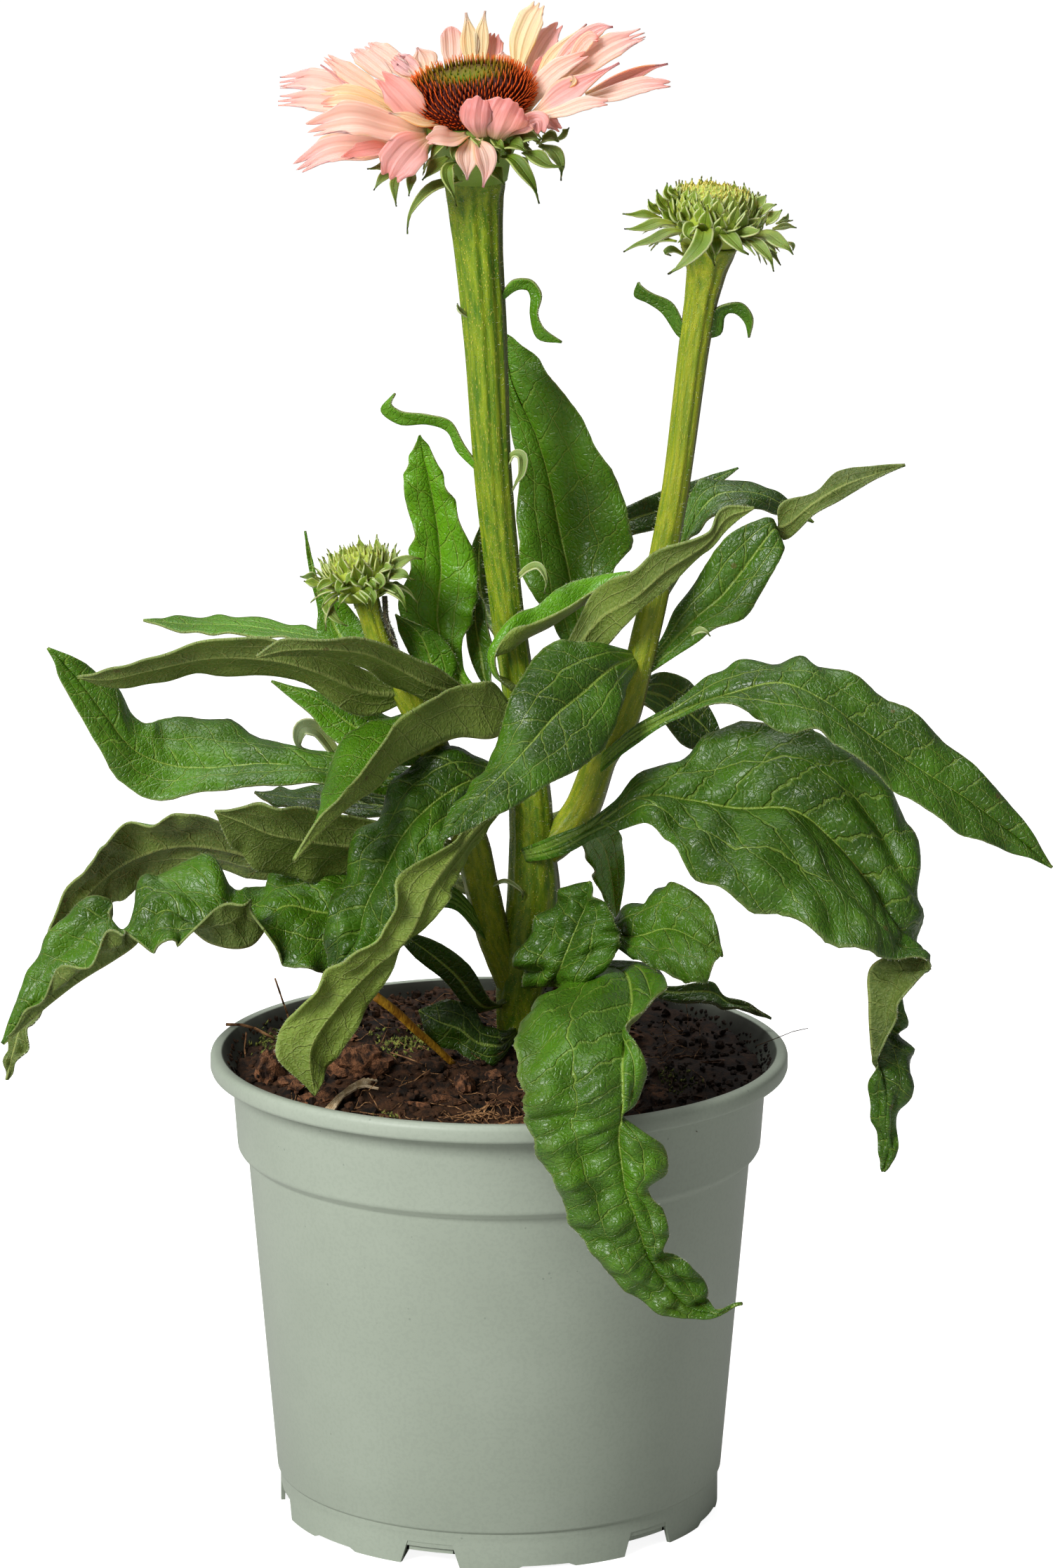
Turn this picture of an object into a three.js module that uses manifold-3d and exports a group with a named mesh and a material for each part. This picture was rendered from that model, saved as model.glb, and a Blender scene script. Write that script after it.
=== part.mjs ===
// A coneflower in a nursery pot: one open flower, two buds, their three stems, broad leaves,
// peat soil and the pot. Millimetres, +Z up, origin on the pot's axis at the surface it stands on.
import * as THREE from "three";
import { mergeVertices } from "three/addons/utils/BufferGeometryUtils.js";
import Module from "manifold-3d";

const wasm = await Module();
wasm.setup();

// ---------- driving dimensions ----------
const GAP = 0.3; // clearance left between two pieces that touch
const BLADE = 0.8; // thickness of a leaf blade
const PETIOLE_DEPTH = 2.4; // thickness of a leaf where it leaves its stem
const PETIOLE_HALF_WIDTH = 1.7;
const PETAL = 0.7; // thickness of a ray floret

const POT = {
  rimRadius: 85,
  rimTop: 138.6,
  lipHeight: 5.3,
  lipWidth: 3,
  collarTopRadius: 78.8,
  collarFootRadius: 77.2,
  collarFoot: 111.3,
  wallTopRadius: 74.2,
  wallTop: 108.3,
  wallFootRadius: 66.2,
  grooveHeight: 11,
  skirtRadius: 65.3,
  wall: 1.2,
  floorBottom: 4,
  floorTop: 5.6,
  padRadius: 14, // central pad that comes down to the surface, level with the skirt's feet
  sides: 32,
};
const FEET = { count: 6, firstAngle: -18, deepWidth: 13, deepHeight: 7, lowWidth: 15, lowHeight: 1 };
const DRAIN = { inner: 44, outer: 58, width: 9 };
const SOIL = { edgeTop: 131.5, rise: 0.055, mound: 4, roughness: 1.1, chips: 9, chipLength: 11 };

// Each head is built in its own frame: ring of florets at z = 0, axis along +Z.
const FLOWER = { at: [-7, 0, 414], tiltForward: 6, tiltRight: 0, cone: 15.6, coneTop: 13.6, spines: 68 };
const RIGHT_BUD = { at: [61, 9, 381], tiltForward: 4, tiltRight: 6, core: 11, height: 8, spikes: 34 };
const LEFT_BUD = { at: [-40, -5, 279.5], tiltForward: 4, tiltRight: -12, core: 8.2, height: 6.5, spikes: 24 };

const COLOURS = {
  pot: 0x8b9a86, soil: 0x4a3224, stem: 0x93a03c, leaf: 0x4a7a2c, paleLeaf: 0x7c8f4a,
  petal: 0xefa79b, cone: 0xa8431c, bract: 0x5f7a34, bud: 0xa3ad52,
};

// Stems: [x, y, z, radius] from the foot up.
const MAIN_STEM = [
  [6, 13, 119, 6.2], [6, 13, 139, 6.5], [6, 12, 151, 6.9], [8.5, 11, 168, 7.5], [10, 10, 181, 7.8],
  [9.5, 10, 200, 6.5], [9, 9, 212, 6.2], [8, 8, 228, 5.2], [5, 6, 250, 4.8], [2, 4, 271, 4.8],
  [0, 3, 290, 5.1], [-2, 2, 312, 5.3], [-4, 1.4, 349, 6], [-6, 2, 374, 6.7],
  [-7, 2.6, 389, 7.8], [-7, 1.8, 396.8, 9],
];
const RIGHT_STEM = [
  [11, 10, 194, 4.6], [17, 10, 199, 5.2], [24, 10, 208, 5.2], [30, 9, 224, 4.6], [36, 9, 234, 4.3],
  [40, 9, 249, 4.2], [43, 9, 262, 4.1], [48, 9, 286, 4], [51, 9, 303, 3.9], [56, 9, 344, 4.3],
  [58, 9.6, 358, 4.6], [59.5, 10, 367, 5.6], [60.3, 9.4, 374.8, 8.4],
];
const LEFT_STEM = [
  [5, 11, 152, 4.4], [1, 10, 163, 4.8], [-2, 8, 172, 4.9], [-4, 6, 181, 4.9], [-6, 4, 190, 5],
  [-8, 2, 199, 5.2], [-16, -2, 222, 4.6], [-25, -5, 243, 4.4], [-31, -5, 252, 4.2],
  [-35, -4.6, 261, 4], [-37.7, -4.3, 268.8, 4.6], [-38.9, -4.7, 274.1, 6.4],
];

// Ray florets of the open flower: direction round the ring (0 is +X, 90 is +Y), how far out the tip
// reaches, how high it ends above the ring, width, and how much the blade hangs or arches midway.
const RAYS = [
  [165, 58, 6, 9, 1], [172, 57, 4, 10, -2], [180, 56, 3, 10, 2], [187, 57, 3, 9, -3],
  [150, 49, 10, 8, 2], [134, 48, 9, 9, 2], [118, 43, 6, 8, 0], [98, 46, 11, 9, 2],
  [91, 50, 14, 7, -1], [84, 46, 16, 7, 1], [76, 40, 8, 6, 2], [67, 49, 19, 10, 2],
  [57, 47, 14, 8, -2], [45, 50, 16, 7, 1], [38, 51, 12, 8, 3], [28, 56, 15, 10, 2],
  [22, 47, 7, 8, 1], [13, 57, 10, 9, 3], [4, 56, 6, 9, 1], [-5, 40, 4, 8, 1],
  [-13, 37, 3, 7, 2], [-30, 29, -1, 7, 3], [-47, 22, -3, 7, 4], [208, 57, -9, 11, 3],
  [215, 47, -5, 9, -2], [196, 50, 1, 10, 3], [202, 46, 9, 8, 6], [190, 30, 13, 8, -3],
  [231, 39, -11, 12, 4], [246, 27, -2, 9, 6],
];
// Short florets at the front: direction, out, up at the bend, out and up at the tip, width.
const SHORT_RAYS = [
  [262, 23, 2, 22, 11, 12], [283, 23, 2, 23, 10, 11], [300, 24, 1, 26, 8, 8],
  [264, 26, -3, 26, -12, 8], [272, 27, -3, 27, -14, 7],
];
const HANGING_AT = 268; // the scales behind the two hanging florets stay short
// Leaf blades. Each row across a blade is left edge, midrib and right edge, seen from its upper
// side with the tip up; the first point is its root in the stem and the last is its tip.
const LEAVES = {
  leaf_left_back_thin: [
    [-29, -2, 248],
    [-47, 14, 255, -48, 20, 256, -48, 26, 257],
    [-58, 14, 258, -58, 22, 258, -59, 30, 259],
    [-76, 18, 259, -77, 26, 260, -77, 34, 261],
    [-93, 22, 259, -93, 28, 260, -93, 34, 261],
    [-105, 30, 261],
  ],
  leaf_left_long: [
    [-26, -5, 246],
    [-39, -14, 255, -38, -12, 248, -39, -8, 240],
    [-51, -28, 264, -52, -22, 256, -53, -14, 249],
    [-62, -32, 267, -63, -26, 260, -63, -16, 253],
    [-82, -34, 267, -82, -26, 261, -83, -16, 254],
    [-99, -30, 262, -100, -24, 257, -100, -16, 252],
    [-112, -26, 257, -112, -22, 254, -112, -18, 251],
    [-121, -20, 254],
  ],
  leaf_left_over_stem: [
    [1, 3, 242.5],
    [-9, -7, 248, -9, -6, 246, -9, -5, 243],
    [-18, -16, 256, -19, -13, 250, -20, -10, 245],
    [-27, -24, 262, -28, -19, 256, -31, -13, 250],
    [-38, -34, 268, -38, -30, 263, -38, -24, 257],
    [-52, -40, 269, -51, -38, 266, -52, -34, 263],
    [-62, -41, 269, -61, -40, 266, -61, -38, 264],
    [-69, -40, 264],
  ],
  leaf_left_yellow: [
    [-19, -3, 226],
    [-31, -8, 226, -31, -4, 232, -30, 2, 237],
    [-46, -10, 232, -43, -6, 237, -41, 0, 241],
    [-55, -9, 241, -52, -6, 244, -51, -2, 245],
    [-66, -6, 250],
  ],
  leaf_left_kinked: [
    [-15, -2, 218],
    [-31, -6, 216, -31, -3, 220, -31, 3, 223],
    [-50, -14, 221, -49, -4, 223, -50, 6, 226],
    [-67, -16, 221, -68, -5, 225, -67, 10, 229],
    [-83, -16, 220, -84, -6, 224, -81, 12, 234],
    [-99, -14, 216, -96, -6, 225, -97, 8, 236],
    [-111, -14, 224, -106, -8, 230, -103, 0, 236],
    [-119, -14, 238, -115, -10, 242, -112, -4, 248],
    [-126, -14, 252, -123, -11, 253, -119, -8, 255],
    [-130, -12, 261],
  ],
  leaf_left_shaded: [
    [-12, 4, 207],
    [-31, 14, 205, -31, 18, 207, -31, 22, 210],
    [-52, 24, 204, -52, 32, 206, -54, 40, 208],
    [-65, 30, 204, -64, 36, 206, -65, 42, 207],
    [-73, 38, 207],
  ],
  leaf_centre_folded: [
    [4, 0.5, 238],
    [-2, -8, 250, -2, -8, 234, -4, 4, 239],
    [-12, -16, 250, -12, -12, 235, -15, 2, 242],
    [-22, -22, 247, -22, -18, 232, -25, -4, 241],
    [-31, -28, 240, -30, -26, 229, -37, -12, 239],
    [-39, -38, 231, -35, -34, 225, -46, -20, 234],
    [-44, -48, 226, -41, -44, 223, -50, -30, 225],
    [-51, -56, 221, -48, -54, 219, -51, -42, 220],
    [-58, -62, 210],
  ],
  leaf_left_olive: [
    [-9, 3, 197],
    [-27, -6, 206, -27, -3, 200, -27, 2, 194],
    [-45, -14, 212, -45, -10, 202, -45, 0, 190],
    [-57, -24, 216, -56, -16, 205, -58, -6, 191],
    [-66, -28, 218, -66, -20, 208, -69, -12, 195],
    [-75, -26, 217, -74, -22, 212, -77, -16, 203],
    [-82, -22, 215],
  ],
  leaf_left_wavy: [
    [-7, 7, 184],
    [-23, 16, 192, -23, 19, 188, -23, 21, 184],
    [-61, 26, 189, -61, 30, 183.5, -61, 34, 179],
    [-79, 26, 198.5, -78.5, 34, 189.5, -77, 42, 182],
    [-96.5, 26, 202, -96.5, 36, 191, -96.5, 44, 180.5],
    [-113.5, 27, 197, -111, 37, 186, -110.5, 44, 175.5],
    [-122, 28, 189, -120.5, 36, 179, -120, 42, 169],
    [-132.5, 28, 171, -130, 32, 167, -127.5, 36, 161.5],
    [-138, 22, 160, -135.5, 24, 156.5, -131.5, 26, 151.5],
    [-144, 8, 144.5, -141, 6, 144, -137.5, 4, 145],
    [-145.5, 0, 137, -143, -1, 137, -140, -2, 138],
    [-145, -4, 130],
  ],
  leaf_left_drooping: [
    [-4, 6, 171],
    [-15, -4, 182, -15, -3, 185, -15, -1, 188],
    [-31, -12, 178, -31, -6, 185, -31, 2, 189],
    [-52, -20, 166.5, -50, -9, 181.5, -48.5, 7, 192.5],
    [-63, -24, 172.5, -63, -12, 184, -67, 2, 190.5],
    [-72.5, -25, 190, -72.5, -17, 174, -75, -4, 187],
    [-83, -27, 185.5, -83.5, -18, 175, -84, 1, 194],
    [-98, -26, 174, -97, -14, 183.5, -102.5, 0, 190],
    [-107, -25, 179, -106, -19, 174.5, -109.5, -12, 176.5],
    [-109.5, -27, 180, -111.5, -19, 170.5, -116, -5, 186],
    [-122, -26, 171, -122.5, -19, 163.5, -130, -9, 175],
    [-133.5, -22, 159.5, -133.5, -18, 154.5, -138.5, -14, 161],
    [-144.5, -18, 144.5],
  ],
  leaf_centre_quilted: [
    [4, 4, 215],
    [-6, -14, 214, -6, -10, 222, -8, -4, 228],
    [-14, -26, 209, -18, -18, 217, -26, -8, 226],
    [-17, -34, 201, -27, -24, 209, -35, -14, 214],
    [-21, -40, 191, -33, -30, 199, -43, -20, 204],
    [-27, -44, 184, -38, -34, 190, -47, -26, 193],
    [-34, -44, 177, -41, -38, 180, -50, -34, 179],
    [-50, -40, 170],
  ],
  leaf_centre_tongue: [
    [1, 3, 212.5],
    [-6, -13, 211, -5, -12, 209.5, -4, -11, 206.5],
    [-14, -30, 207, -12.5, -29, 204, -11.5, -28, 199.5],
    [-28, -50, 202, -20, -46, 197, -14, -42, 195],
    [-32, -52, 187, -26, -48, 184, -21, -44, 187],
    [-44, -52, 179, -37, -48, 174, -30, -44, 175],
    [-53, -52, 169, -46, -48, 164, -38, -44, 161],
    [-64, -46, 152, -54, -48, 151, -47, -44, 147],
    [-53, -46, 137],
  ],
  leaf_front_arrow: [
    [39, 7, 254],
    [36, -8, 247, 32, -8, 254, 25, -8, 262],
    [33, -18, 239, 24, -14, 248, 15, -10, 262],
    [28, -26, 232, 16, -22, 243, 6, -16, 252],
    [18, -34, 228, 9, -28, 236, 0, -22, 238],
    [8, -40, 223, 1, -36, 229, -4, -30, 228],
    [-4, -44, 217, -6, -40, 223, -11, -36, 222],
    [-17, -46, 212],
  ],
  leaf_right_lance: [
    [8, 5, 245],
    [18, 2, 249, 18, 2, 252, 17, 3, 255],
    [30, 1, 258, 29, 0, 267, 28, -1, 276],
    [39, -6, 269, 39, -8, 275, 38, -10, 283],
    [48, -10, 278, 48, -13, 284, 47, -16, 291],
    [59, -14, 289, 60, -16, 293, 60, -18, 296],
    [66, -16, 297, 65, -17, 300, 64, -18, 303],
    [73, -18, 303],
  ],
  leaf_front_strap: [
    [3.4, 2.2, 247],
    [-2, -2.5, 252, -1, -3, 251, 0, -3.5, 250.5],
    [-3, -3, 258, -2, -4.5, 256.5, -1, -6, 258],
    [4, -2, 268.5, 3, -5, 259, 4.5, -9, 266.5],
    [11, 3, 270.5, 8, -2, 262, 10, -7, 267],
    [18, 6, 275.5, 15, 1, 265, 19, -4, 271],
    [27, 8, 278, 23, 5, 269.5, 27.5, 3, 274.5],
    [38, 6, 280],
  ],
  leaf_upright_left: [
    [1, 6, 239],
    [-12, 4, 245, -11, 5, 247, -9, 6, 248],
    [-23, 7, 254, -16, 10, 255, -11, 9, 256],
    [-29, 12, 267, -18, 14, 265, -8, 11, 265],
    [-26, 13, 282, -17, 16, 278, -6, 13, 275],
    [-25, 13, 293, -18, 16, 291, -11, 13, 294],
    [-28, 12, 304, -20, 14, 304, -15, 12, 304],
    [-26, 12, 312, -22, 13, 313, -19, 12, 313],
    [-23, 12, 319],
  ],
  leaf_small_left: [
    [-23, -3, 242],
    [-20, 0, 246, -18, 0, 247, -16, 0, 247],
    [-26, 4, 256, -20, 3, 254, -12, 4, 253],
    [-29, 4, 262, -23, 3, 262, -17, 4, 261],
    [-30, 2, 268],
  ],
  leaf_upright_narrow: [
    [2.4, 10, 241],
    [-5, 13, 245.5, -3.5, 13, 245.5, -2, 12, 245.5],
    [-9, 15, 255, -5.5, 16, 254.5, -2, 14, 254.5],
    [-9.5, 16, 263.5, -7, 17, 264, -3.5, 15, 263.5],
    [-8.5, 16, 270, -7, 16, 270.5, -5, 15, 270],
    [-9, 16, 274.5],
  ],
  leaf_back_dark: [
    [0, 12, 261],
    [-8, 28, 267, -5, 28, 267, -2, 28, 267],
    [-9, 32, 279, -6, 32, 279, -3, 32, 279],
    [-5, 32, 290],
  ],
  leaf_behind_left_bud: [
    [-33, -2, 254],
    [-46, 7, 253.5, -43, 9, 256.5, -39, 11, 260],
    [-53, 12, 260, -48, 13, 262, -41, 15, 264],
    [-53, 14, 267, -50, 14, 268.5, -45.5, 15, 269.5],
    [-54.5, 14, 274, -53.5, 14, 274.5, -52, 14, 274.5],
    [-56, 14, 282.5, -55, 14, 282.5, -54.5, 14, 282.5],
    [-56.5, 14, 290.5],
  ],
  leaf_upright_back: [
    [36, 12, 239],
    [23, 18, 250, 25, 20, 251, 27, 20, 252],
    [16, 24, 261, 23, 26, 262, 31, 24, 265],
    [8, 26, 273, 21, 30, 273, 34, 26, 277],
    [5, 30, 287, 18, 34, 286, 39, 28, 286],
    [6, 32, 301, 15, 34, 301, 35, 28, 302],
    [4, 32, 316, 11, 33, 315, 26, 28, 318],
    [1, 32, 332, 4, 32, 331, 16, 28, 333],
    [0, 31, 342, 2, 31, 341, 8, 30, 342],
    [1, 30, 347],
  ],
  leaf_right_arching: [
    [28, 8, 220],
    [39, -2, 235, 39, -3, 233, 40, -4, 231],
    [52, -6, 244, 54, -8, 242, 55, -10, 241],
    [65, -2, 253, 67, -10, 247, 69, -16, 244],
    [79, -2, 255, 81, -14, 251, 80, -24, 239],
    [92, -4, 255, 92, -16, 247, 92, -26, 239],
    [107, -8, 249, 106, -18, 237, 105, -28, 229],
    [121, -12, 240, 121, -20, 227, 121, -28, 218],
    [137, -16, 227, 135, -20, 218, 134, -26, 209],
    [150, -18, 213, 148, -20, 208, 148, -22, 203],
    [160, -20, 198],
  ],
  leaf_right_twisted: [
    [43, 10, 250],
    [47, 14, 257, 49, 12, 256, 53, 10, 255],
    [52, 18, 266, 57, 14, 264, 61, 8, 261],
    [59, 18, 277, 65, 14, 271, 72, 8, 267],
    [66, 16, 288, 72, 14, 280, 79, 10, 277],
    [76.5, 17, 293.5, 79.5, 14, 290.5, 83, 12, 285.5],
    [80, 20, 292.5, 81, 21, 290, 82, 22, 288],
    [83, 20, 286.5, 84, 19, 291.5, 82, 18, 297.5],
    [92, 15, 295.5, 92, 16, 298.5, 92, 18, 301.5],
    [101, 13, 301, 100.5, 14, 304, 99, 17, 307.5],
    [109.5, 13, 306, 109, 14, 307, 108.5, 15, 309.5],
    [118, 14, 310],
  ],
  leaf_right_hooked: [
    [47, 14, 271],
    [51, 20, 281, 52, 18, 280, 54, 17, 279],
    [55.5, 32, 296.5, 57, 27, 290.5, 56, 21, 287],
    [60, 38, 301.5, 64, 33, 297.5, 61, 25, 291],
    [69.5, 41, 300, 72, 34, 298.5, 68.5, 27, 295],
    [79, 41, 299, 78.5, 35, 297, 75, 29, 295],
    [86, 41, 295, 84.5, 38, 293.5, 81, 35, 291.5],
    [93, 40, 288.5],
  ],
  leaf_back_high: [
    [1, 8, 272],
    [1, 26, 279, 2, 26, 277, 3, 26, 274],
    [13, 41, 281, 15, 41, 278, 17, 40, 275],
    [38, 47, 292, 39, 46, 288, 40, 43, 284],
    [48, 50, 296, 49.5, 50, 291, 51, 47, 286.5],
    [61, 51, 300, 62, 50, 298.5, 63, 49, 296.5],
    [71, 50, 303],
  ],
  leaf_right_shaded: [
    [40, 13, 243],
    [48, 22, 247, 48, 20, 240, 48, 16, 234],
    [57, 24, 243, 57, 20, 234, 54, 16, 226],
    [63, 22, 234, 62, 20, 229, 61, 18, 224],
    [67, 20, 223],
  ],
  leaf_right_large: [
    [8, 4, 196],
    [16, -3, 203, 17, -4, 201, 18, -5, 198],
    [28, -5, 209, 28, -6, 207, 29, -8, 204],
    [42, 0, 222, 42, -8, 216, 43, -16, 210],
    [55, 4, 226, 55, -8, 215, 53, -24, 201],
    [66, 6, 234, 69, -10, 213, 66, -32, 192],
    [84, 4, 235, 85, -12, 213, 80, -36, 188],
    [100, 2, 230, 96, -14, 205, 94, -38, 180],
    [115, -2, 214, 108, -18, 191, 104, -38, 177],
    [121, -6, 199, 114, -24, 182, 113, -34, 174],
    [120.5, -10, 177.5, 118, -22, 175, 123.5, -32, 173.5],
    [118.5, -15, 165.5, 108, -22, 168.5, 123.5, -29, 169.5],
    [116.5, -17, 154.5, 107.5, -24, 158, 116.5, -29, 160.5],
    [118, -17, 147, 108, -24, 148.5, 113.5, -28, 151.5],
    [120.5, -19, 140.5, 109, -24, 141, 111, -27, 142.5],
    [119, -22, 130, 112.5, -25, 132.5, 107.5, -25, 135],
    [117, -23, 121.5, 112.5, -25, 122, 109, -23, 124],
    [116, -23, 114, 113.5, -24, 113.5, 111, -23, 114],
    [112, -24, 108],
  ],
  leaf_over_rim: [
    [10, 8, 161],
    [26, -6, 166, 25, -6, 164, 24, -6, 161],
    [43, -26, 170, 36, -26, 168, 28, -26, 165],
    [48, -50, 169, 38, -50, 165, 18, -46, 161],
    [40, -72, 165, 36, -72, 160, 8, -66, 159],
    [39, -86, 158, 35, -87, 155, 6, -84, 154],
    [37, -92, 147, 34, -92, 144, 8, -91, 141],
    [48, -93, 131, 34, -92, 131, 13, -92, 129],
    [43, -94, 123, 35, -92, 121, 18, -92, 121],
    [48, -92, 108, 38, -92, 110, 20, -92, 110],
    [52, -90, 101, 44, -92, 100, 28, -90, 100],
    [58, -90, 93, 53, -90, 90, 42, -90, 89],
    [69, -88, 87],
  ],
  leaf_low_puckered: [
    [8, 7, 156],
    [7, -8, 163, 15, -14, 165, 23, -20, 164],
    [12, -14, 177, 21, -20, 176, 36, -28, 176],
    [18, -18, 189, 26, -24, 184, 35, -30, 184],
    [27, -24, 195],
  ],
  leaf_low_right: [
    [11, 7, 173],
    [28, -6, 179, 28, -8, 177, 28, -10, 175],
    [40, -16, 186, 39, -24, 178, 41, -34, 173],
    [48, -20, 193, 49, -30, 182, 50, -42, 171],
    [60, -30, 189, 58, -38, 180, 58, -46, 171],
    [64, -42, 177],
  ],
  leaf_right_low_back: [
    [12, 12, 163],
    [31, 16, 159, 31, 16, 157, 31, 15, 156],
    [50, 20, 152, 50, 19, 150.5, 50, 17, 148.5],
    [63.5, 23, 152.5, 63.5, 22, 149.5, 62.5, 19, 146.5],
    [67.5, 23, 148, 68, 22, 146.5, 68, 20, 145],
    [75, 22, 146, 75, 21, 145, 75, 20, 144],
    [81, 20, 142],
  ],
  leaf_back_hanging: [
    [13, 11, 204],
    [24, 32, 204, 23, 32, 199, 21, 30, 197],
    [35, 50, 194, 31, 50, 188, 27, 46, 184],
    [38, 62, 177, 34, 62, 175, 30, 58, 173],
    [36, 68, 159],
  ],
  leaf_basal: [
    [5, 10, 141],
    [-2, -8, 139, -3, -4, 142, -4, 0, 146],
    [-13, -16, 136, -13, -10, 141, -15, -2, 145],
    [-23, -12, 138],
  ],
  leaf_base_left: [
    [2, 10, 150],
    [-8, -2, 150, -5, -2, 152, -2, -2, 153],
    [-16, -8, 161, -13, -8, 163, -9, -8, 166],
    [-25, -14, 170, -23, -14, 173, -20, -14, 175],
    [-31, -18, 179],
  ],
  leaf_stem_curl_right: [
    [0, 1, 360],
    [4, -1, 366, 5, 0, 364, 5, 1, 363],
    [9, -1, 366, 9, 0, 365, 8, 1, 363],
    [12, -1, 362, 11, 0, 362, 9, 1, 361],
    [11, -1, 356, 10, 0, 356, 9, 1, 356],
    [13, -1, 352, 12, 0, 350, 11, 1, 349],
    [18, 0, 348],
  ],
  leaf_stem_curl_left: [
    [-6, 1, 311],
    [-12, 2, 316, -11, 1, 317, -10, 0, 318],
    [-15, 2, 322, -15, 1, 323, -14, 0, 325],
    [-21, 2, 324, -21, 1, 325, -21, 0, 327],
    [-29, 2, 324, -28, 1, 326, -28, 0, 328],
    [-34, 2, 328, -33, 1, 329, -31, 0, 330],
    [-30, 1, 333],
  ],
  leaf_bud_strap_left: [
    [56, 9, 347],
    [52, 10, 348, 53, 9, 349, 54, 8, 350],
    [47, 10, 355, 49, 9, 356, 50, 8, 358],
    [43, 10, 358, 44, 9, 359, 44, 8, 361],
    [39, 10, 360, 40, 9, 362, 41, 8, 363],
    [40, 9, 364],
  ],
  leaf_bud_strap_right: [
    [58, 9, 348],
    [61, 8, 351, 62, 9, 350, 64, 10, 349],
    [62, 8, 356, 63, 9, 355, 65, 10, 354],
    [66, 8, 358, 66, 9, 357, 66, 10, 355],
    [70, 8, 358, 69, 9, 356, 68, 10, 355],
    [73, 8, 354, 72, 9, 353, 71, 10, 352],
    [72, 9, 348],
  ],
};

// ---------- tools ----------
const rad = THREE.MathUtils.degToRad;
const vec = (a, i = 0) => new THREE.Vector3(a[i], a[i + 1], a[i + 2]);

// A repeatable stream of numbers from 0 to 1.
function randomStream(seed) {
  let state = seed;
  return () => {
    state = (state * 1664525 + 1013904223) % 4294967296;
    return state / 4294967296;
  };
}

function solidFrom(positions, triangles) {
  return new wasm.Manifold(
    new wasm.Mesh({
      numProp: 3,
      vertProperties: new Float32Array(positions),
      triVerts: new Uint32Array(triangles),
    }),
  );
}

function solidOf(geometry) {
  const bare = geometry.clone();
  for (const key of Object.keys(bare.attributes)) {
    if (key !== "position") bare.deleteAttribute(key);
  }
  const merged = mergeVertices(bare, 1e-3);
  return solidFrom(merged.attributes.position.array, merged.index.array);
}

function geometryOf(solid) {
  const mesh = solid.getMesh();
  const positions = new Float32Array(mesh.numVert * 3);
  for (let i = 0; i < mesh.numVert; i++) {
    positions.set(mesh.vertProperties.subarray(i * mesh.numProp, i * mesh.numProp + 3), i * 3);
  }
  const geometry = new THREE.BufferGeometry();
  geometry.setAttribute("position", new THREE.BufferAttribute(positions, 3));
  geometry.setIndex(new THREE.BufferAttribute(mesh.triVerts, 1));
  const flat = geometry.toNonIndexed();
  flat.computeVertexNormals();
  return flat;
}

function largestBody(solid) {
  return solid.decompose().reduce((best, body) => (body.volume() > best.volume() ? body : best));
}

// Joins many solids pairwise, which stays quick when there are a hundred of them.
function joinAll(solids) {
  let layer = solids;
  while (layer.length > 1) {
    const next = [];
    for (let i = 0; i < layer.length; i += 2) {
      next.push(i + 1 < layer.length ? layer[i].add(layer[i + 1]) : layer[i]);
    }
    layer = next;
  }
  return layer[0];
}

function meshOf(name, geometry, colour, roughness = 0.6) {
  const material = new THREE.MeshStandardMaterial({
    color: colour,
    roughness,
    metalness: 0,
    flatShading: true,
  });
  const mesh = new THREE.Mesh(geometry, material);
  mesh.name = name;
  return mesh;
}

// ---------- curved pieces ----------
// A round stem along a smooth line whose radius follows its points; extra widens it all over.
function stemSolid(stations, steps, sides, extra = 0) {
  const line = new THREE.CatmullRomCurve3(stations.map((s) => vec(s)));
  const radii = new THREE.CatmullRomCurve3(stations.map((s) => new THREE.Vector3(s[3], 0, 0)));
  const positions = [];
  const triangles = [];
  for (let i = 0; i <= steps; i++) {
    const u = i / steps;
    const centre = line.getPoint(u);
    const along = line.getTangent(u);
    const across = new THREE.Vector3(0, 1, 0).cross(along).normalize();
    const other = along.clone().cross(across);
    const radius = radii.getPoint(u).x + extra;
    for (let k = 0; k < sides; k++) {
      const turn = (2 * Math.PI * k) / sides;
      const point = centre.clone();
      point.addScaledVector(across, radius * Math.cos(turn));
      point.addScaledVector(other, radius * Math.sin(turn));
      positions.push(point.x, point.y, point.z);
    }
  }
  for (let i = 0; i < steps; i++) {
    for (let k = 0; k < sides; k++) {
      const a = i * sides + k;
      const b = i * sides + ((k + 1) % sides);
      triangles.push(a, b, b + sides, a, b + sides, a + sides);
    }
  }
  const last = steps * sides;
  for (let k = 1; k < sides - 1; k++) {
    triangles.push(0, k + 1, k, last, last + k, last + k + 1);
  }
  return solidFrom(positions, triangles);
}

// The three guide curves of a blade: left edge, midrib and right edge.
function guideCurves(rows, rootHalfWidth, tipHalfWidth) {
  const inner = rows.slice(1, -1).map((r) => [vec(r, 0), vec(r, 3), vec(r, 6)]);
  const closed = (point, nearest, halfWidth) => {
    const across = nearest[2].clone().sub(nearest[0]).setLength(halfWidth);
    return [point.clone().sub(across), point, point.clone().add(across)];
  };
  const full = [
    closed(vec(rows[0]), inner[0], rootHalfWidth),
    ...inner,
    closed(vec(rows[rows.length - 1]), inner[inner.length - 1], tipHalfWidth),
  ];
  return [0, 1, 2].map((k) => new THREE.CatmullRomCurve3(full.map((row) => row[k]), false, "centripetal"));
}

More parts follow.
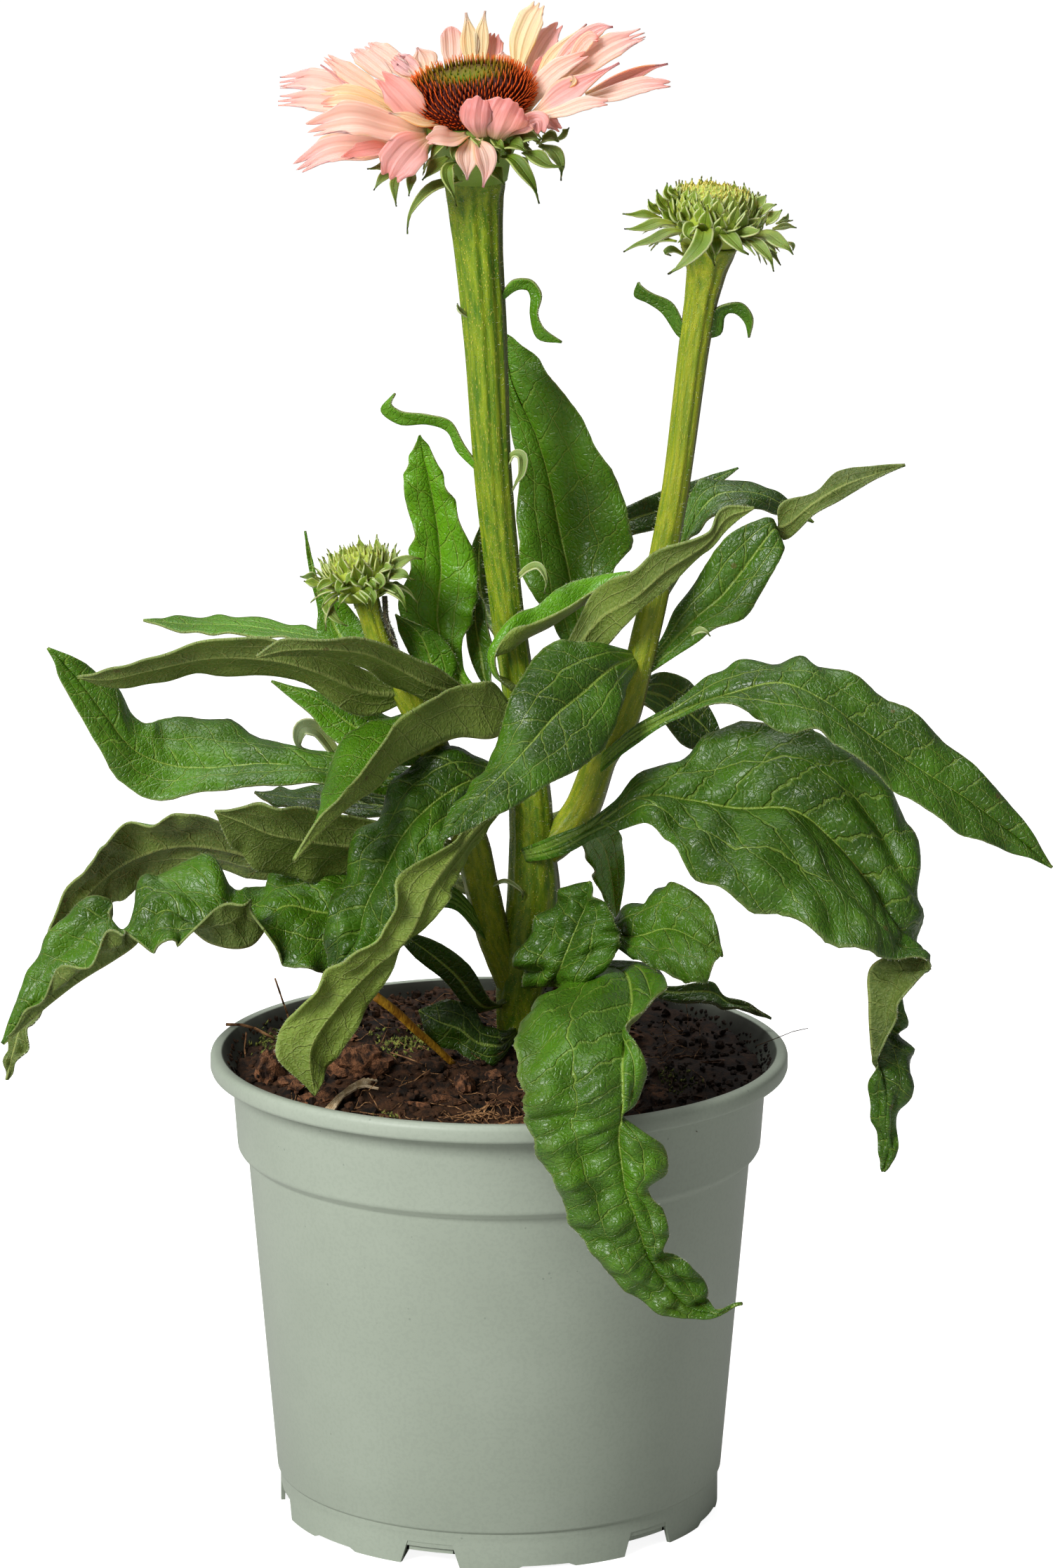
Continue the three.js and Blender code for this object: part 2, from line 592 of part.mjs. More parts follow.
// A thin closed blade through its guide curves. crown lifts each half between rib and edge.
function bladeSolid(rows, options = {}) {
  const { columns = 4, crown = 0.1, thickness = BLADE, root = PETIOLE_DEPTH } = options;
  const steps = options.steps ?? Math.max(4, rows.length - 1);
  const rootHalf = options.rootHalfWidth ?? PETIOLE_HALF_WIDTH;
  const curves = guideCurves(rows, rootHalf, 0.5);
  const grid = [];
  for (let i = 0; i <= steps; i++) {
    const [left, rib, right] = curves.map((curve) => curve.getPoint(i / steps));
    const along = curves[1].getTangent(i / steps);
    const up = right.clone().sub(left).cross(along).normalize();
    const row = [];
    for (let j = 0; j <= columns; j++) {
      const s = (2 * j) / columns - 1;
      const edge = s < 0 ? left : right;
      const share = Math.abs(s);
      const point = rib.clone().lerp(edge, share);
      point.addScaledVector(up, crown * rib.distanceTo(edge) * 4 * share * (1 - share));
      row.push(point);
    }
    grid.push(row);
  }
  const normalAt = (i, j) => {
    const alongRow = grid[Math.min(i + 1, steps)][j].clone().sub(grid[Math.max(i - 1, 0)][j]);
    const acrossRow = grid[i][Math.min(j + 1, columns)].clone().sub(grid[i][Math.max(j - 1, 0)]);
    return acrossRow.cross(alongRow).normalize();
  };
  const upper = [];
  const lower = [];
  for (let i = 0; i <= steps; i++) {
    const stem = Math.max(0, 1 - i / steps / 0.14);
    const half = (thickness + (root - thickness) * stem) / 2;
    for (let j = 0; j <= columns; j++) {
      const normal = normalAt(i, j);
      const top = grid[i][j].clone().addScaledVector(normal, half);
      const under = grid[i][j].clone().addScaledVector(normal, -half);
      upper.push(top.x, top.y, top.z);
      lower.push(under.x, under.y, under.z);
    }
  }
  return solidFrom([...upper, ...lower], slabTriangles(steps, columns));
}

// Faces of a slab whose upper and lower grids have (steps + 1) x (columns + 1) points.
function slabTriangles(steps, columns) {
  const width = columns + 1;
  const under = (steps + 1) * width;
  const at = (i, j) => i * width + j;
  const triangles = [];
  const wall = (a, b) => triangles.push(a, b, b + under, a, b + under, a + under);
  for (let i = 0; i < steps; i++) {
    for (let j = 0; j < columns; j++) {
      const [a, b, c, d] = [at(i, j), at(i, j + 1), at(i + 1, j + 1), at(i + 1, j)];
      triangles.push(a, b, c, a, c, d);
      triangles.push(a + under, c + under, b + under, a + under, d + under, c + under);
    }
    wall(at(i, 0), at(i + 1, 0));
    wall(at(i + 1, columns), at(i, columns));
  }
  for (let j = 0; j < columns; j++) {
    wall(at(0, j + 1), at(0, j));
    wall(at(steps, j), at(steps, j + 1));
  }
  return triangles;
}

// A pointed scale with a lens-shaped section: root, middle and tip, with the width across.
function scaleSolid(root, middle, tip, width, depth) {
  const stations = [[root, 0.7], [middle, 1]];
  const positions = [];
  for (const [centre, share] of stations) {
    const along = tip.clone().sub(root);
    const outward = new THREE.Vector3(centre.x, centre.y, 0);
    const across = new THREE.Vector3(-outward.y, outward.x, 0).normalize();
    const normal = along.clone().cross(across).normalize();
    for (const [a, n] of [[1, 0], [0, 1], [-1, 0], [0, -1]]) {
      const point = centre.clone();
      point.addScaledVector(across, (a * width * share) / 2);
      point.addScaledVector(normal, (n * depth * share) / 2);
      positions.push(point.x, point.y, point.z);
    }
  }
  positions.push(tip.x, tip.y, tip.z);
  const triangles = [0, 1, 2, 0, 2, 3];
  for (let k = 0; k < 4; k++) {
    const next = (k + 1) % 4;
    triangles.push(k, next + 4, next, k, k + 4, next + 4, k + 4, 8, next + 4);
  }
  const solid = solidFrom(positions, triangles);
  if (solid.volume() > 0) return solid;
  const flipped = [];
  for (let i = 0; i < triangles.length; i += 3) flipped.push(triangles[i], triangles[i + 2], triangles[i + 1]);
  return solidFrom(positions, flipped);
}

// A polar point of a head's own frame.
function polar(angle, radius, height) {
  return new THREE.Vector3(radius * Math.cos(rad(angle)), radius * Math.sin(rad(angle)), height);
}

function latheSolid(profile, sides) {
  const geometry = new THREE.LatheGeometry(profile.map(([r, z]) => new THREE.Vector2(r, z)), sides);
  geometry.rotateX(Math.PI / 2);
  return solidOf(geometry);
}

// ---------- pot and soil ----------
function potSolid() {
  const p = POT;
  const lipFoot = p.rimTop - p.lipHeight;
  const shell = latheSolid(
    [
      [0, 0], [p.padRadius, 0], [p.padRadius + 1, p.floorBottom],
      [p.skirtRadius - p.wall, p.floorBottom], [p.skirtRadius - p.wall, 0], [p.skirtRadius, 0],
      [p.skirtRadius, p.grooveHeight], [p.wallFootRadius, p.grooveHeight + 0.5],
      [p.wallTopRadius, p.wallTop], [p.collarFootRadius - 0.4, p.collarFoot - 1],
      [p.collarFootRadius, p.collarFoot], [p.collarTopRadius, lipFoot], [p.rimRadius - 0.4, lipFoot],
      [p.rimRadius, lipFoot + 1], [p.rimRadius - 0.2, p.rimTop - 0.8], [p.rimRadius - 0.9, p.rimTop],
      [p.rimRadius - p.lipWidth, p.rimTop], [p.rimRadius - p.lipWidth - 1.6, p.rimTop - 2.4],
      [p.collarTopRadius - p.wall, lipFoot], [p.collarFootRadius - p.wall, p.collarFoot],
      [p.wallTopRadius - p.wall, p.wallTop], [p.wallFootRadius - p.wall, p.floorTop], [0, p.floorTop],
    ],
    p.sides,
  );
  const cuts = [];
  for (let k = 0; k < FEET.count; k++) {
    const deep = FEET.firstAngle + (360 / FEET.count) * k;
    cuts.push(skirtNotch(deep, FEET.deepWidth, FEET.deepHeight));
    cuts.push(skirtNotch(deep + 180 / FEET.count, FEET.lowWidth, FEET.lowHeight));
    cuts.push(drainSlot(deep + 180 / FEET.count));
  }
  return shell.subtract(joinAll(cuts));
}

// A notch with slanted sides through the skirt; angles are measured from the front, -Y.
function skirtNotch(angle, width, height) {
  const shape = new THREE.Shape();
  const slant = Math.min(2, height);
  shape.moveTo(-width / 2 - slant, -1);
  shape.lineTo(width / 2 + slant, -1);
  shape.lineTo(width / 2, height);
  shape.lineTo(-width / 2, height);
  const cutter = new THREE.ExtrudeGeometry(shape, { depth: 8, bevelEnabled: false });
  cutter.rotateX(Math.PI / 2);
  cutter.translate(0, -(POT.skirtRadius - 5), 0);
  cutter.rotateZ(rad(angle));
  return solidOf(cutter);
}

function drainSlot(angle) {
  const length = DRAIN.outer - DRAIN.inner;
  const cutter = new THREE.BoxGeometry(DRAIN.width, length, 6);
  cutter.translate(0, -(DRAIN.inner + DRAIN.outer) / 2, POT.floorTop - 1);
  cutter.rotateZ(rad(angle));
  return solidOf(cutter);
}

// Height of the soil surface: mounded in the middle, rising to the back and broken up by peat.
function soilHeight(x, y) {
  const radius = Math.hypot(x, y) / POT.collarTopRadius;
  const waves = Math.sin(0.31 * x + 1.3) * Math.cos(0.27 * y) + 0.6 * Math.sin(0.5 * y - 0.22 * x);
  return SOIL.edgeTop + SOIL.rise * y + SOIL.mound * (1 - radius * radius) + SOIL.roughness * waves;
}

function soilSolid(holes) {
  const sides = 20;
  const inset = POT.wall + GAP;
  const rings = [
    [POT.wallFootRadius - inset - 0.2, POT.floorTop + GAP],
    [POT.wallTopRadius - inset - 0.3, POT.wallTop],
    [POT.collarFootRadius - inset - 0.5, POT.collarFoot + 1.5],
    [POT.collarTopRadius - inset - 0.9, null],
    [66, null], [52, null], [38, null], [24, null], [11, null],
  ];
  const positions = [0, 0, POT.floorTop + GAP];
  for (const [radius, height] of rings) {
    for (let k = 0; k < sides; k++) {
      const turn = (2 * Math.PI * k) / sides;
      const x = radius * Math.cos(turn);
      const y = radius * Math.sin(turn);
      positions.push(x, y, height ?? soilHeight(x, y));
    }
  }
  positions.push(0, 0, soilHeight(0, 0));
  const triangles = [];
  const crown = 1 + rings.length * sides;
  for (let k = 0; k < sides; k++) {
    const next = (k + 1) % sides;
    triangles.push(0, 1 + next, 1 + k, crown, crown - sides + k, crown - sides + next);
    for (let ring = 0; ring < rings.length - 1; ring++) {
      const a = 1 + ring * sides + k;
      const b = 1 + ring * sides + next;
      triangles.push(a, b, b + sides, a, b + sides, a + sides);
    }
  }
  let soil = solidFrom(positions, triangles);
  const random = randomStream(7);
  const chips = [];
  for (let k = 0; k < SOIL.chips; k++) {
    const angle = 360 * random();
    const radius = 20 + 46 * Math.sqrt(random());
    const length = SOIL.chipLength * (0.6 + 0.7 * random());
    const chip = new THREE.BoxGeometry(length, length * 0.5, 2.6);
    chip.rotateX(0.5 * (random() - 0.5));
    chip.rotateY(0.6 * (random() - 0.5));
    chip.rotateZ(rad(360 * random()));
    const at = polar(angle, radius, 0);
    chip.translate(at.x, at.y, soilHeight(at.x, at.y) + 0.4);
    chips.push(solidOf(chip));
  }
  soil = soil.add(joinAll(chips));
  for (const hole of holes) soil = soil.subtract(hole);
  return largestBody(soil);
}

// ---------- heads ----------
function headGroup(head) {
  const group = new THREE.Group();
  group.position.set(...head.at);
  group.rotation.set(rad(head.tiltForward), rad(head.tiltRight), 0);
  return group;
}

// Spines set on a dome by the golden angle, each a three-sided point sunk in the core.
function spinesOn(dome, count, length, halfWidth, lean) {
  const spines = [];
  for (let k = 0; k < count; k++) {
    const share = Math.sqrt((k + 0.5) / count);
    const angle = 137.508 * k;
    const { point, normal } = dome(share, angle);
    const direction = normal.clone().lerp(new THREE.Vector3(0, 0, 1), lean).normalize();
    const spine = new THREE.ConeGeometry(halfWidth, length + 1, 3, 1);
    spine.rotateX(Math.PI / 2);
    spine.translate(0, 0, (length + 1) / 2 - 1);
    const turn = new THREE.Quaternion().setFromUnitVectors(new THREE.Vector3(0, 0, 1), direction);
    spine.applyQuaternion(turn);
    spine.translate(point.x, point.y, point.z);
    spines.push(solidOf(spine));
  }
  return spines;
}

// A dome between a foot radius and a top; share 0 is the pole and 1 is the widest ring.
function domeSurface(radius, foot, top, reach) {
  return (share, angle) => {
    const polarAngle = share * reach;
    const out = radius * Math.sin(polarAngle);
    const point = polar(angle, out, foot + (top - foot) * Math.cos(polarAngle));
    const normal = polar(angle, Math.sin(polarAngle) / radius, Math.cos(polarAngle) / (top - foot));
    return { point, normal: normal.normalize() };
  };
}

function coneSolid() {
  const { cone, coneTop, spines } = FLOWER;
  const core = latheSolid(
    [
      [0, 0.6], [cone * 0.86, 0.6], [cone * 0.96, 3], [cone, 5.4], [cone * 0.94, 8.6],
      [cone * 0.74, coneTop - 1.6], [cone * 0.46, coneTop], [cone * 0.2, coneTop - 0.6], [0, coneTop - 1.4],
    ],
    20,
  );
  const dome = domeSurface(cone, 5.2, coneTop - 0.4, rad(106));
  return core.add(joinAll(spinesOn(dome, spines, 3.4, 1.15, 0.35)));
}

// A long ray floret: it leaves the ring level, then rises or hangs to its notched tip.
function rayRows([angle, reach, height, width, sag]) {
  const row = (share, halfWidth, fold) => {
    const out = 15.6 + (reach - 15.6) * share;
    const level = height * share * (1.25 - 0.25 * share) + sag * Math.sin(Math.PI * share);
    const spread = THREE.MathUtils.radToDeg(halfWidth / out);
    const left = polar(angle + spread, out, level + fold);
    const rib = polar(angle, out, level);
    const right = polar(angle - spread, out, level + fold * 0.6);
    return [...left.toArray(), ...rib.toArray(), ...right.toArray()];
  };
  const half = width / 2;
  return [
    polar(angle, 14.6, -0.9).toArray(),
    row(0.08, half * 0.28, 0.2), row(0.42, half, 1), row(0.92, half * 0.75, 0.4),
    polar(angle + 1, reach, height).toArray(),
  ];
}

function shortRayRows([angle, out, up, tipOut, tipUp, width]) {
  const row = (radius, level, half) => {
    const spread = THREE.MathUtils.radToDeg(half / radius);
    const left = polar(angle + spread, radius - 0.8, level);
    const right = polar(angle - spread, radius - 0.8, level);
    return [...left.toArray(), ...polar(angle, radius, level).toArray(), ...right.toArray()];
  };
  return [
    polar(angle, 14.6, -0.9).toArray(),
    row(18.5, up * 0.2 - 0.5, width * 0.25),
    row(out, up, width / 2), row(tipOut, up + (tipUp - up) * 0.9, width * 0.42),
    polar(angle, tipOut, tipUp).toArray(),
  ];
}

function raysSolid() {
  const ring = latheSolid([[14, -1.5], [17.4, -1.5], [17.4, 0.1], [14, 0.1], [14, -1.5]], 24);
  const shape = { columns: 2, crown: 0, thickness: PETAL, root: 1, rootHalfWidth: 1.1 };
  const long = RAYS.map((ray) => bladeSolid(rayRows(ray), { ...shape, steps: 3 }));
  const short = SHORT_RAYS.map((ray) => bladeSolid(shortRayRows(ray), { ...shape, steps: 4 }));
  return largestBody(joinAll([ring, ...long, ...short]));
}

// Green scales under a head, in whorls that spread and curl down.
function whorls(list, seed) {
  const random = randomStream(seed);
  const scales = [];
  for (const { count, root, level, reach, drop, width } of list) {
    for (let k = 0; k < count; k++) {
      const angle = (360 * (k + 0.4 * random())) / count;
      const behindHanging = Math.abs(angle - HANGING_AT) < 18 ? 0.72 : 1;
      const out = reach * (0.85 + 0.3 * random()) * behindHanging;
      const fall = drop * (0.6 + 0.8 * random());
      const bend = polar(angle, root + (out - root) * 0.55, level + 0.8 - fall * 0.1);
      scales.push(
        scaleSolid(polar(angle, root - 1.5, level), bend, polar(angle + 4, out, level - fall), width, 1.3),
      );
    }
  }
  return scales;
}

function flowerCupSolid() {
  const cup = latheSolid([[0, -16.8], [9.2, -16.8], [11.4, -11], [15, -6], [16.8, -2], [0, -2]], 20);
  const scales = whorls(
    [
      { count: 12, root: 15, level: -4.2, reach: 24, drop: 3.5, width: 3.4 },
      { count: 11, root: 12.5, level: -8, reach: 24, drop: 8, width: 3.6 },
      { count: 8, root: 10.5, level: -12, reach: 19, drop: 9, width: 3.4 },
    ],
    11,
  );
  return cup.add(joinAll(scales));
}

// A closed bud: a green core set with upright points, over whorls of spreading scales.
function budSolid({ core, height, spikes }, foot, list, seed) {
  const body = latheSolid(
    [
      [0, foot.level], [foot.radius, foot.level], [core * 0.92, -1.5], [core, 1], [core * 0.95, height * 0.5],
      [core * 0.7, height * 0.85], [core * 0.3, height], [0, height],
    ],
    18,
  );
  const dome = domeSurface(core, 0.5, height, rad(96));
  const points = spinesOn(dome, spikes, 5.8, 1.7, 0.45);
  return body.add(joinAll([...points, ...whorls(list, seed)]));
}

// ---------- assembly ----------
const plant = new THREE.Group();
plant.add(meshOf("pot", geometryOf(potSolid()), COLOURS.pot, 0.55));

const stems = { stem_main: MAIN_STEM, stem_right: RIGHT_STEM, stem_left: LEFT_STEM };
const stemSteps = { stem_main: 18, stem_right: 14, stem_left: 12 };
const grownStems = Object.entries(stems).map(([name, line]) => stemSolid(line, stemSteps[name], 9));
const widened = Object.entries(stems).map(([name, line]) => stemSolid(line, stemSteps[name], 9, GAP));

plant.add(meshOf("soil", geometryOf(soilSolid([widened[0]])), COLOURS.soil, 0.95));
Object.keys(stems).forEach((name, k) => {
  const clear = k === 0 ? grownStems[0] : largestBody(grownStems[k].subtract(widened[0]));
  plant.add(meshOf(name, geometryOf(clear), COLOURS.stem));
});

const STRAPS = [
  "leaf_stem_curl_right", "leaf_stem_curl_left", "leaf_bud_strap_left", "leaf_bud_strap_right",
];
const SMALL = [
  "leaf_left_back_thin", "leaf_left_yellow", "leaf_left_shaded", "leaf_front_strap", "leaf_small_left",
  "leaf_upright_narrow", "leaf_back_dark", "leaf_behind_left_bud", "leaf_right_hooked", "leaf_back_high",
  "leaf_right_shaded", "leaf_right_low_back", "leaf_back_hanging", "leaf_basal", "leaf_base_left",
];
const PALE = ["leaf_centre_folded", "leaf_centre_tongue", "leaf_left_long", "leaf_left_olive"];
for (const [name, rows] of Object.entries(LEAVES)) {
  let options = SMALL.includes(name) ? { columns: 2, crown: 0 } : {};
  if (STRAPS.includes(name)) options = { columns: 2, crown: 0, root: 1, rootHalfWidth: 0.8 };
  let blade = bladeSolid(rows, options);
  for (const stem of widened) blade = blade.subtract(stem);
  const colour = PALE.includes(name) ? COLOURS.paleLeaf : COLOURS.leaf;
  plant.add(meshOf(name, geometryOf(largestBody(blade)), colour, 0.5));
}

const flower = headGroup(FLOWER);
flower.add(meshOf("flower_cone", geometryOf(coneSolid()), COLOURS.cone, 0.7));
flower.add(meshOf("flower_rays", geometryOf(raysSolid()), COLOURS.petal, 0.5));
flower.add(meshOf("flower_cup", geometryOf(flowerCupSolid()), COLOURS.bract));
plant.add(flower);

const rightBud = headGroup(RIGHT_BUD);
rightBud.add(
  meshOf(
    "bud_right",
    geometryOf(
      budSolid(RIGHT_BUD, { level: -5.8, radius: 8 }, [
        { count: 10, root: 11, level: -0.5, reach: 24, drop: -1, width: 3.2 },
        { count: 10, root: 10, level: -2.6, reach: 24, drop: 4, width: 3.2 },
        { count: 7, root: 9, level: -4.4, reach: 21, drop: 9, width: 3 },
      ], 3),
    ),
    COLOURS.bud,
  ),
);
plant.add(rightBud);

const leftBud = headGroup(LEFT_BUD);
leftBud.add(
  meshOf(
    "bud_left",
    geometryOf(
      budSolid(LEFT_BUD, { level: -5, radius: 6.4 }, [
        { count: 8, root: 8.4, level: -0.5, reach: 16, drop: 0, width: 3.2 },
        { count: 8, root: 7.6, level: -2.6, reach: 16, drop: 5, width: 3.4 },
      ], 5),
    ),
    COLOURS.bud,
  ),
);
plant.add(leftBud);

export default plant;
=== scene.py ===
"""A potted coneflower: pot, peat, stems, leaves, an open flower and two buds."""
import logging
import math
from collections.abc import Callable, Iterable, Sequence
from dataclasses import dataclass
from enum import Enum
from random import Random
from typing import TypeVar

import bmesh
import bpy
from mathutils import Matrix, Vector, noise


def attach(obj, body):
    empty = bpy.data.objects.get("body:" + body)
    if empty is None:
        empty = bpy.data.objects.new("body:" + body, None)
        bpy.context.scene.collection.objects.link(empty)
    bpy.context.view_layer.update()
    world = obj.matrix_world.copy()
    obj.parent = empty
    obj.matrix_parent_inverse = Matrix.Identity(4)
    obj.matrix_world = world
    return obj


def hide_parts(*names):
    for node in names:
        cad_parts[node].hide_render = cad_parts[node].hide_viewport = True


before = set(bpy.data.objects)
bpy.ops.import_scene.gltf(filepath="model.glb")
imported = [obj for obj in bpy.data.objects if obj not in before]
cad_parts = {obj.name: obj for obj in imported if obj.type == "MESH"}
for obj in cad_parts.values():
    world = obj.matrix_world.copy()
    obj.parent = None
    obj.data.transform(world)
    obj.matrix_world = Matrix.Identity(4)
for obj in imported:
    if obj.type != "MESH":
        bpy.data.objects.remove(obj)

LOG = logging.getLogger("coneflower")
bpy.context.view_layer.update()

MM = 0.001  # every shape is worked out in millimetres and scaled once at the end
BODY = "root"
GOLDEN_ANGLE = 137.508  # degrees from one floret to the next
ANY_TURN = 6.3  # radians, about one turn, from which random turns are drawn
WELD = 1e-4  # corners closer than this become one
SHARP = 1e-3  # radius of the finest tip
NOISE_SEED = 21  # vector noise would start from the clock without one

Socket = bpy.types.NodeSocket
Colour = tuple[float, float, float]
Row = Sequence[float]


# ---------------------------------------------------------------- numbers and curves
def tint(code: str) -> Colour:
    """Turns a screen colour written as six hex digits into linear light.

    Args:
        code: red, green and blue, two digits each.

    Returns:
        The three linear values.
    """
    parts = [int(code[i:i + 2], 16) / 255 for i in (0, 2, 4)]
    linear = [c / 12.92 if c <= 0.04045 else ((c + 0.055) / 1.055) ** 2.4 for c in parts]
    return linear[0], linear[1], linear[2]


def clamp(value: float, low: float = 0.0, high: float = 1.0) -> float:
    """Holds a value between two limits."""
    return max(low, min(high, value))


def ease(value: float, low: float, high: float) -> float:
    """Rises smoothly from 0 at low to 1 at high."""
    x = clamp((value - low) / (high - low))
    return x * x * (3 - 2 * x)


def polar(angle: float, radius: float, height: float = 0.0) -> Vector:
    """Gives the point at an angle in degrees from +X, a radius and a height."""
    turn = math.radians(angle)
    return Vector((radius * math.cos(turn), radius * math.sin(turn), height))


class Guide:
    """A centripetal Catmull-Rom curve through given points."""

    def __init__(self, points: Iterable[Sequence[float]]) -> None:
        """Keeps the points, and one more past each end."""
        inner = [Vector(p) for p in points]
        first = inner[0] * 2 - inner[1]
        last = inner[-1] * 2 - inner[-2]
        self.points = [first, *inner, last]

    def at(self, share: float) -> Vector:
        """Gives the point at a share of the way, where each span counts the same.

        Args:
            share: 0 at the first point and 1 at the last.

        Returns:
            The point on the curve.
        """
        spans = len(self.points) - 3
        spot = clamp(share) * spans
        index = min(int(spot), spans - 1)
        part = spot - index
        a, b, c, d = self.points[index:index + 4]
        reach = [max((q - p).length, 1e-6) ** 0.5 for p, q in ((a, b), (b, c), (c, d))]
        enter = ((b - a) / reach[0] - (c - a) / (reach[0] + reach[1]) + (c - b) / reach[1]) * reach[1]
        leave = ((c - b) / reach[1] - (d - b) / (reach[1] + reach[2]) + (d - c) / reach[2]) * reach[1]
        square = part * part
        cube = square * part
        return (
            b * (2 * cube - 3 * square + 1)
            + enter * (cube - 2 * square + part)
            + c * (3 * square - 2 * cube)
            + leave * (cube - square)
        )

    def along(self, share: float) -> Vector:
        """Gives the unit direction of the curve at a share of the way."""
        step = 0.002
        return (self.at(share + step) - self.at(share - step)).normalized()

    def lengths(self, steps: int) -> list[float]:
        """Gives the distance run at each of steps + 1 even shares."""
        run = [0.0]
        before = self.at(0)
        for i in range(1, steps + 1):
            here = self.at(i / steps)
            run.append(run[-1] + (here - before).length)
            before = here
        return run


# ---------------------------------------------------------------- mesh tools
def sheet(
    columns: int,
    rows: int,
    place: Callable[[float, float], Vector],
    spread: float = 1.0,
) -> bmesh.types.BMesh:
    """Lays a grid of faces on a surface.

    Args:
        columns: faces across.
        rows: faces along.
        place: gives the point for across (-1 to 1) and along (0 to 1).
        spread: above 1 the columns crowd towards the middle.

    Returns:
        The sheet, with the map layer "span" holding across and along, both from 0 to 1.
    """
    bm = bmesh.new()
    bmesh.ops.create_grid(bm, x_segments=columns, y_segments=rows, size=1)
    span = bm.loops.layers.uv.new("span")
    where = {}
    for vert in bm.verts:
        across = math.copysign(abs(vert.co.x) ** spread, vert.co.x)
        where[vert] = (across, (vert.co.y + 1) / 2)
    for face in bm.faces:
        for loop in face.loops:
            across, along = where[loop.vert]
            loop[span].uv = ((across + 1) / 2, along)
    for vert, (across, along) in where.items():
        vert.co = place(across, along)
    return bm


def tube(
    sides: int,
    rows: int,
    place: Callable[[float, float], Vector],
) -> bmesh.types.BMesh:
    """Rolls a sheet into a closed tube with both ends filled.

    Args:
        sides: faces round.
        rows: faces along.
        place: gives the point for a turn in radians and along (0 to 1).

    Returns:
        The tube, closed and facing out.
    """
    bm = sheet(sides, rows, lambda across, along: place((across + 1) * math.pi, along))
    bmesh.ops.remove_doubles(bm, verts=bm.verts, dist=WELD)
    bmesh.ops.holes_fill(bm, edges=[e for e in bm.edges if e.is_boundary])
    bmesh.ops.recalc_face_normals(bm, faces=bm.faces)
    return bm


def stem_tube(
    line: Guide,
    radius: Callable[[float, float], float],
    sides: int,
    rows: int,
) -> bmesh.types.BMesh:
    """Sweeps a round section along a curve.

    Args:
        line: the middle line.
        radius: gives the radius for a turn in radians and along (0 to 1).
        sides: faces round.
        rows: faces along.

    Returns:
        The closed tube.
    """
    def place(turn: float, along: float) -> Vector:
        """Gives one point of the skin."""
        forward = line.along(along)
        across = Vector((0, 1, 0)).cross(forward).normalized()
        other = forward.cross(across)
        size = radius(turn, along)
        return line.at(along) + across * (size * math.cos(turn)) + other * (size * math.sin(turn))

    return tube(sides, rows, place)


def spun(profile: Sequence[tuple[float, float]], sides: int) -> bmesh.types.BMesh:
    """Spins a profile of radius and height round +Z.

    Args:
        profile: the corners, in order, from the axis or back to the start.
        sides: faces round.

    Returns:
        The turned body, facing out.
    """
    bm = bmesh.new()
    verts = [bm.verts.new((radius, 0, height)) for radius, height in profile]
    edges = [bm.edges.new(pair) for pair in zip(verts, verts[1:])]
    bmesh.ops.spin(
        bm, geom=verts + edges, axis=(0, 0, 1), cent=(0, 0, 0), steps=sides,
        angle=2 * math.pi, use_merge=True,
    )
    bmesh.ops.remove_doubles(bm, verts=bm.verts, dist=WELD * 10)
    bmesh.ops.recalc_face_normals(bm, faces=bm.faces)
    return bm


def pour(source: bmesh.types.BMesh, target: bmesh.types.BMesh) -> None:
    """Moves all of one mesh into another and frees the first."""
    held = bpy.data.meshes.new("held")
    source.to_mesh(held)
    source.free()
    target.from_mesh(held)
    bpy.data.meshes.remove(held)


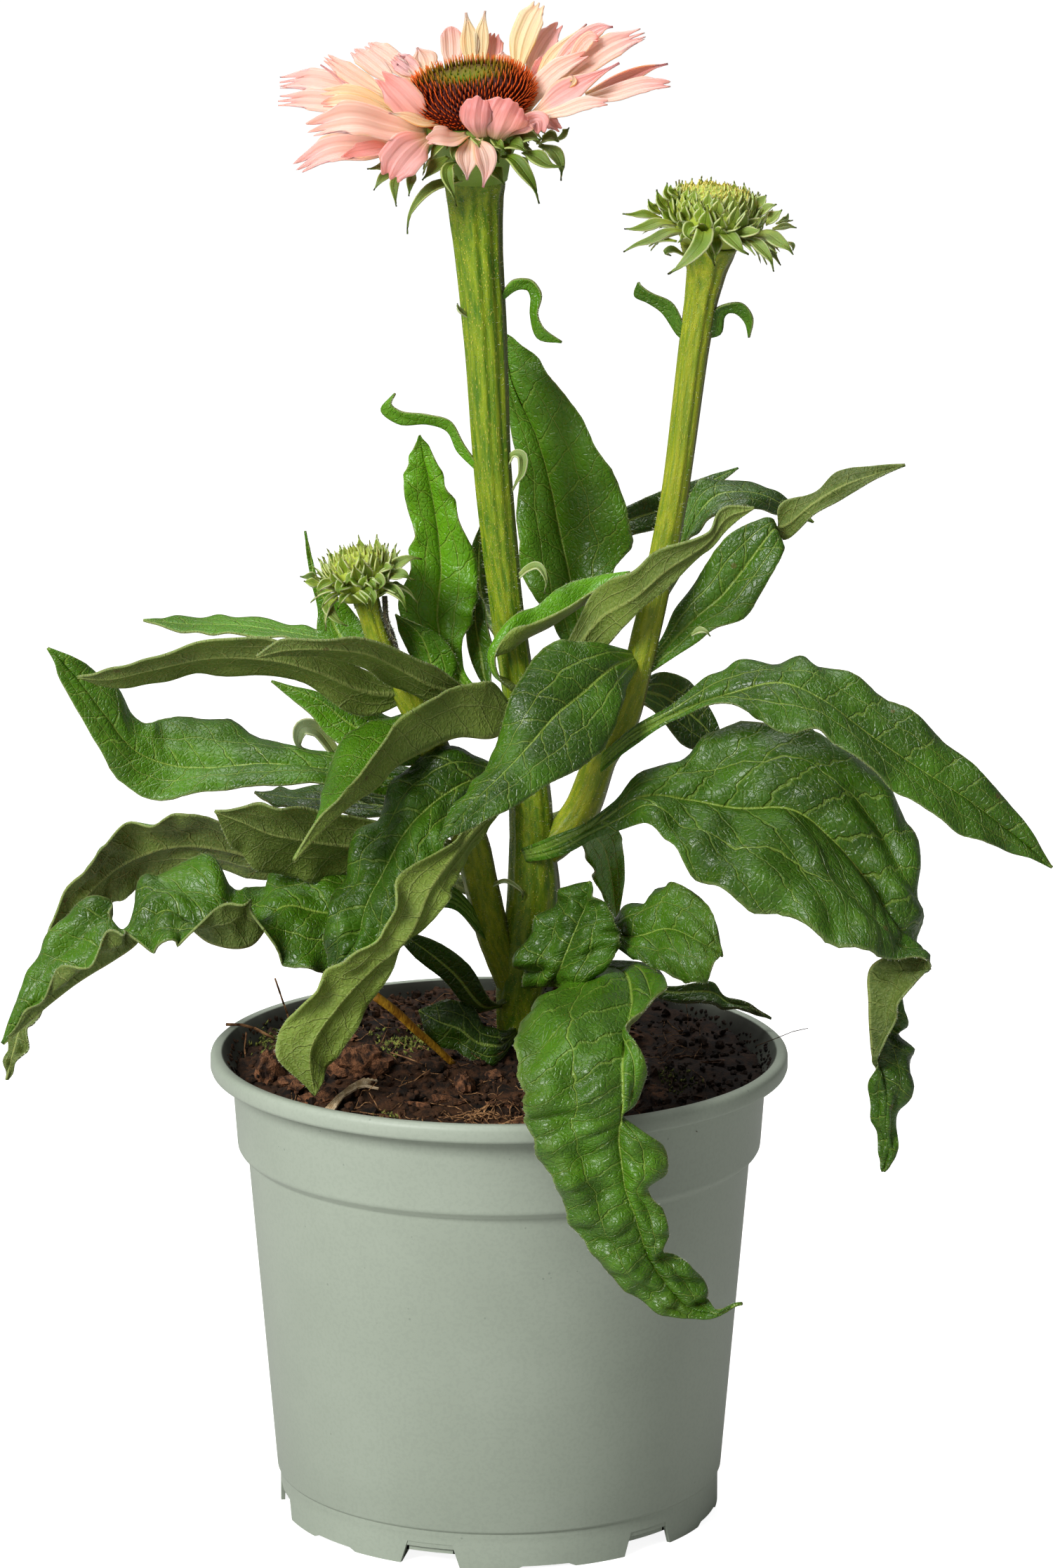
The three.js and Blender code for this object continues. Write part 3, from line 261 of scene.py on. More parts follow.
class Heap:
    """Collects many small shapes in one mesh, a batch at a time, so that it stays quick."""

    BATCH = 150

    def __init__(self, *layers: str) -> None:
        """Starts empty.

        Args:
            layers: the names of the map layers that every shape brings.
        """
        self.whole = bmesh.new()
        self.batch = bmesh.new()
        self.layers = layers
        for name in layers:
            self.whole.loops.layers.uv.new(name)
            self.batch.loops.layers.uv.new(name)
        self.waiting = 0

    def count(self) -> None:
        """Counts one more shape and empties the batch into the whole when it is full."""
        self.waiting += 1
        if self.waiting >= self.BATCH:
            self.flush()

    def flush(self) -> None:
        """Moves the batch into the whole."""
        fresh = bmesh.new()
        for name in self.layers:
            fresh.loops.layers.uv.new(name)
        pour(self.batch, self.whole)
        self.batch = fresh
        self.waiting = 0

    def cone(
        self,
        foot: Vector,
        tip: Vector,
        radius: float,
        sides: int = 3,
        tip_radius: float = 0.0,
        share: float = 0.0,
    ) -> None:
        """Adds a point or a rod.

        Args:
            foot: the middle of the foot.
            tip: the middle of the tip.
            radius: the foot's radius.
            sides: faces round.
            tip_radius: the tip's radius.
            share: the first value of the map layer, the second runs from foot to tip.
        """
        axis = tip - foot
        turn = axis.to_track_quat("Z", "Y").to_matrix().to_4x4()
        made = bmesh.ops.create_cone(
            self.batch, cap_ends=True, cap_tris=False, segments=sides, radius1=radius,
            radius2=max(tip_radius, SHARP), depth=axis.length,
            matrix=Matrix.Translation((foot + tip) / 2) @ turn,
        )
        if self.layers:
            self.map(made["verts"], foot, axis, share)
        self.count()

    def lump(
        self,
        centre: Vector,
        size: Vector,
        random: Random,
        detail: int = 1,
        rough: float = 0.25,
    ) -> None:
        """Adds a rough crumb.

        Args:
            centre: its middle.
            size: its half sizes.
            random: the stream that turns and dents it.
            detail: how often the ball's faces are split.
            rough: how far its corners move, as a share of its size.
        """
        turn = random.uniform(0, ANY_TURN)
        spin = Matrix.Rotation(turn, 4, Vector((random.random(), random.random(), 1)))
        made = bmesh.ops.create_icosphere(
            self.batch, subdivisions=detail, radius=1,
            matrix=Matrix.Translation(centre) @ spin @ Matrix.Diagonal((*size, 1)),
        )
        for vert in made["verts"]:
            vert.co += (vert.co - centre) * random.uniform(-rough, rough)
        self.count()

    def shape(self, bm: bmesh.types.BMesh) -> None:
        """Adds a ready shape and frees it."""
        pour(bm, self.batch)
        self.count()

    def map(self, verts: Iterable[bmesh.types.BMVert], foot: Vector, axis: Vector, share: float) -> None:
        """Writes the map layer of a new point."""
        layer = self.batch.loops.layers.uv[self.layers[0]]
        for vert in verts:
            along = (vert.co - foot).dot(axis) / axis.length_squared
            for loop in vert.link_loops:
                loop[layer].uv = (share, along)

    def done(self) -> bmesh.types.BMesh:
        """Gives the whole mesh."""
        self.flush()
        self.batch.free()
        return self.whole


@dataclass(frozen=True)
class Wall:
    """The thickness that a sheet gets, in millimetres."""

    thickness: float
    thinnest: float = 1.0  # share of the thickness where the group "body" has no weight
    under: int = 0  # how many material slots on the underside's finish is


def make_piece(
    name: str,
    bm: bmesh.types.BMesh,
    finishes: Sequence[bpy.types.Material],
    nodes: Sequence[str] = (),
    wall: Wall | None = None,
    smooth: bool = True,
) -> bpy.types.Object:
    """Turns a mesh in millimetres into a finished piece of the part.

    Args:
        name: the piece's name.
        bm: its mesh, which is freed.
        finishes: its materials, in slot order.
        nodes: the solids that it stands for.
        wall: the thickness given to a sheet.
        smooth: whether faces shade as one surface.

    Returns:
        The object.
    """
    bmesh.ops.scale(bm, vec=(MM, MM, MM), verts=bm.verts)
    mesh = bpy.data.meshes.new(name)
    for face in bm.faces:
        face.smooth = smooth
    bm.to_mesh(mesh)
    bm.free()
    piece = bpy.data.objects.new(name, mesh)
    bpy.context.scene.collection.objects.link(piece)
    for finish in finishes:
        mesh.materials.append(finish)
    if wall:
        solid = piece.modifiers.new("wall", "SOLIDIFY")
        solid.thickness = wall.thickness * MM
        solid.offset = 0
        solid.use_even_offset = False
        solid.material_offset = wall.under
        solid.material_offset_rim = wall.under
        if wall.thinnest < 1:
            piece.vertex_groups.new(name="body")
            solid.vertex_group = "body"
            solid.thickness_vertex_group = wall.thinnest
    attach(piece, BODY)
    if nodes:
        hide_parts(*nodes)
    LOG.info("%s: %d faces, stands for %s", name, len(mesh.polygons), ", ".join(nodes) or "nothing")
    return piece


# ---------------------------------------------------------------- finishes
class Wiring:
    """Adds and joins the nodes of one material or node group."""

    def __init__(self, tree: bpy.types.NodeTree) -> None:
        """Keeps the tree that is being built."""
        self.tree = tree

    def feed(self, target: Socket, source: object) -> None:
        """Gives an input its value: another node's output or a fixed one."""
        if isinstance(source, bpy.types.NodeSocket):
            self.tree.links.new(source, target)
        else:
            target.default_value = source

    def add(
        self, kind: str, sources: dict[str | int, object] | None = None, **settings: object,
    ) -> bpy.types.Node:
        """Adds one node.

        Args:
            kind: the node's type.
            sources: what each input takes.
            settings: the node's own properties.

        Returns:
            The node.
        """
        node = self.tree.nodes.new(kind)
        for key, value in settings.items():
            setattr(node, key, value)
        for key, source in (sources or {}).items():
            self.feed(node.inputs[key], source)
        return node

    def math(self, operation: str, *terms: object, clamped: bool = False) -> Socket:
        """Adds a sum of up to three terms and gives its result."""
        sources = dict(enumerate(terms))
        return self.add("ShaderNodeMath", sources, operation=operation, use_clamp=clamped).outputs[0]

    def times(self, first: object, second: object) -> Socket:
        """Multiplies two values."""
        return self.math("MULTIPLY", first, second)

    def line(self, value: object, slope: object, start: object, clamped: bool = False) -> Socket:
        """Gives the slope times the value, plus the start."""
        return self.math("MULTIPLY_ADD", value, slope, start, clamped=clamped)

    def most(self, first: Socket, *others: Socket) -> Socket:
        """Gives the highest of some values."""
        for other in others:
            first = self.math("MAXIMUM", first, other)
        return first

    def outward(self, across: Socket) -> Socket:
        """Turns a run from 0 to 1 over a blade into 0 on its midrib and 1 on its margins."""
        return self.math("ABSOLUTE", self.line(across, 2.0, -1.0))

    def fade(self, value: object, low: float, high: float, first: float = 0.0, last: float = 1.0) -> Socket:
        """Turns a value from low to high into a smooth run from first to last."""
        sources = {"Value": value, "From Min": low, "From Max": high, "To Min": first, "To Max": last}
        return self.add("ShaderNodeMapRange", sources, interpolation_type="SMOOTHSTEP").outputs[0]

    def mix(self, share: object, first: object, second: object) -> Socket:
        """Mixes two colours, where a colour is a socket or three linear values."""
        def full(colour: object) -> object:
            """Adds the fourth value that a colour input takes."""
            return colour if isinstance(colour, bpy.types.NodeSocket) else (*colour, 1)

        sources = {0: share, 6: full(first), 7: full(second)}
        return self.add("ShaderNodeMix", sources, data_type="RGBA").outputs[2]

    def cover(self, skin: Socket, colour: Colour, mask: object, strength: object) -> Socket:
        """Lays a colour over the skin where a mask is, as thickly as its strength."""
        return self.mix(self.times(mask, strength), skin, colour)

    def noise(
        self, at: Socket, scale: float, detail: float = 2.0, rough: float = 0.5, bend: float = 0.0,
    ) -> Socket:
        """Gives cloudy values round a half."""
        sources = {"Vector": at, "Scale": scale, "Detail": detail, "Roughness": rough, "Distortion": bend}
        return self.add("ShaderNodeTexNoise", sources).outputs[0]

    def cells(self, at: Socket, scale: float, feature: str = "F1") -> Socket:
        """Gives the distance to a cell's middle, or to its edge."""
        sources = {"Vector": at, "Scale": scale}
        return self.add("ShaderNodeTexVoronoi", sources, feature=feature).outputs["Distance"]

    def stretch(self, at: Socket, scale: Sequence[float]) -> Socket:
        """Scales a place along each axis, so that what is drawn there runs long or wide."""
        return self.add("ShaderNodeMapping", {"Vector": at, "Scale": tuple(scale)}).outputs[0]

    def split(self, vector: Socket) -> tuple[Socket, Socket, Socket]:
        """Gives the three values of a vector."""
        outputs = self.add("ShaderNodeSeparateXYZ", {0: vector}).outputs
        return outputs[0], outputs[1], outputs[2]

    def map(self, name: str) -> Socket:
        """Gives one of the piece's own map layers."""
        return self.add("ShaderNodeUVMap", uv_map=name).outputs[0]

    def place(self) -> Socket:
        """Gives the point on the piece, in metres."""
        return self.add("ShaderNodeTexCoord").outputs["Object"]

    def band(self, distance: Socket, half_width: object) -> Socket:
        """Gives 1 on a line and 0 past its soft edge."""
        return self.fade(self.math("DIVIDE", distance, half_width), 0.35, 1.0, 1.0, 0.0)

    def effect(self, tree: bpy.types.NodeTree, **sources: object) -> bpy.types.bpy_prop_collection:
        """Places a shared effect with its own values and gives its outputs."""
        node = self.add("ShaderNodeGroup", node_tree=tree)
        for key, source in sources.items():
            self.feed(node.inputs[key.capitalize()], source)
        return node.outputs

    def give(self, given: bpy.types.Node, **values: Socket) -> None:
        """Joins the values of a shared effect to its output node."""
        for key, value in values.items():
            self.tree.links.new(value, given.inputs[key.capitalize()])


Built = TypeVar("Built")
SHARED: dict[str, object] = {}


def shared(build: Callable[[], Built]) -> Callable[[], Built]:
    """Builds an effect or a finish once and gives the same one each time after.

    Args:
        build: makes it.

    Returns:
        The function that gives it.
    """
    def once() -> Built:
        """Gives what was built."""
        if build.__name__ not in SHARED:
            SHARED[build.__name__] = build()
        return SHARED[build.__name__]

    return once


def effect_tree(
    name: str,
    takes: dict[str, object],
    gives: Sequence[str],
) -> tuple[bpy.types.NodeTree, Wiring, bpy.types.bpy_prop_collection, bpy.types.Node]:
    """Starts a shared effect.

    Args:
        name: the effect's name.
        takes: each input's default, a number or a vector of three.
        gives: the names of its values.

    Returns:
        The tree, its wiring, what its inputs hand on and its output node.
    """
    tree = bpy.data.node_groups.new(name, "ShaderNodeTree")
    for label, default in takes.items():
        kind = "NodeSocketFloat" if isinstance(default, float) else "NodeSocketVector"
        socket = tree.interface.new_socket(label, in_out="INPUT", socket_type=kind)
        socket.default_value = default
    for label in gives:
        tree.interface.new_socket(label, in_out="OUTPUT", socket_type="NodeSocketFloat")
    wiring = Wiring(tree)
    return tree, wiring, wiring.add("NodeGroupInput").outputs, wiring.add("NodeGroupOutput")


NOWHERE = (0.0, 0.0, 0.0)
VEIN_SPACING = 9.0  # millimetres between side veins along the midrib
VEIN_SLANT = 0.75  # how far a side vein climbs for each millimetre out
NERVE_AT = 0.5  # share of the half width where the long side nerves run
NERVE_DRIFT = 0.22  # how far they wander, as a share


@shared
def vein_net() -> bpy.types.NodeTree:
    """Midrib, side nerves, side veins and the fine net between them.

    Span is across and along from 0 to 1, Metric the same in millimetres, Weave the side veins'
    count and the half width in millimetres.
    """
    tree, w, taken, given = effect_tree(
        "vein net",
        {"Span": NOWHERE, "Metric": NOWHERE, "Weave": NOWHERE},
        ("Veins", "Net", "Height", "Edge"),
    )
    metric = taken["Metric"]
    span_x, span_y, _ = w.split(taken["Span"])
    count, half, _ = w.split(taken["Weave"])
    out = w.outward(span_x)
    thin = w.math("SUBTRACT", 1.15, span_y)
    midrib = w.band(w.math("ABSOLUTE", w.split(metric)[0]), w.times(thin, 0.85))
    drift = w.line(w.noise(metric, 0.11), NERVE_DRIFT, NERVE_AT - NERVE_DRIFT / 2)
    nerve_off = w.times(w.math("ABSOLUTE", w.math("SUBTRACT", out, drift)), half)
    nerve = w.band(nerve_off, w.times(thin, 0.5))
    shaken = w.line(w.noise(metric, 0.2), 0.5, count)
    off_half = w.math("ABSOLUTE", w.math("SUBTRACT", w.math("FRACT", shaken), 0.5))
    side = w.math("SUBTRACT", 0.5, off_half)
    vein = w.band(w.times(side, VEIN_SPACING * 0.8), w.line(out, -0.25, 0.5))
    net = w.fade(w.cells(metric, 0.22, "DISTANCE_TO_EDGE"), 0.01, 0.075, 1.0, 0.0)
    fine = w.fade(w.cells(metric, 0.62, "DISTANCE_TO_EDGE"), 0.02, 0.16, 1.0, 0.0)
    low = w.line(w.most(nerve, vein), -0.8, w.line(midrib, -0.25, 1.0))
    w.give(
        given,
        veins=w.most(midrib, w.times(nerve, 0.6), w.times(vein, 0.42)),
        net=w.most(net, w.times(fine, 0.15)),
        height=w.line(fine, -0.25, w.line(net, -0.15, low)),
        edge=w.fade(out, 0.955, 0.99),
    )
    return tree


@shared
def down() -> bpy.types.NodeTree:
    """Short pale hairs and the fine grain of a plant's skin.

    Place is in metres and Scale counts grains to the metre.
    """
    tree, w, taken, given = effect_tree(
        "down", {"Place": NOWHERE, "Scale": 1500.0}, ("Hairs", "Grain", "Cloud"),
    )
    at = {"Vector": taken["Place"], "Scale": taken["Scale"]}
    cells = w.add("ShaderNodeTexVoronoi", at).outputs
    lot = w.split(cells["Color"])[0]
    w.give(
        given,
        hairs=w.times(w.fade(cells["Distance"], 0.12, 0.34, 1.0, 0.0), w.fade(lot, 0.35, 0.75)),
        grain=w.add("ShaderNodeTexNoise", at | {"Detail": 3.0}).outputs[0],
        cloud=w.noise(taken["Place"], 45.0, 3.0, 0.55),
    )
    return tree


@shared
def specks() -> bpy.types.NodeTree:
    """Scattered small spots, with the size and the share of them given.

    Place is in metres, Scale counts cells to the metre and Share is how many cells hold a spot.
    """
    tree, w, taken, given = effect_tree(
        "specks", {"Place": NOWHERE, "Scale": 700.0, "Share": 0.2, "Size": 0.3}, ("Spots",),
    )
    cells = w.add("ShaderNodeTexVoronoi", {"Vector": taken["Place"], "Scale": taken["Scale"]}).outputs
    lot = w.split(cells["Color"])[1]
    near = w.math("LESS_THAN", cells["Distance"], w.times(taken["Size"], lot))
    wide = w.math("LESS_THAN", cells["Distance"], taken["Size"])
    chosen = w.math("LESS_THAN", lot, taken["Share"])
    w.give(given, spots=w.times(chosen, w.most(near, wide)))
    return tree


def new_finish(
    name: str,
    roughness: float,
    **constants: object,
) -> tuple[bpy.types.Material, Wiring, bpy.types.Node]:
    """Starts a material with its surface shader.

    Args:
        name: the material's name.
        roughness: the shader's roughness where nothing is joined to it.
        constants: values set on the shader's own inputs.

    Returns:
        The material, its wiring and its surface shader.
    """
    material = bpy.data.materials.new(name)
    material.use_nodes = True
    shader = material.node_tree.nodes["Principled BSDF"]
    shader.inputs["Roughness"].default_value = roughness
    for key, value in constants.items():
        shader.inputs[key.replace("_", " ")].default_value = value
    return material, Wiring(material.node_tree), shader


def dress(
    w: Wiring,
    shader: bpy.types.Node,
    colour: Socket,
    height: Socket | None = None,
    depth: float = 0.2,
    roughness: Socket | None = None,
) -> None:
    """Joins a colour, a relief and a roughness to the surface shader.

    Args:
        w: the material's wiring.
        shader: its surface shader.
        colour: what it shows.
        height: its relief, from 0 to about 1.
        depth: how deep a relief of 1 is, in millimetres.
        roughness: takes the place of the fixed one.
    """
    w.feed(shader.inputs["Base Color"], colour)
    if roughness:
        w.feed(shader.inputs["Roughness"], roughness)
    if height:
        bump = w.add("ShaderNodeBump", {"Strength": 1.0, "Distance": depth * MM, "Height": height})
        w.feed(shader.inputs["Normal"], bump.outputs[0])


class Side(Enum):
    """The two faces of a blade."""

    UPPER = "upper"
    UNDER = "under"


@dataclass(frozen=True)
class LeafSkin:
    """One face of the leaves. The map "tone" runs from dark to yellow-green: partly the leaf's own colour,
    partly painted shade and painted backlight.
    """

    side: Side
    deep: Colour
    fresh: Colour
    vein: Colour
    roughness: float
    vein_share: float
    relief: float
    dust: float  # how pale the short hairs and the grain make it
    hair: Colour = tint("c9d0a4")
    spot: Colour = tint("5a4a24")
    worn: Colour = tint("3f3a1c")
    margin: Colour = tint("97a668")
    patches: float = 0.34  # how far the tone wanders over a blade
    fine_net: float = 0.1  # strength of the fine net, as a share of the veins'

    def material(self) -> bpy.types.Material:
        """Builds the finish."""
        material, w, shader = new_finish(
            f"leaf {self.side.value}", self.roughness, Specular_IOR_Level=0.34,
            Subsurface_Weight=0.06, Subsurface_Scale=0.004,
        )
        net = w.effect(vein_net(), span=w.map("span"), metric=w.map("metric"), weave=w.map("weave"))
        fluff = w.effect(down(), place=w.place(), scale=1300.0)
        spots = w.effect(specks(), place=w.place(), scale=160.0, share=0.05, size=0.16)
        tone, age, _ = w.split(w.map("tone"))
        patch = w.line(w.fade(fluff["Cloud"], 0.3, 0.72), self.patches, -self.patches / 2)
        blade = w.mix(w.math("ADD", tone, patch, clamped=True), self.deep, self.fresh)
        blade = w.cover(blade, self.vein, w.fade(fluff["Grain"], 0.42, 0.62), self.dust)
        blade = w.cover(blade, self.vein, net["Net"], self.vein_share * self.fine_net)
        blade = w.cover(blade, self.vein, net["Veins"], self.vein_share)
        blade = w.cover(blade, self.hair, fluff["Hairs"], self.dust)
        blade = w.cover(blade, self.spot, spots["Spots"], 0.55)
        blade = w.cover(blade, self.worn, age, w.fade(fluff["Cloud"], 0.45, 0.6))
        blade = w.cover(blade, self.margin, net["Edge"], 0.3)
        turned = -1.0 if self.side is Side.UNDER else 1.0
        height = w.times(net["Height"], turned * self.relief)
        height = w.line(fluff["Grain"], 0.22, height)
        height = w.line(fluff["Hairs"], 0.15, height)
        gloss = w.line(fluff["Cloud"], 0.25, self.roughness - 0.12)
        dress(w, shader, blade, height, 0.5, gloss)
        return material


@dataclass(frozen=True)
class ScaleSkin:
    """The green scales of cups and buds; hue on the map "tone" darkens the body."""

    name: str
    foot: Colour
    body: Colour
    deep: Colour
    margin: Colour
    tip: Colour
    tip_from: float = 0.7
    hair: Colour = tint("dfe2a8")

    def material(self) -> bpy.types.Material:
        """Builds the finish."""
        material, w, shader = new_finish(
            self.name, 0.55, Specular_IOR_Level=0.3, Subsurface_Weight=0.15, Subsurface_Scale=0.003,
        )
        span_x, span_y, _ = w.split(w.map("span"))
        fluff = w.effect(down(), place=w.place(), scale=2200.0)
        out = w.outward(span_x)
        body = w.mix(w.split(w.map("tone"))[0], self.body, self.deep)
        skin = w.mix(w.fade(span_y, 0.0, 0.4), self.foot, body)
        skin = w.cover(skin, self.margin, w.fade(fluff["Cloud"], 0.35, 0.7), 0.2)
        skin = w.cover(skin, self.margin, w.fade(out, 0.78, 0.98), 0.75)
        skin = w.cover(skin, self.tip, w.fade(span_y, self.tip_from, 1.0), 0.85)
        skin = w.cover(skin, self.hair, fluff["Hairs"], 0.2)
        height = w.line(fluff["Hairs"], 0.5, w.fade(out, 0.0, 0.2))
        dress(w, shader, skin, height, 0.15)
        return material


@dataclass(frozen=True)
class PetalSkin:
    """The ray florets: hue runs from cream to salmon, shade darkens the tip."""

    ramp: Sequence[tuple[float, Colour]] = (
        (0.0, tint("ffcc92")),
        (0.25, tint("ffc59c")),
        (0.5, tint("ffb6a2")),
        (0.8, tint("f79b96")),
        (1.0, tint("dc7873")),
    )
    foot: Colour = tint("ffc88c")
    deep: Colour = tint("e0706a")
    edge: Colour = tint("f0a04e")
    veins: float = 9.0

    def material(self) -> bpy.types.Material:
        """Builds the finish."""
        material, w, shader = new_finish(
            "petal", 0.5, Subsurface_Weight=0.6, Subsurface_Scale=0.005, Subsurface_Radius=(1.0, 0.55, 0.4),
        )
        span = w.map("span")
        span_x, span_y, _ = w.split(span)
        hue, shade, _ = w.split(w.map("tone"))
        streak = w.noise(w.stretch(span, (26.0, 1.6, 1.0)), 1.0, 3.0, 0.6)
        waves = w.math("SINE", w.times(span_x, self.veins * 2 * math.pi))
        blush = w.math("ADD", hue, w.line(streak, 0.4, -0.2))
        blush = w.math("ADD", blush, w.line(span_y, 0.3, -0.09), clamped=True)
        skin = self.ramp[0][1]
        for (low, _), (high, colour) in zip(self.ramp, self.ramp[1:]):
            skin = w.mix(w.fade(blush, low, high), skin, colour)
        skin = w.cover(skin, self.foot, w.fade(span_y, 0.0, 0.3, 1.0, 0.0), 0.6)
        skin = w.cover(skin, self.deep, w.fade(waves, 0.3, 1.0), 0.07)
        rusty = w.times(w.fade(w.outward(span_x), 0.8, 0.97), w.fade(w.noise(w.place(), 90.0), 0.42, 0.6))
        skin = w.cover(skin, self.edge, rusty, w.fade(hue, 0.05, 0.3, 0.9, 0.4))
        skin = w.cover(skin, self.deep, w.fade(span_y, 0.86, 1.0), shade)
        height = w.line(waves, 0.25, w.times(streak, 0.8))
        dress(w, shader, skin, height, 0.14)
        return material


@dataclass(frozen=True)
class ConeSkin:
    """The cone's spines: span holds the spine's place (0 middle, 1 rim) and foot to tip."""

    green: Colour = tint("4a6a10")
    lime: Colour = tint("76861a")
    olive: Colour = tint("6b6414")
    gold: Colour = tint("96701e")
    maroon: Colour = tint("42120c")
    orange: Colour = tint("d85a1c")

    def material(self) -> bpy.types.Material:
        """Builds the finish."""
        material, w, shader = new_finish("cone spine", 0.6, Specular_IOR_Level=0.1)
        ring, along, _ = w.split(w.map("span"))
        out = w.math("ADD", ring, w.line(w.noise(w.place(), 420.0, 1.0), 0.2, -0.1))
        ripe = w.fade(along, 0.3, 0.85)
        middle = w.mix(w.fade(along, 0.1, 1.0), self.green, self.lime)
        skin = w.mix(w.fade(out, 0.06, 0.2), middle, w.mix(ripe, self.olive, self.gold))
        skin = w.mix(w.fade(out, 0.2, 0.44), skin, w.mix(ripe, self.maroon, self.orange))
        dress(w, shader, skin)
        return material


@dataclass(frozen=True)
class StemSkin:
    """The stems: ridged yellow-green, pale dashes, and a darker, redder right flank: partly a purple-grey
    tint, partly painted shade on the side away from the key light.
    """

    name: str
    light: Colour
    deep: Colour
    shaded_flank: Colour
    dash: Colour = tint("cfcb52")
    hair: Colour = tint("e4e6c2")

    def material(self) -> bpy.types.Material:
        """Builds the finish. The map "metric" is round and along in millimetres."""
        material, w, shader = new_finish(
            self.name, 0.42, Specular_IOR_Level=0.28, Subsurface_Weight=0.08, Subsurface_Scale=0.004,
        )
        metric = w.map("metric")
        round_share = w.split(w.map("span"))[0]
        streak = w.noise(w.stretch(metric, (1.0, 0.16, 1.0)), 0.8, 3.0, 0.6)
        dashes = w.fade(w.cells(w.stretch(metric, (1.0, 0.45, 1.0)), 1.9), 0.14, 0.3, 1.0, 0.0)
        fluff = w.effect(down(), place=w.place(), scale=1700.0)
        right = w.line(w.math("COSINE", w.times(round_share, 2 * math.pi)), 0.5, 0.5)
        skin = w.mix(w.fade(streak, 0.3, 0.7), self.deep, self.light)
        # painted shade: a darker, redder strip on the right flank, partly the stem's own purple-grey tint
        skin = w.cover(skin, self.shaded_flank, w.fade(right, 0.9, 0.99), 0.7)
        skin = w.cover(skin, self.dash, dashes, 0.6)
        skin = w.cover(skin, self.hair, fluff["Hairs"], 0.12)
        height = w.line(dashes, 0.5, w.times(streak, 1.2))
        height = w.line(fluff["Grain"], 0.4, height)
        dress(w, shader, skin, height, 0.3)
        return material


@shared
def hair_finish() -> bpy.types.Material:
    """Pale, slightly see-through plant hairs."""
    material, w, shader = new_finish("plant hair", 0.5, Subsurface_Weight=0.2, Subsurface_Scale=0.001)
    dress(w, shader, w.mix(w.noise(w.place(), 300.0), tint("cfd6ae"), tint("f1f0df")))
    return material


@dataclass(frozen=True)
class PotPlastic:
    """Matte moulded plastic with a fine speckle, pale smears and an inner lining darkened partly by dirt
    and partly by painted shade; in metres.
    """

    base: Colour = tint("969f90")
    pale: Colour = tint("9da697")
    dark: Colour = tint("6f7a6e")
    dirt_and_shade: Colour = tint("15100a")
    lining_foot: float = 0.131  # from here up the inner wall flares towards the rim
    lining_top: float = 0.1385
    lining_foot_radius: float = 0.0779
    lining_top_radius: float = 0.0817
    dirt_and_shade_low: float = 0.124  # the dark lining, dirt and painted shade, sets in between these two levels
    dirt_and_shade_high: float = 0.127
    soft_edge: float = 0.0003

    def dirt_and_shade_mask(self, w: Wiring, place: Socket, cloud: Socket) -> Socket:
        """Gives where the inner wall is darkened: partly dirt, partly painted shade in the recess above the
        soil.
        """
        x, y, z = w.split(place)
        out = w.math("SQRT", w.math("ADD", w.times(x, x), w.times(y, y)))
        wall = w.fade(z, self.lining_foot, self.lining_top, self.lining_foot_radius, self.lining_top_radius)
        past = w.math("SUBTRACT", out, wall)
        inside = w.fade(past, -self.soft_edge, self.soft_edge, 1.0, 0.0)
        inside = w.times(inside, w.fade(z, self.dirt_and_shade_low, self.dirt_and_shade_high))
        return w.times(inside, w.fade(cloud, 0.3, 0.6, 0.7, 0.95))

    def material(self) -> bpy.types.Material:
        """Builds the finish."""
        material, w, shader = new_finish("pot plastic", 0.5, Specular_IOR_Level=0.3)
        place = w.place()
        cloud = w.noise(place, 14.0, 4.0, 0.6)
        fine = w.noise(place, 900.0, 2.0)
        dots = w.effect(specks(), place=place, scale=420.0, share=0.03, size=0.14)
        smear = w.noise(w.stretch(place, (60.0, 60.0, 9.0)), 1.0, 3.0)
        dirt_and_shade_mask = self.dirt_and_shade_mask(w, place, cloud)
        skin = w.mix(w.fade(cloud, 0.35, 0.7), self.base, self.pale)
        skin = w.cover(skin, self.dark, w.fade(fine, 0.45, 0.62), 0.1)
        skin = w.cover(skin, self.dark, dots["Spots"], 0.5)
        skin = w.cover(skin, self.pale, w.fade(smear, 0.58, 0.75), 0.1)
        # dirt and painted shade of the recess darken the inner wall almost to black
        skin = w.mix(dirt_and_shade_mask, skin, self.dirt_and_shade)
        height = w.line(fine, 0.5, w.times(cloud, 0.5))
        gloss = w.line(dirt_and_shade_mask, 0.6, w.line(cloud, 0.2, 0.34), clamped=True)
        dress(w, shader, skin, height, 0.02, gloss)
        return material


@dataclass(frozen=True)
class Mould:
    """A rough natural stuff in two browns or greens: peat, bark, straw, twig or moss, with painted shade
    towards the right.
    """

    name: str
    dark: Colour
    light: Colour
    scale: float
    stretch: Sequence[float] = (1.0, 1.0, 1.0)
    roughness: float = 0.9
    relief: float = 0.5
    shaded: float = 0.65  # how far painted shade darkens it on the right, away from the key light
    shade: Colour = tint("0a0604")
    shade_from: float = 0.015  # metres to the right of the middle
    shade_full: float = 0.06

    def material(self) -> bpy.types.Material:
        """Builds the finish."""
        material, w, shader = new_finish(self.name, self.roughness, Specular_IOR_Level=0.25)
        grain = w.stretch(w.place(), self.stretch)
        coarse = w.noise(grain, self.scale, 4.0, 0.65, 0.4)
        fine = w.noise(grain, self.scale * 6, 2.0)
        skin = w.mix(w.fade(coarse, 0.35, 0.68), self.dark, self.light)
        skin = w.cover(skin, self.dark, w.fade(fine, 0.5, 0.7), 0.4)
        # painted shade: darker towards the right, the side away from the key light
        right = w.fade(w.split(w.place())[0], self.shade_from, self.shade_full)
        skin = w.cover(skin, self.shade, right, self.shaded)
        dress(w, shader, skin, w.math("ADD", coarse, w.times(fine, 0.5)), self.relief)
        return material


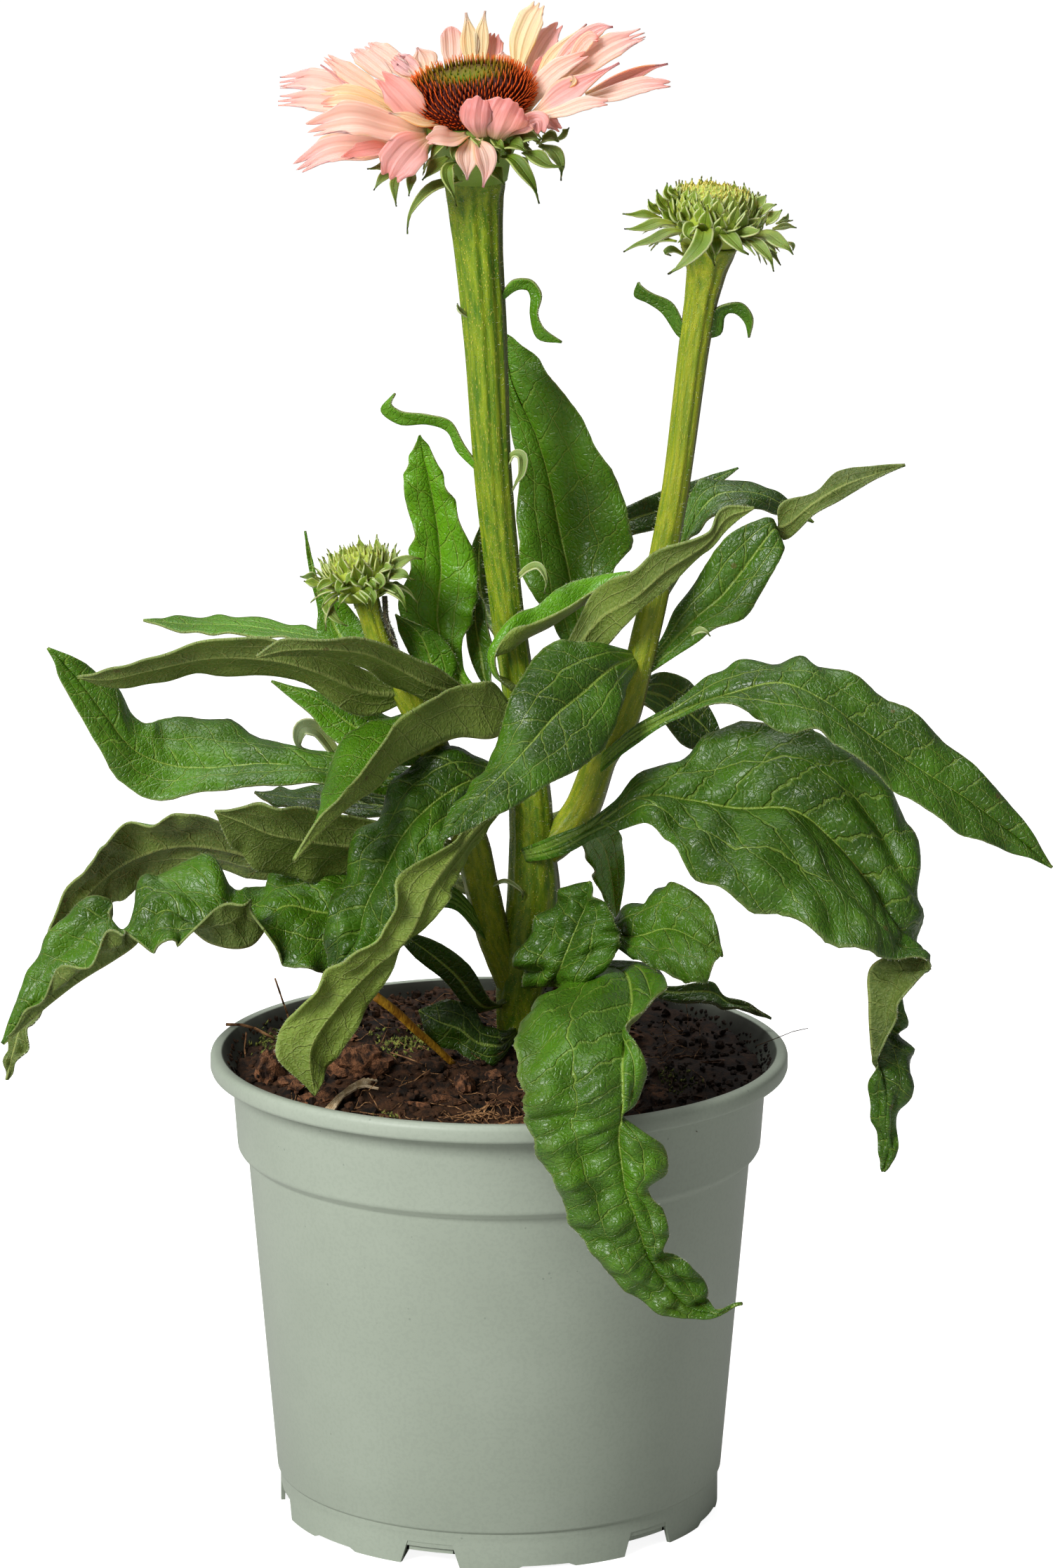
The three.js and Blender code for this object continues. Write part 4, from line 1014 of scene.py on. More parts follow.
# ---------------------------------------------------------------- pot and soil
@dataclass
class Pot:
    """The nursery pot: rolled rim, collar, tapering wall, notched skirt and slotted floor."""

    rim_radius: float = 85.0
    rim_top: float = 138.6
    lip_height: float = 5.3
    lip_width: float = 3.0
    collar_top: float = 78.8
    collar_foot: float = 77.2
    collar_level: float = 111.3
    wall_top: float = 74.2
    step_level: float = 108.3
    wall_foot: float = 66.2
    groove_level: float = 11.0
    skirt: float = 65.3
    wall: float = 1.2
    floor_under: float = 4.0
    floor_top: float = 5.6
    pad: float = 14.0
    slot_from: float = 44.0
    slot_to: float = 58.0
    slot_width: float = 9.0
    sides: int = 180
    feet: int = 6
    first_foot: float = -18.0  # degrees from the front
    notch_half: float = 7.1
    notch_height: float = 7.0
    low_half: float = 7.5
    low_height: float = 1.0
    crease: float = 50.0  # degrees; a sharper bend shades as an edge
    finish: PotPlastic = PotPlastic()

    def profile(self) -> list[tuple[float, float]]:
        """Gives the section from the axis below to the axis above."""
        lip = self.rim_top - self.lip_height
        inner = self.rim_radius - self.lip_width
        floor = [
            (0, 0), (self.pad, 0), (self.pad + 1, self.floor_under),
            (self.slot_from, self.floor_under), (self.slot_to, self.floor_under),
            (self.skirt - self.wall, self.floor_under), (self.skirt - self.wall, 0), (self.skirt, 0),
        ]
        outside = [
            (self.skirt, self.notch_height + 0.5), (self.skirt, self.groove_level - 0.3),
            (self.skirt + 0.15, self.groove_level), (self.wall_foot - 0.25, self.groove_level + 0.3),
            (self.wall_foot, self.groove_level + 0.9),
            (self.wall_top - 0.1, self.step_level - 0.8), (self.wall_top + 0.15, self.step_level),
            (self.collar_foot - 0.5, self.collar_level - 1.4),
            (self.collar_foot - 0.1, self.collar_level - 0.7), (self.collar_foot, self.collar_level),
            (self.collar_top - 0.15, lip - 1.2), (self.collar_top + 0.3, lip - 0.2),
        ]
        rim = [
            (self.rim_radius - 1.0, lip), (self.rim_radius - 0.3, lip + 0.3), (self.rim_radius, lip + 1.1),
            (self.rim_radius, self.rim_top - 1.6), (self.rim_radius - 0.25, self.rim_top - 0.7),
            (self.rim_radius - 0.9, self.rim_top - 0.15), (self.rim_radius - 1.6, self.rim_top),
            (inner, self.rim_top), (inner - 0.7, self.rim_top - 0.4), (inner - 1.4, self.rim_top - 1.6),
        ]
        inside = [
            (self.collar_top - self.wall, lip - 1), (self.collar_foot - self.wall, self.collar_level),
            (self.wall_top - self.wall, self.step_level), (self.wall_foot - self.wall, self.floor_top),
            (self.slot_to, self.floor_top), (self.slot_from, self.floor_top), (0, self.floor_top),
        ]
        return floor + outside + rim + inside

    def off_middle(self, point: Vector, first: float) -> float:
        """Gives the degrees from a point to the nearest of six even places, one of them at first."""
        angle = math.degrees(math.atan2(point.x, -point.y)) - first
        pitch = 360 / self.feet
        return abs((angle + pitch / 2) % pitch - pitch / 2)

    def cut_feet(self, bm: bmesh.types.BMesh) -> None:
        """Lifts the skirt's lower edge at the notches."""
        turn = math.degrees(1 / self.skirt)
        for vert in bm.verts:
            if vert.co.z > 0.01 or vert.co.xy.length < self.pad + 1:
                continue
            if self.off_middle(vert.co, self.first_foot) < self.notch_half * turn:
                vert.co.z = self.notch_height
            elif self.off_middle(vert.co, self.first_foot + 180 / self.feet) < self.low_half * turn:
                vert.co.z = self.low_height

    def cut_slots(self, bm: bmesh.types.BMesh) -> None:
        """Opens the drain slots through the floor."""
        middle = (self.slot_from + self.slot_to) / 2
        half = math.degrees(self.slot_width / 2 / middle)
        opened = [
            face for face in bm.faces
            if abs(face.calc_center_median().xy.length - middle) < 3
            and abs(face.normal.z) > 0.9
            and self.off_middle(face.calc_center_median(), self.first_foot + 180 / self.feet) < half
        ]
        bmesh.ops.delete(bm, geom=opened, context="FACES")
        bmesh.ops.bridge_loops(bm, edges=[e for e in bm.edges if e.is_boundary])
        bmesh.ops.recalc_face_normals(bm, faces=bm.faces)

    def build(self) -> None:
        """Makes the pot."""
        bm = spun(self.profile(), self.sides)
        self.cut_slots(bm)
        self.cut_feet(bm)
        piece = make_piece("pot_shell", bm, [self.finish.material()], ["pot"])
        edges = piece.modifiers.new("edges", "EDGE_SPLIT")
        edges.split_angle = math.radians(self.crease)


@dataclass
class Soil:
    """Moist peat with crumbs, bark chips, fibres, a split twig, moss and a dead leaf stalk."""

    edge_top: float = 131.5  # on the axis line, before the mound
    rise: float = 0.055  # climb of the surface for each millimetre away from the front
    mound: float = 4.0
    mound_reach: float = 78.8
    roughness: float = 1.1
    radius: float = 77.2
    waist_radius: float = 72.5
    waist_level: float = 108.2
    foot_radius: float = 64.3
    foot_level: float = 5.9
    rings: int = 34
    sides: int = 120
    crumbs: int = 2300
    clinging: int = 900  # crumbs that stick to the wall of the pot
    clinging_radius: float = 76.8
    clinging_level: float = 130.8
    clinging_reach: float = 5.5  # how far up the wall they lie
    wall_slope: float = 0.62  # how far the wall leans out for each millimetre up
    chips: int = 60
    fibres: int = 240
    straws: int = 70
    straw_step: float = 1.9
    tufts: int = 700
    fibre_reach: float = 60.0  # fibres stay this close to the middle lines
    litter_reach: float = 66.0  # the same for straw and moss
    seed: int = 21
    peat: Mould = Mould("peat", tint("100a05"), tint("4a2f1b"), 260.0)
    bark: Mould = Mould("bark", tint("20130b"), tint("84583a"), 420.0, (1.0, 0.6, 1.0), 0.9, 0.9)
    straw: Mould = Mould("fibre", tint("4a2e1a"), tint("a87e54"), 200.0)
    twig: Mould = Mould("twig", tint("a88c66"), tint("ecd8b4"), 420.0, (1.0, 0.25, 1.0), 0.8)
    green: Mould = Mould("moss", tint("33401a"), tint("9aa04a"), 500.0)
    stalk: Mould = Mould("dead stalk", tint("8a5a10"), tint("d9a52c"), 300.0, (1.0, 1.0, 0.2), 0.6)

    def level(self, x: float, y: float) -> float:
        """Gives the height of the bare surface, mounded in the middle and broken up."""
        out = math.hypot(x, y) / self.mound_reach
        waves = math.sin(0.31 * x + 1.3) * math.cos(0.27 * y) + 0.6 * math.sin(0.5 * y - 0.22 * x)
        return self.edge_top + self.rise * y + self.mound * (1 - out * out) + self.roughness * waves

    def rough_level(self, x: float, y: float) -> float:
        """Gives the surface with its lumps."""
        spot = Vector((x, y, 0))
        sizes = ((1.5, 0.16), (1.1, 0.42), (0.5, 1.1))
        return self.level(x, y) + sum(depth * noise.noise(spot * scale) for depth, scale in sizes)

    def on_top(self, x: float, y: float, lift: float = 0.0) -> Vector:
        """Gives the point over a place, lifted off the surface."""
        return Vector((x, y, self.rough_level(x, y) + lift))

    def spot(self, random: Random, reach: float) -> tuple[float, float]:
        """Draws a place on the surface, within a share of its radius."""
        out = self.radius * reach * math.sqrt(random.random())
        place = polar(random.uniform(0, 360), out)
        return place.x, place.y

    def build_body(self) -> None:
        """Makes the root ball and its broken surface as one closed body."""
        levels = [
            (0.0, self.foot_level),
            (self.foot_radius, self.foot_level),
            (self.waist_radius, self.waist_level),
            (self.waist_radius + 2.4, self.waist_level + 4),
            (self.radius, self.edge_top - 6),
        ]
        levels += [(self.radius * (1 - i / self.rings), self.edge_top) for i in range(self.rings + 1)]
        bm = spun(levels, self.sides)
        for vert in bm.verts:
            if vert.co.z > self.edge_top - 1:
                vert.co.z = self.rough_level(vert.co.x, vert.co.y)
        make_piece("soil_body", bm, [self.peat.material()], ["soil"])

    def build_crumbs(self) -> None:
        """Scatters crumbs of peat, smaller ones more often."""
        random = Random(self.seed)
        heap = Heap()
        for _ in range(self.crumbs):
            x, y = self.spot(random, 0.985)
            size = 0.5 + 1.5 * random.random() ** 3
            half = Vector((size, size * random.uniform(0.6, 1), size * random.uniform(0.5, 0.9)))
            heap.lump(self.on_top(x, y, size * 0.25), half, random)
        for _ in range(self.clinging):
            turn = random.uniform(0, 360)
            lift = self.clinging_reach * random.random() ** 1.5
            size = random.uniform(0.35, 0.9)
            place = polar(turn, self.clinging_radius + self.wall_slope * lift, self.clinging_level + lift)
            heap.lump(place, Vector((size, size, size)), random)
        make_piece("soil_crumbs", heap.done(), [self.peat.material()], smooth=False)

    def chip(self, x: float, y: float, length: float, turn: float, random: Random) -> bmesh.types.BMesh:
        """Makes one bark chip: a bent flake with torn ends.

        Args:
            x: its place to the right.
            y: its place to the back.
            length: its length.
            turn: its turn about the upright, in radians.
            random: the stream that shapes it.

        Returns:
            The chip in its place.
        """
        bm = bmesh.new()
        bmesh.ops.create_cube(bm, size=1)
        bmesh.ops.subdivide_edges(bm, edges=bm.edges, cuts=2, use_grid_fill=True)
        width = length * random.uniform(0.35, 0.6)
        depth = length * random.uniform(0.12, 0.2)
        bend = random.uniform(-0.25, 0.25)
        seed = Vector((x, y, length))
        for vert in bm.verts:
            spot = vert.co + noise.noise_vector(vert.co * 2.3 + seed) * 0.28
            spot.z += bend * vert.co.x * vert.co.x * 4
            vert.co = Vector((spot.x * length, spot.y * width, spot.z * depth))
        tilt = Matrix.Rotation(random.uniform(-0.3, 0.3), 4, "X")
        tilt = tilt @ Matrix.Rotation(random.uniform(-0.3, 0.3), 4, "Y")
        lift = Matrix.Translation(self.on_top(x, y, depth * 0.3))
        bmesh.ops.transform(bm, matrix=lift @ Matrix.Rotation(turn, 4, "Z") @ tilt, verts=bm.verts)
        return bm

    def build_chips(self) -> None:
        """Lays the reddish bark chips, the biggest ones at the front left."""
        random = Random(self.seed + 1)
        heap = Heap()
        for x, y, length, turn in BARK_CHIPS:
            heap.shape(self.chip(x, y, length, turn, random))
        for _ in range(self.chips):
            x, y = self.spot(random, 0.93)
            heap.shape(self.chip(x, y, random.uniform(3, 8), random.uniform(0, ANY_TURN), random))
        for spot, half in BARK_LUMPS:
            heap.lump(Vector(spot), Vector(half), random, 3, 0.2)
        make_piece("bark_chips", heap.done(), [self.bark.material()], smooth=False)

    def thread(self, heap: Heap, points: Iterable[Row], radius: float, sides: int = 3) -> None:
        """Adds a thin bent rod through a few points."""
        places = [Vector(p) for p in points]
        for foot, tip in zip(places, places[1:]):
            heap.cone(foot, tip, radius, sides, radius * 0.8)

    def fibre(self, random: Random) -> list[Vector]:
        """Draws the line of one fine fibre, of which a few rise out of the peat."""
        x, y = self.spot(random, 0.95)
        turn = random.uniform(0, 360)
        reach = random.uniform(3, 11)
        rise = random.uniform(0, 1) ** 4 * 6
        limit = self.fibre_reach
        line = []
        for i in range(5):
            turn += random.uniform(-30, 30)
            step = polar(turn, reach / 4)
            x = clamp(x + step.x, -limit, limit)
            y = clamp(y + step.y, -limit, limit)
            line.append(self.on_top(x, y, 0.5 + rise * i / 4))
        return line

    def straw_line(self, random: Random) -> list[Vector]:
        """Draws the line of one straw of the tangle at the front."""
        x, y = random.gauss(-2, 9), random.gauss(-54, 3)
        turn = random.gauss(0, 0.5)
        line = []
        for i in range(6):
            turn += random.gauss(0, 0.35)
            x += self.straw_step * math.cos(turn)
            y = clamp(y + self.straw_step * math.sin(turn), -self.litter_reach, self.litter_reach)
            line.append(self.on_top(x, y, 0.7 + 0.8 * math.sin(i * 0.6)))
        return line

    def build_fibres(self) -> None:
        """Lays fine fibres on and out of the peat, and the tangle of straw."""
        random = Random(self.seed + 2)
        heap = Heap()
        for _ in range(self.fibres):
            self.thread(heap, self.fibre(random), random.uniform(0.1, 0.22))
        for radius, points in LONE_FIBRES:
            self.thread(heap, points, radius, 5)
        for _ in range(self.straws):
            self.thread(heap, self.straw_line(random), random.uniform(0.14, 0.3))
        make_piece("soil_fibres", heap.done(), [self.straw.material()])

    def build_twig(self) -> None:
        """Lays the twig, split into four strands, and its side shoot."""
        twig = Heap()
        for shift in (-0.9, -0.3, 0.3, 0.9):
            line = [
                (-49 + shift, -43 - shift, 131.4),
                (-46 + shift, -36, 133.6 + shift * 0.4),
                (-42 + shift * 1.3, -29, 134.6),
                (-37.5 + shift * 2, -22 - shift, 134.8),
            ]
            self.thread(twig, line, 0.85 - 0.2 * abs(shift), 6)
        self.thread(twig, TWIG_SHOOT, 0.5, 5)
        make_piece("twig", twig.done(), [self.twig.material()], smooth=False)

    def build_moss(self) -> None:
        """Sets the moss as patches of small points."""
        random = Random(self.seed + 3)
        moss = Heap()
        for _ in range(self.tufts):
            x, y, wide = MOSS_PATCHES[random.randrange(len(MOSS_PATCHES))]
            x, y = x + random.gauss(0, wide), max(y + random.gauss(0, wide), -self.litter_reach)
            foot = self.on_top(x, y)
            lean = Vector((random.gauss(0, 0.6), random.gauss(0, 0.6), 1)).normalized()
            moss.cone(foot, foot + lean * random.uniform(0.6, 1.9), random.uniform(0.35, 0.8))
        make_piece("moss", moss.done(), [self.green.material()])

    def build_stalk(self) -> None:
        """Makes the dead yellow stalk that leans over the peat."""
        def radius(turn: float, along: float) -> float:
            """Gives the radius of the flattened, tapering stalk."""
            return 1.2 + 0.2 * math.cos(2 * turn) - 0.4 * along

        bm = stem_tube(Guide(DEAD_STALK), radius, 12, 24)
        make_piece("dead_stalk", bm, [self.stalk.material()])

    def build(self) -> None:
        """Makes everything in the pot."""
        self.build_body()
        self.build_crumbs()
        self.build_chips()
        self.build_fibres()
        self.build_twig()
        self.build_moss()
        self.build_stalk()


# Each big chip's place to the right and to the back, length and turn in radians.
BARK_CHIPS = [
    (-52, -34, 10, 0.5), (-58, -24, 9, 1.2), (-22, -40, 9, 2.4), (-60, -14, 8, 0.2),
    (-30, -46, 9, 0.9), (8, -56, 8, 2.9), (-14, -36, 10, 0.4), (46, -30, 9, 1.8),
]
BARK_LUMPS = [  # middle and half sizes
    ((-67, -8, 133.5), (7.6, 5.5, 3.6)), ((-40.5, -11, 136.5), (9, 7, 5.4)), ((-10, -26, 134), (7, 4, 3)),
]
MOSS_PATCHES = [  # place to the right and to the back, and how wide the patch spreads
    (-29.5, 20, 6), (-33, 10, 4), (-24, 14, 4), (-32.3, -46.4, 1.2),
    (-68, 26, 4), (-64, 10, 4), (-38, -8, 3), (51, -16, 4),
]
LONE_FIBRES = [  # radius and line
    (0.34, [(-63, 45, 133), (-64, 45, 137), (-65, 45, 140), (-66, 44, 143.5), (-67.5, 43, 148.5)]),
    (0.5, [(-81.5, 24, 139.2), (-77, 23, 139.4), (-73, 22, 138.6), (-67, 20, 136)]),
    (0.3, [(-75, 14, 139.5), (-75.5, 12, 135), (-75, 10, 131)]),
    (0.14, [(76, 4, 138), (82, 2, 141), (86.5, 1, 143.2), (91, 0, 144.5)]),
    (0.14, [(75.5, 40, 136.5), (79, 35, 136), (80.5, 30, 134), (80, 27, 132.5)]),
    (0.25, [(-32, 2, 136.5), (-27, -4, 136.5), (-22.5, -9, 136)]),
]
TWIG_SHOOT = [(-42, -30, 134.6), (-38.5, -30, 135.2), (-35, -30, 134.4)]
DEAD_STALK = [(-36, -20, 159.5), (-30, -17, 154), (-24, -13, 147), (-19, -9, 141.5), (-13.5, -5.3, 135)]


# ---------------------------------------------------------------- stems
HAIR_ROOT = 0.15  # how deep a hair's foot is sunk


def hairs_on(
    heap: Heap,
    line: Guide,
    radius: Callable[[float], float],
    count: int,
    length: float,
    random: Random,
) -> None:
    """Sets short stiff hairs all round a stem.

    Args:
        heap: takes the hairs.
        line: the stem's middle line.
        radius: gives the stem's radius at a share of its length.
        count: how many hairs.
        length: their mean length.
        random: the stream they are drawn from.
    """
    for _ in range(count):
        along = random.random()
        forward = line.along(along)
        across = Vector((0, 1, 0)).cross(forward).normalized()
        other = forward.cross(across)
        turn = random.uniform(0, 2 * math.pi)
        out = across * math.cos(turn) + other * math.sin(turn)
        foot = line.at(along) + out * (radius(along) - HAIR_ROOT)
        lean = out + forward * random.uniform(-0.1, 0.5) + across.cross(out) * random.uniform(-0.2, 0.2)
        reach = length * random.uniform(0.5, 1.5) + HAIR_ROOT
        heap.cone(foot, foot + lean.normalized() * reach, 0.055)


@dataclass
class Stem:
    """One stem, ridged and hairy."""

    name: str
    stations: Sequence[Row]
    skin: StemSkin
    ridges: int = 11
    ridge_depth: float = 0.03  # as a share of the radius
    ridge_top: float = 0.07  # the same under the head
    hairs: int = 1500
    sides: int = 66
    seed: int = 5
    replaces: bool = True  # whether it stands for the solid of its name
    hair_length: float = 0.95
    face: float = 1.6  # millimetres between mesh rows

    def __post_init__(self) -> None:
        """Makes the two curves."""
        self.line = Guide([s[:3] for s in self.stations])
        self.radii = Guide([(s[3], 0, 0) for s in self.stations])

    def radius(self, turn: float, along: float) -> float:
        """Gives the skin's distance from the middle line, ridges and all."""
        plain = self.radii.at(along).x
        depth = self.ridge_depth + (self.ridge_top - self.ridge_depth) * ease(along, 0.55, 0.9)
        depth *= 1 - ease(along, 0.95, 1)
        wander = 0.5 * math.sin(5 * along + self.seed)
        ridge = math.cos(self.ridges * turn + wander)
        ridge += 0.4 * math.cos((self.ridges * 2 - 3) * turn - wander)
        knots = 0.02 * noise.noise(Vector((math.cos(turn) * 2, math.sin(turn) * 2, along * 30)))
        return plain * (1 + depth * ridge * 0.7 + knots)

    def build(self) -> None:
        """Makes the stem and its hairs."""
        length = self.line.lengths(120)[-1]
        bm = stem_tube(self.line, self.radius, self.sides, max(40, int(length / self.face)))
        span = bm.loops.layers.uv["span"]
        metric = bm.loops.layers.uv.new("metric")
        around = 2 * math.pi * self.radii.at(0.5).x
        for face in bm.faces:
            for loop in face.loops:
                u, v = loop[span].uv
                loop[metric].uv = (u * around, v * length)
        nodes = [self.name] if self.replaces else []
        make_piece(f"{self.name}_skin", bm, [self.skin.material()], nodes)
        heap = Heap()
        hairs_on(
            heap, self.line, lambda along: self.radii.at(along).x,
            self.hairs, self.hair_length, Random(self.seed),
        )
        make_piece(f"{self.name}_hairs", heap.done(), [hair_finish()])


# The stations of each stem, from the foot up: x, y, z and radius.
MAIN_STEM = [
    [6, 13, 119, 6.2], [6, 13, 139, 6.5], [6, 12, 151, 6.9], [8.5, 11, 168, 7.5], [10, 10, 181, 7.8],
    [9.5, 10, 200, 6.5], [9, 10, 212, 6.2], [8, 8, 228, 5.2], [5, 6, 250, 4.8], [2, 4, 271, 4.8],
    [0, 3, 290, 5.1], [-2, 2, 312, 5.3], [-4, 1.4, 349, 6], [-6, 2, 374, 6.7],
    [-7, 2.6, 389, 7.8], [-7, 1.8, 396.8, 9],
]
# A thin dark strip along the left stem's right margin: painted shade on that shaded margin, carrying real
# hairs.
LEFT_SHADE_STRIP = [[-33, -6, 275, 0.8], [-32.5, -6, 268, 0.8], [-31, -5, 263.5, 0.9], [-29.5, -4, 258, 0.8]]
RIGHT_STEM = [
    [11, 10, 194, 4.6], [17, 10, 199, 5.2], [24, 10, 208, 5.2], [30, 9, 224, 4.6], [36, 9, 234, 4.3],
    [40, 9, 249, 4.2], [43, 9, 262, 4.1], [48, 9, 286, 4], [51, 9, 303, 3.9], [56, 9, 344, 4.3],
    [58, 9.6, 358, 4.6], [59.5, 10, 367, 5.6], [60.3, 9.4, 374.8, 8.4],
]
LEFT_STEM = [
    [5, 11, 152, 4.4], [1, 10, 163, 4.8], [-2, 8, 172, 4.9], [-4, 6, 181, 4.9], [-6, 4, 190, 5],
    [-8, 2, 199, 5.2], [-16, -2, 222, 4.6], [-25, -5, 243, 4.3], [-30.8, -5, 252, 3.9],
    [-34.6, -4.8, 261, 3.5], [-37, -4.6, 268.8, 3.3], [-38.6, -4.8, 274.6, 3.8],
]


# ---------------------------------------------------------------- leaves
class Cut(Enum):
    """The build of a blade."""

    BROAD = (0.1, 2.4, 1.7)
    SMALL = (0.0, 2.4, 1.7)
    STRAP = (0.0, 1.0, 0.8)

    def __init__(self, crown: float, thickness: float, root_half: float) -> None:
        """Names the values.

        Args:
            crown: how far each half arches, as a share of the half width.
            thickness: how thick the blade is at its root.
            root_half: half its width there.
        """
        self.crown = crown
        self.thickness = thickness
        self.root_half = root_half


HAIR_SPACING = 0.75  # millimetres of margin to each hair
NARROW = 13.0  # a blade no wider than this has a midrib alone
STALK_SHARE = 0.14  # share of the length over which the stalk thins out
PLAIN = 99.0  # millimetres that the vein map is moved aside so that it draws nothing
BLADE = 0.7  # thickness of a blade past its stalk
TIP_HALF = 0.2  # half width of the last row


@dataclass(frozen=True)
class Look:
    """How one leaf differs from the next; lengths are in millimetres."""

    tone: float = 0.3  # 0 dark green, 1 yellow-green; partly the leaf's own age, partly painted light: low in shade, high where lit from behind
    quilt: float = 0.5  # how far the skin bulges between the veins
    ruffle: float = 0.7  # how far the margin swings up and down
    pitch: float = 17.0  # distance from one swing to the next
    jag: float = 0.05  # how unevenly the margin is cut, as a share of the half width
    age: float = 0.0  # how brown it has gone


@dataclass
class Leaf:
    """One leaf, lofted through listed rows of left edge, midrib and right edge."""

    name: str
    rows: Sequence[Row]
    look: Look
    cut: Cut
    seed: int
    face: float = 1.15  # millimetres between mesh rows

    def __post_init__(self) -> None:
        """Makes the guide curves and measures the blade."""
        inner = [[Vector(r[k:k + 3]) for k in (0, 3, 6)] for r in self.rows[1:-1]]
        full = [
            self.closed(self.rows[0], inner[0], self.cut.root_half),
            *inner,
            self.closed(self.rows[-1], inner[-1], TIP_HALF),
        ]
        self.left, self.rib, self.right = (Guide([row[k] for row in full]) for k in range(3))
        self.length = self.rib.lengths(60)[-1]
        self.width = max((row[2] - row[0]).length for row in inner)
        self.stations: dict[float, tuple[Vector, ...]] = {}

    @staticmethod
    def closed(point: Row, nearest: Sequence[Vector], half: float) -> list[Vector]:
        """Widens an end point along the nearest row."""
        across = (nearest[2] - nearest[0]).normalized() * half
        middle = Vector(point)
        return [middle - across, middle, middle + across]

    def station(self, along: float) -> tuple[Vector, ...]:
        """Gives left edge, midrib, right edge, the blade's own up and each half's normal."""
        if along not in self.stations:
            left, rib, right = self.left.at(along), self.rib.at(along), self.right.at(along)
            forward = self.rib.along(along)
            up = (right - left).cross(forward).normalized()
            on_left = (rib - left).cross(forward).normalized()
            on_right = (right - rib).cross(forward).normalized()
            self.stations[along] = left, rib, right, up, on_left, on_right
        return self.stations[along]

    def side_veins(self, across: float, along: float, half: float, on_left: bool) -> float:
        """Counts side veins up to a point; whole numbers lie on a vein."""
        climb = along * self.length - VEIN_SLANT * abs(across) * half
        return climb / VEIN_SPACING + (0.5 if on_left else 0.0) + 3

    def bulge(self, across: float, along: float, half: float) -> float:
        """Gives the rise between the side veins, on both lanes beside the long nerve."""
        out = abs(across)
        count = self.side_veins(across, along, half, across < 0)
        between = abs(math.sin(math.pi * count)) ** 0.8
        lane = math.sin(math.pi * out / NERVE_AT)
        if out >= NERVE_AT:
            lane = 0.75 * math.sin(math.pi * (out - NERVE_AT) / (1 - NERVE_AT))
        uneven = 0.75 + 0.7 * noise.noise(Vector((math.floor(count), across * 2, self.seed)))
        return self.look.quilt * 0.6 * clamp(half / 9, 0.25, 1.2) * between * max(lane, 0) * uneven

    def margin(self, across: float, run: float, half: float) -> float:
        """Gives the swing of the ruffled margin."""
        swing = 2 * math.pi * run / self.look.pitch + (1.9 if across < 0 else 0)
        drift = 1.6 * noise.noise(Vector((run * 0.05, self.seed, across > 0)))
        size = self.look.ruffle * clamp(half / 7, 0.2, 1.3)
        return size * abs(across) ** 3 * math.sin(swing + 2 * drift)

    def swell(self, across: float, along: float, half: float) -> float:
        """Gives the relief of the skin: bulges and puckers, a grooved midrib, a ruffled margin.

        Args:
            across: -1 on the left margin, 0 on the midrib and 1 on the right margin.
            along: 0 at the root and 1 at the tip.
            half: the half width there.

        Returns:
            How far the skin stands off the plain blade.
        """
        run = along * self.length
        spot = Vector((across * half, run, self.seed * 9.7))
        pucker = self.look.quilt * 1.7 * noise.noise(spot * 0.1) * ease(abs(across), 0.05, 0.5)
        margin = self.margin(across, run, half) * (1 - ease(along, 0.93, 1))
        groove = -0.22 * math.exp(-((across * half / 0.8) ** 2)) * (1.1 - 0.7 * along)
        skin = ease(along, 0.06, 0.2) * (self.bulge(across, along, half) + pucker + margin)
        return skin + groove * ease(along, 0, 0.1)

    def point(self, across: float, along: float) -> Vector:
        """Gives a point of the blade.

        Args:
            across: -1 on the left margin, 0 on the midrib and 1 on the right margin.
            along: 0 at the root and 1 at the tip.

        Returns:
            The point.
        """
        left, rib, right, up, on_left, on_right = self.station(along)
        edge = left if across < 0 else right
        half = (edge - rib).length
        out = abs(across)
        side = 11 if across < 0 else 3  # so that the two margins differ
        uneven = noise.noise(Vector((along * self.length * 0.13, side, self.seed)))
        teeth = noise.noise(Vector((along * self.length * 0.5, side, self.seed))) * 0.35
        reach = out * (1 + self.look.jag * (uneven + teeth) * out * ease(along, 0.08, 0.25))
        spot = rib.lerp(edge, reach) + up * (self.cut.crown * half * 4 * out * (1 - out))
        lean = ease(across, -0.25, 0.25)
        normal = on_left.lerp(on_right, lean).normalized()
        return spot + normal * self.swell(across, along, half)

    def build(self, skins: Sequence[bpy.types.Material]) -> None:
        """Makes the blade with its leaf stalk.

        Args:
            skins: the upper and the under finish.
        """
        columns = 2 * int(clamp(self.width / self.face / 2, 4, 22))
        count = int(clamp(self.length / self.face, 26, 150))
        bm = sheet(columns, count, self.point, spread=1.2)
        self.map_skin(bm)
        self.weigh(bm)
        wall = Wall(self.cut.thickness, BLADE / self.cut.thickness, 1)
        make_piece(f"{self.name}_blade", bm, skins, [self.name], wall)

    def map_skin(self, bm: bmesh.types.BMesh) -> None:
        """Writes the map layers that the finish reads.

        Args:
            bm: the blade, with the layer "span" on it.
        """
        span = bm.loops.layers.uv["span"]
        metric, weave, tone = (bm.loops.layers.uv.new(name) for name in ("metric", "weave", "tone"))
        for face in bm.faces:
            on_left = sum(loop[span].uv.x for loop in face.loops) < len(face.loops) / 2
            for loop in face.loops:
                across, along = loop[span].uv.x * 2 - 1, loop[span].uv.y
                left, rib, right = self.station(round(along, 6))[:3]
                half = ((left if on_left else right) - rib).length
                aside = PLAIN if self.cut is Cut.STRAP else 0
                loop[metric].uv = (across * half + aside, along * self.length)
                veins = (self.side_veins(across, along, half, on_left), half)
                loop[weave].uv = veins if self.width > NARROW else (0.25, PLAIN)
                fresh = self.look.tone + 0.2 * (1 - ease(along, 0, 0.25))
                brown = self.look.age * ease(max(abs(across), along), 0.6, 1)
                loop[tone].uv = (fresh, brown)

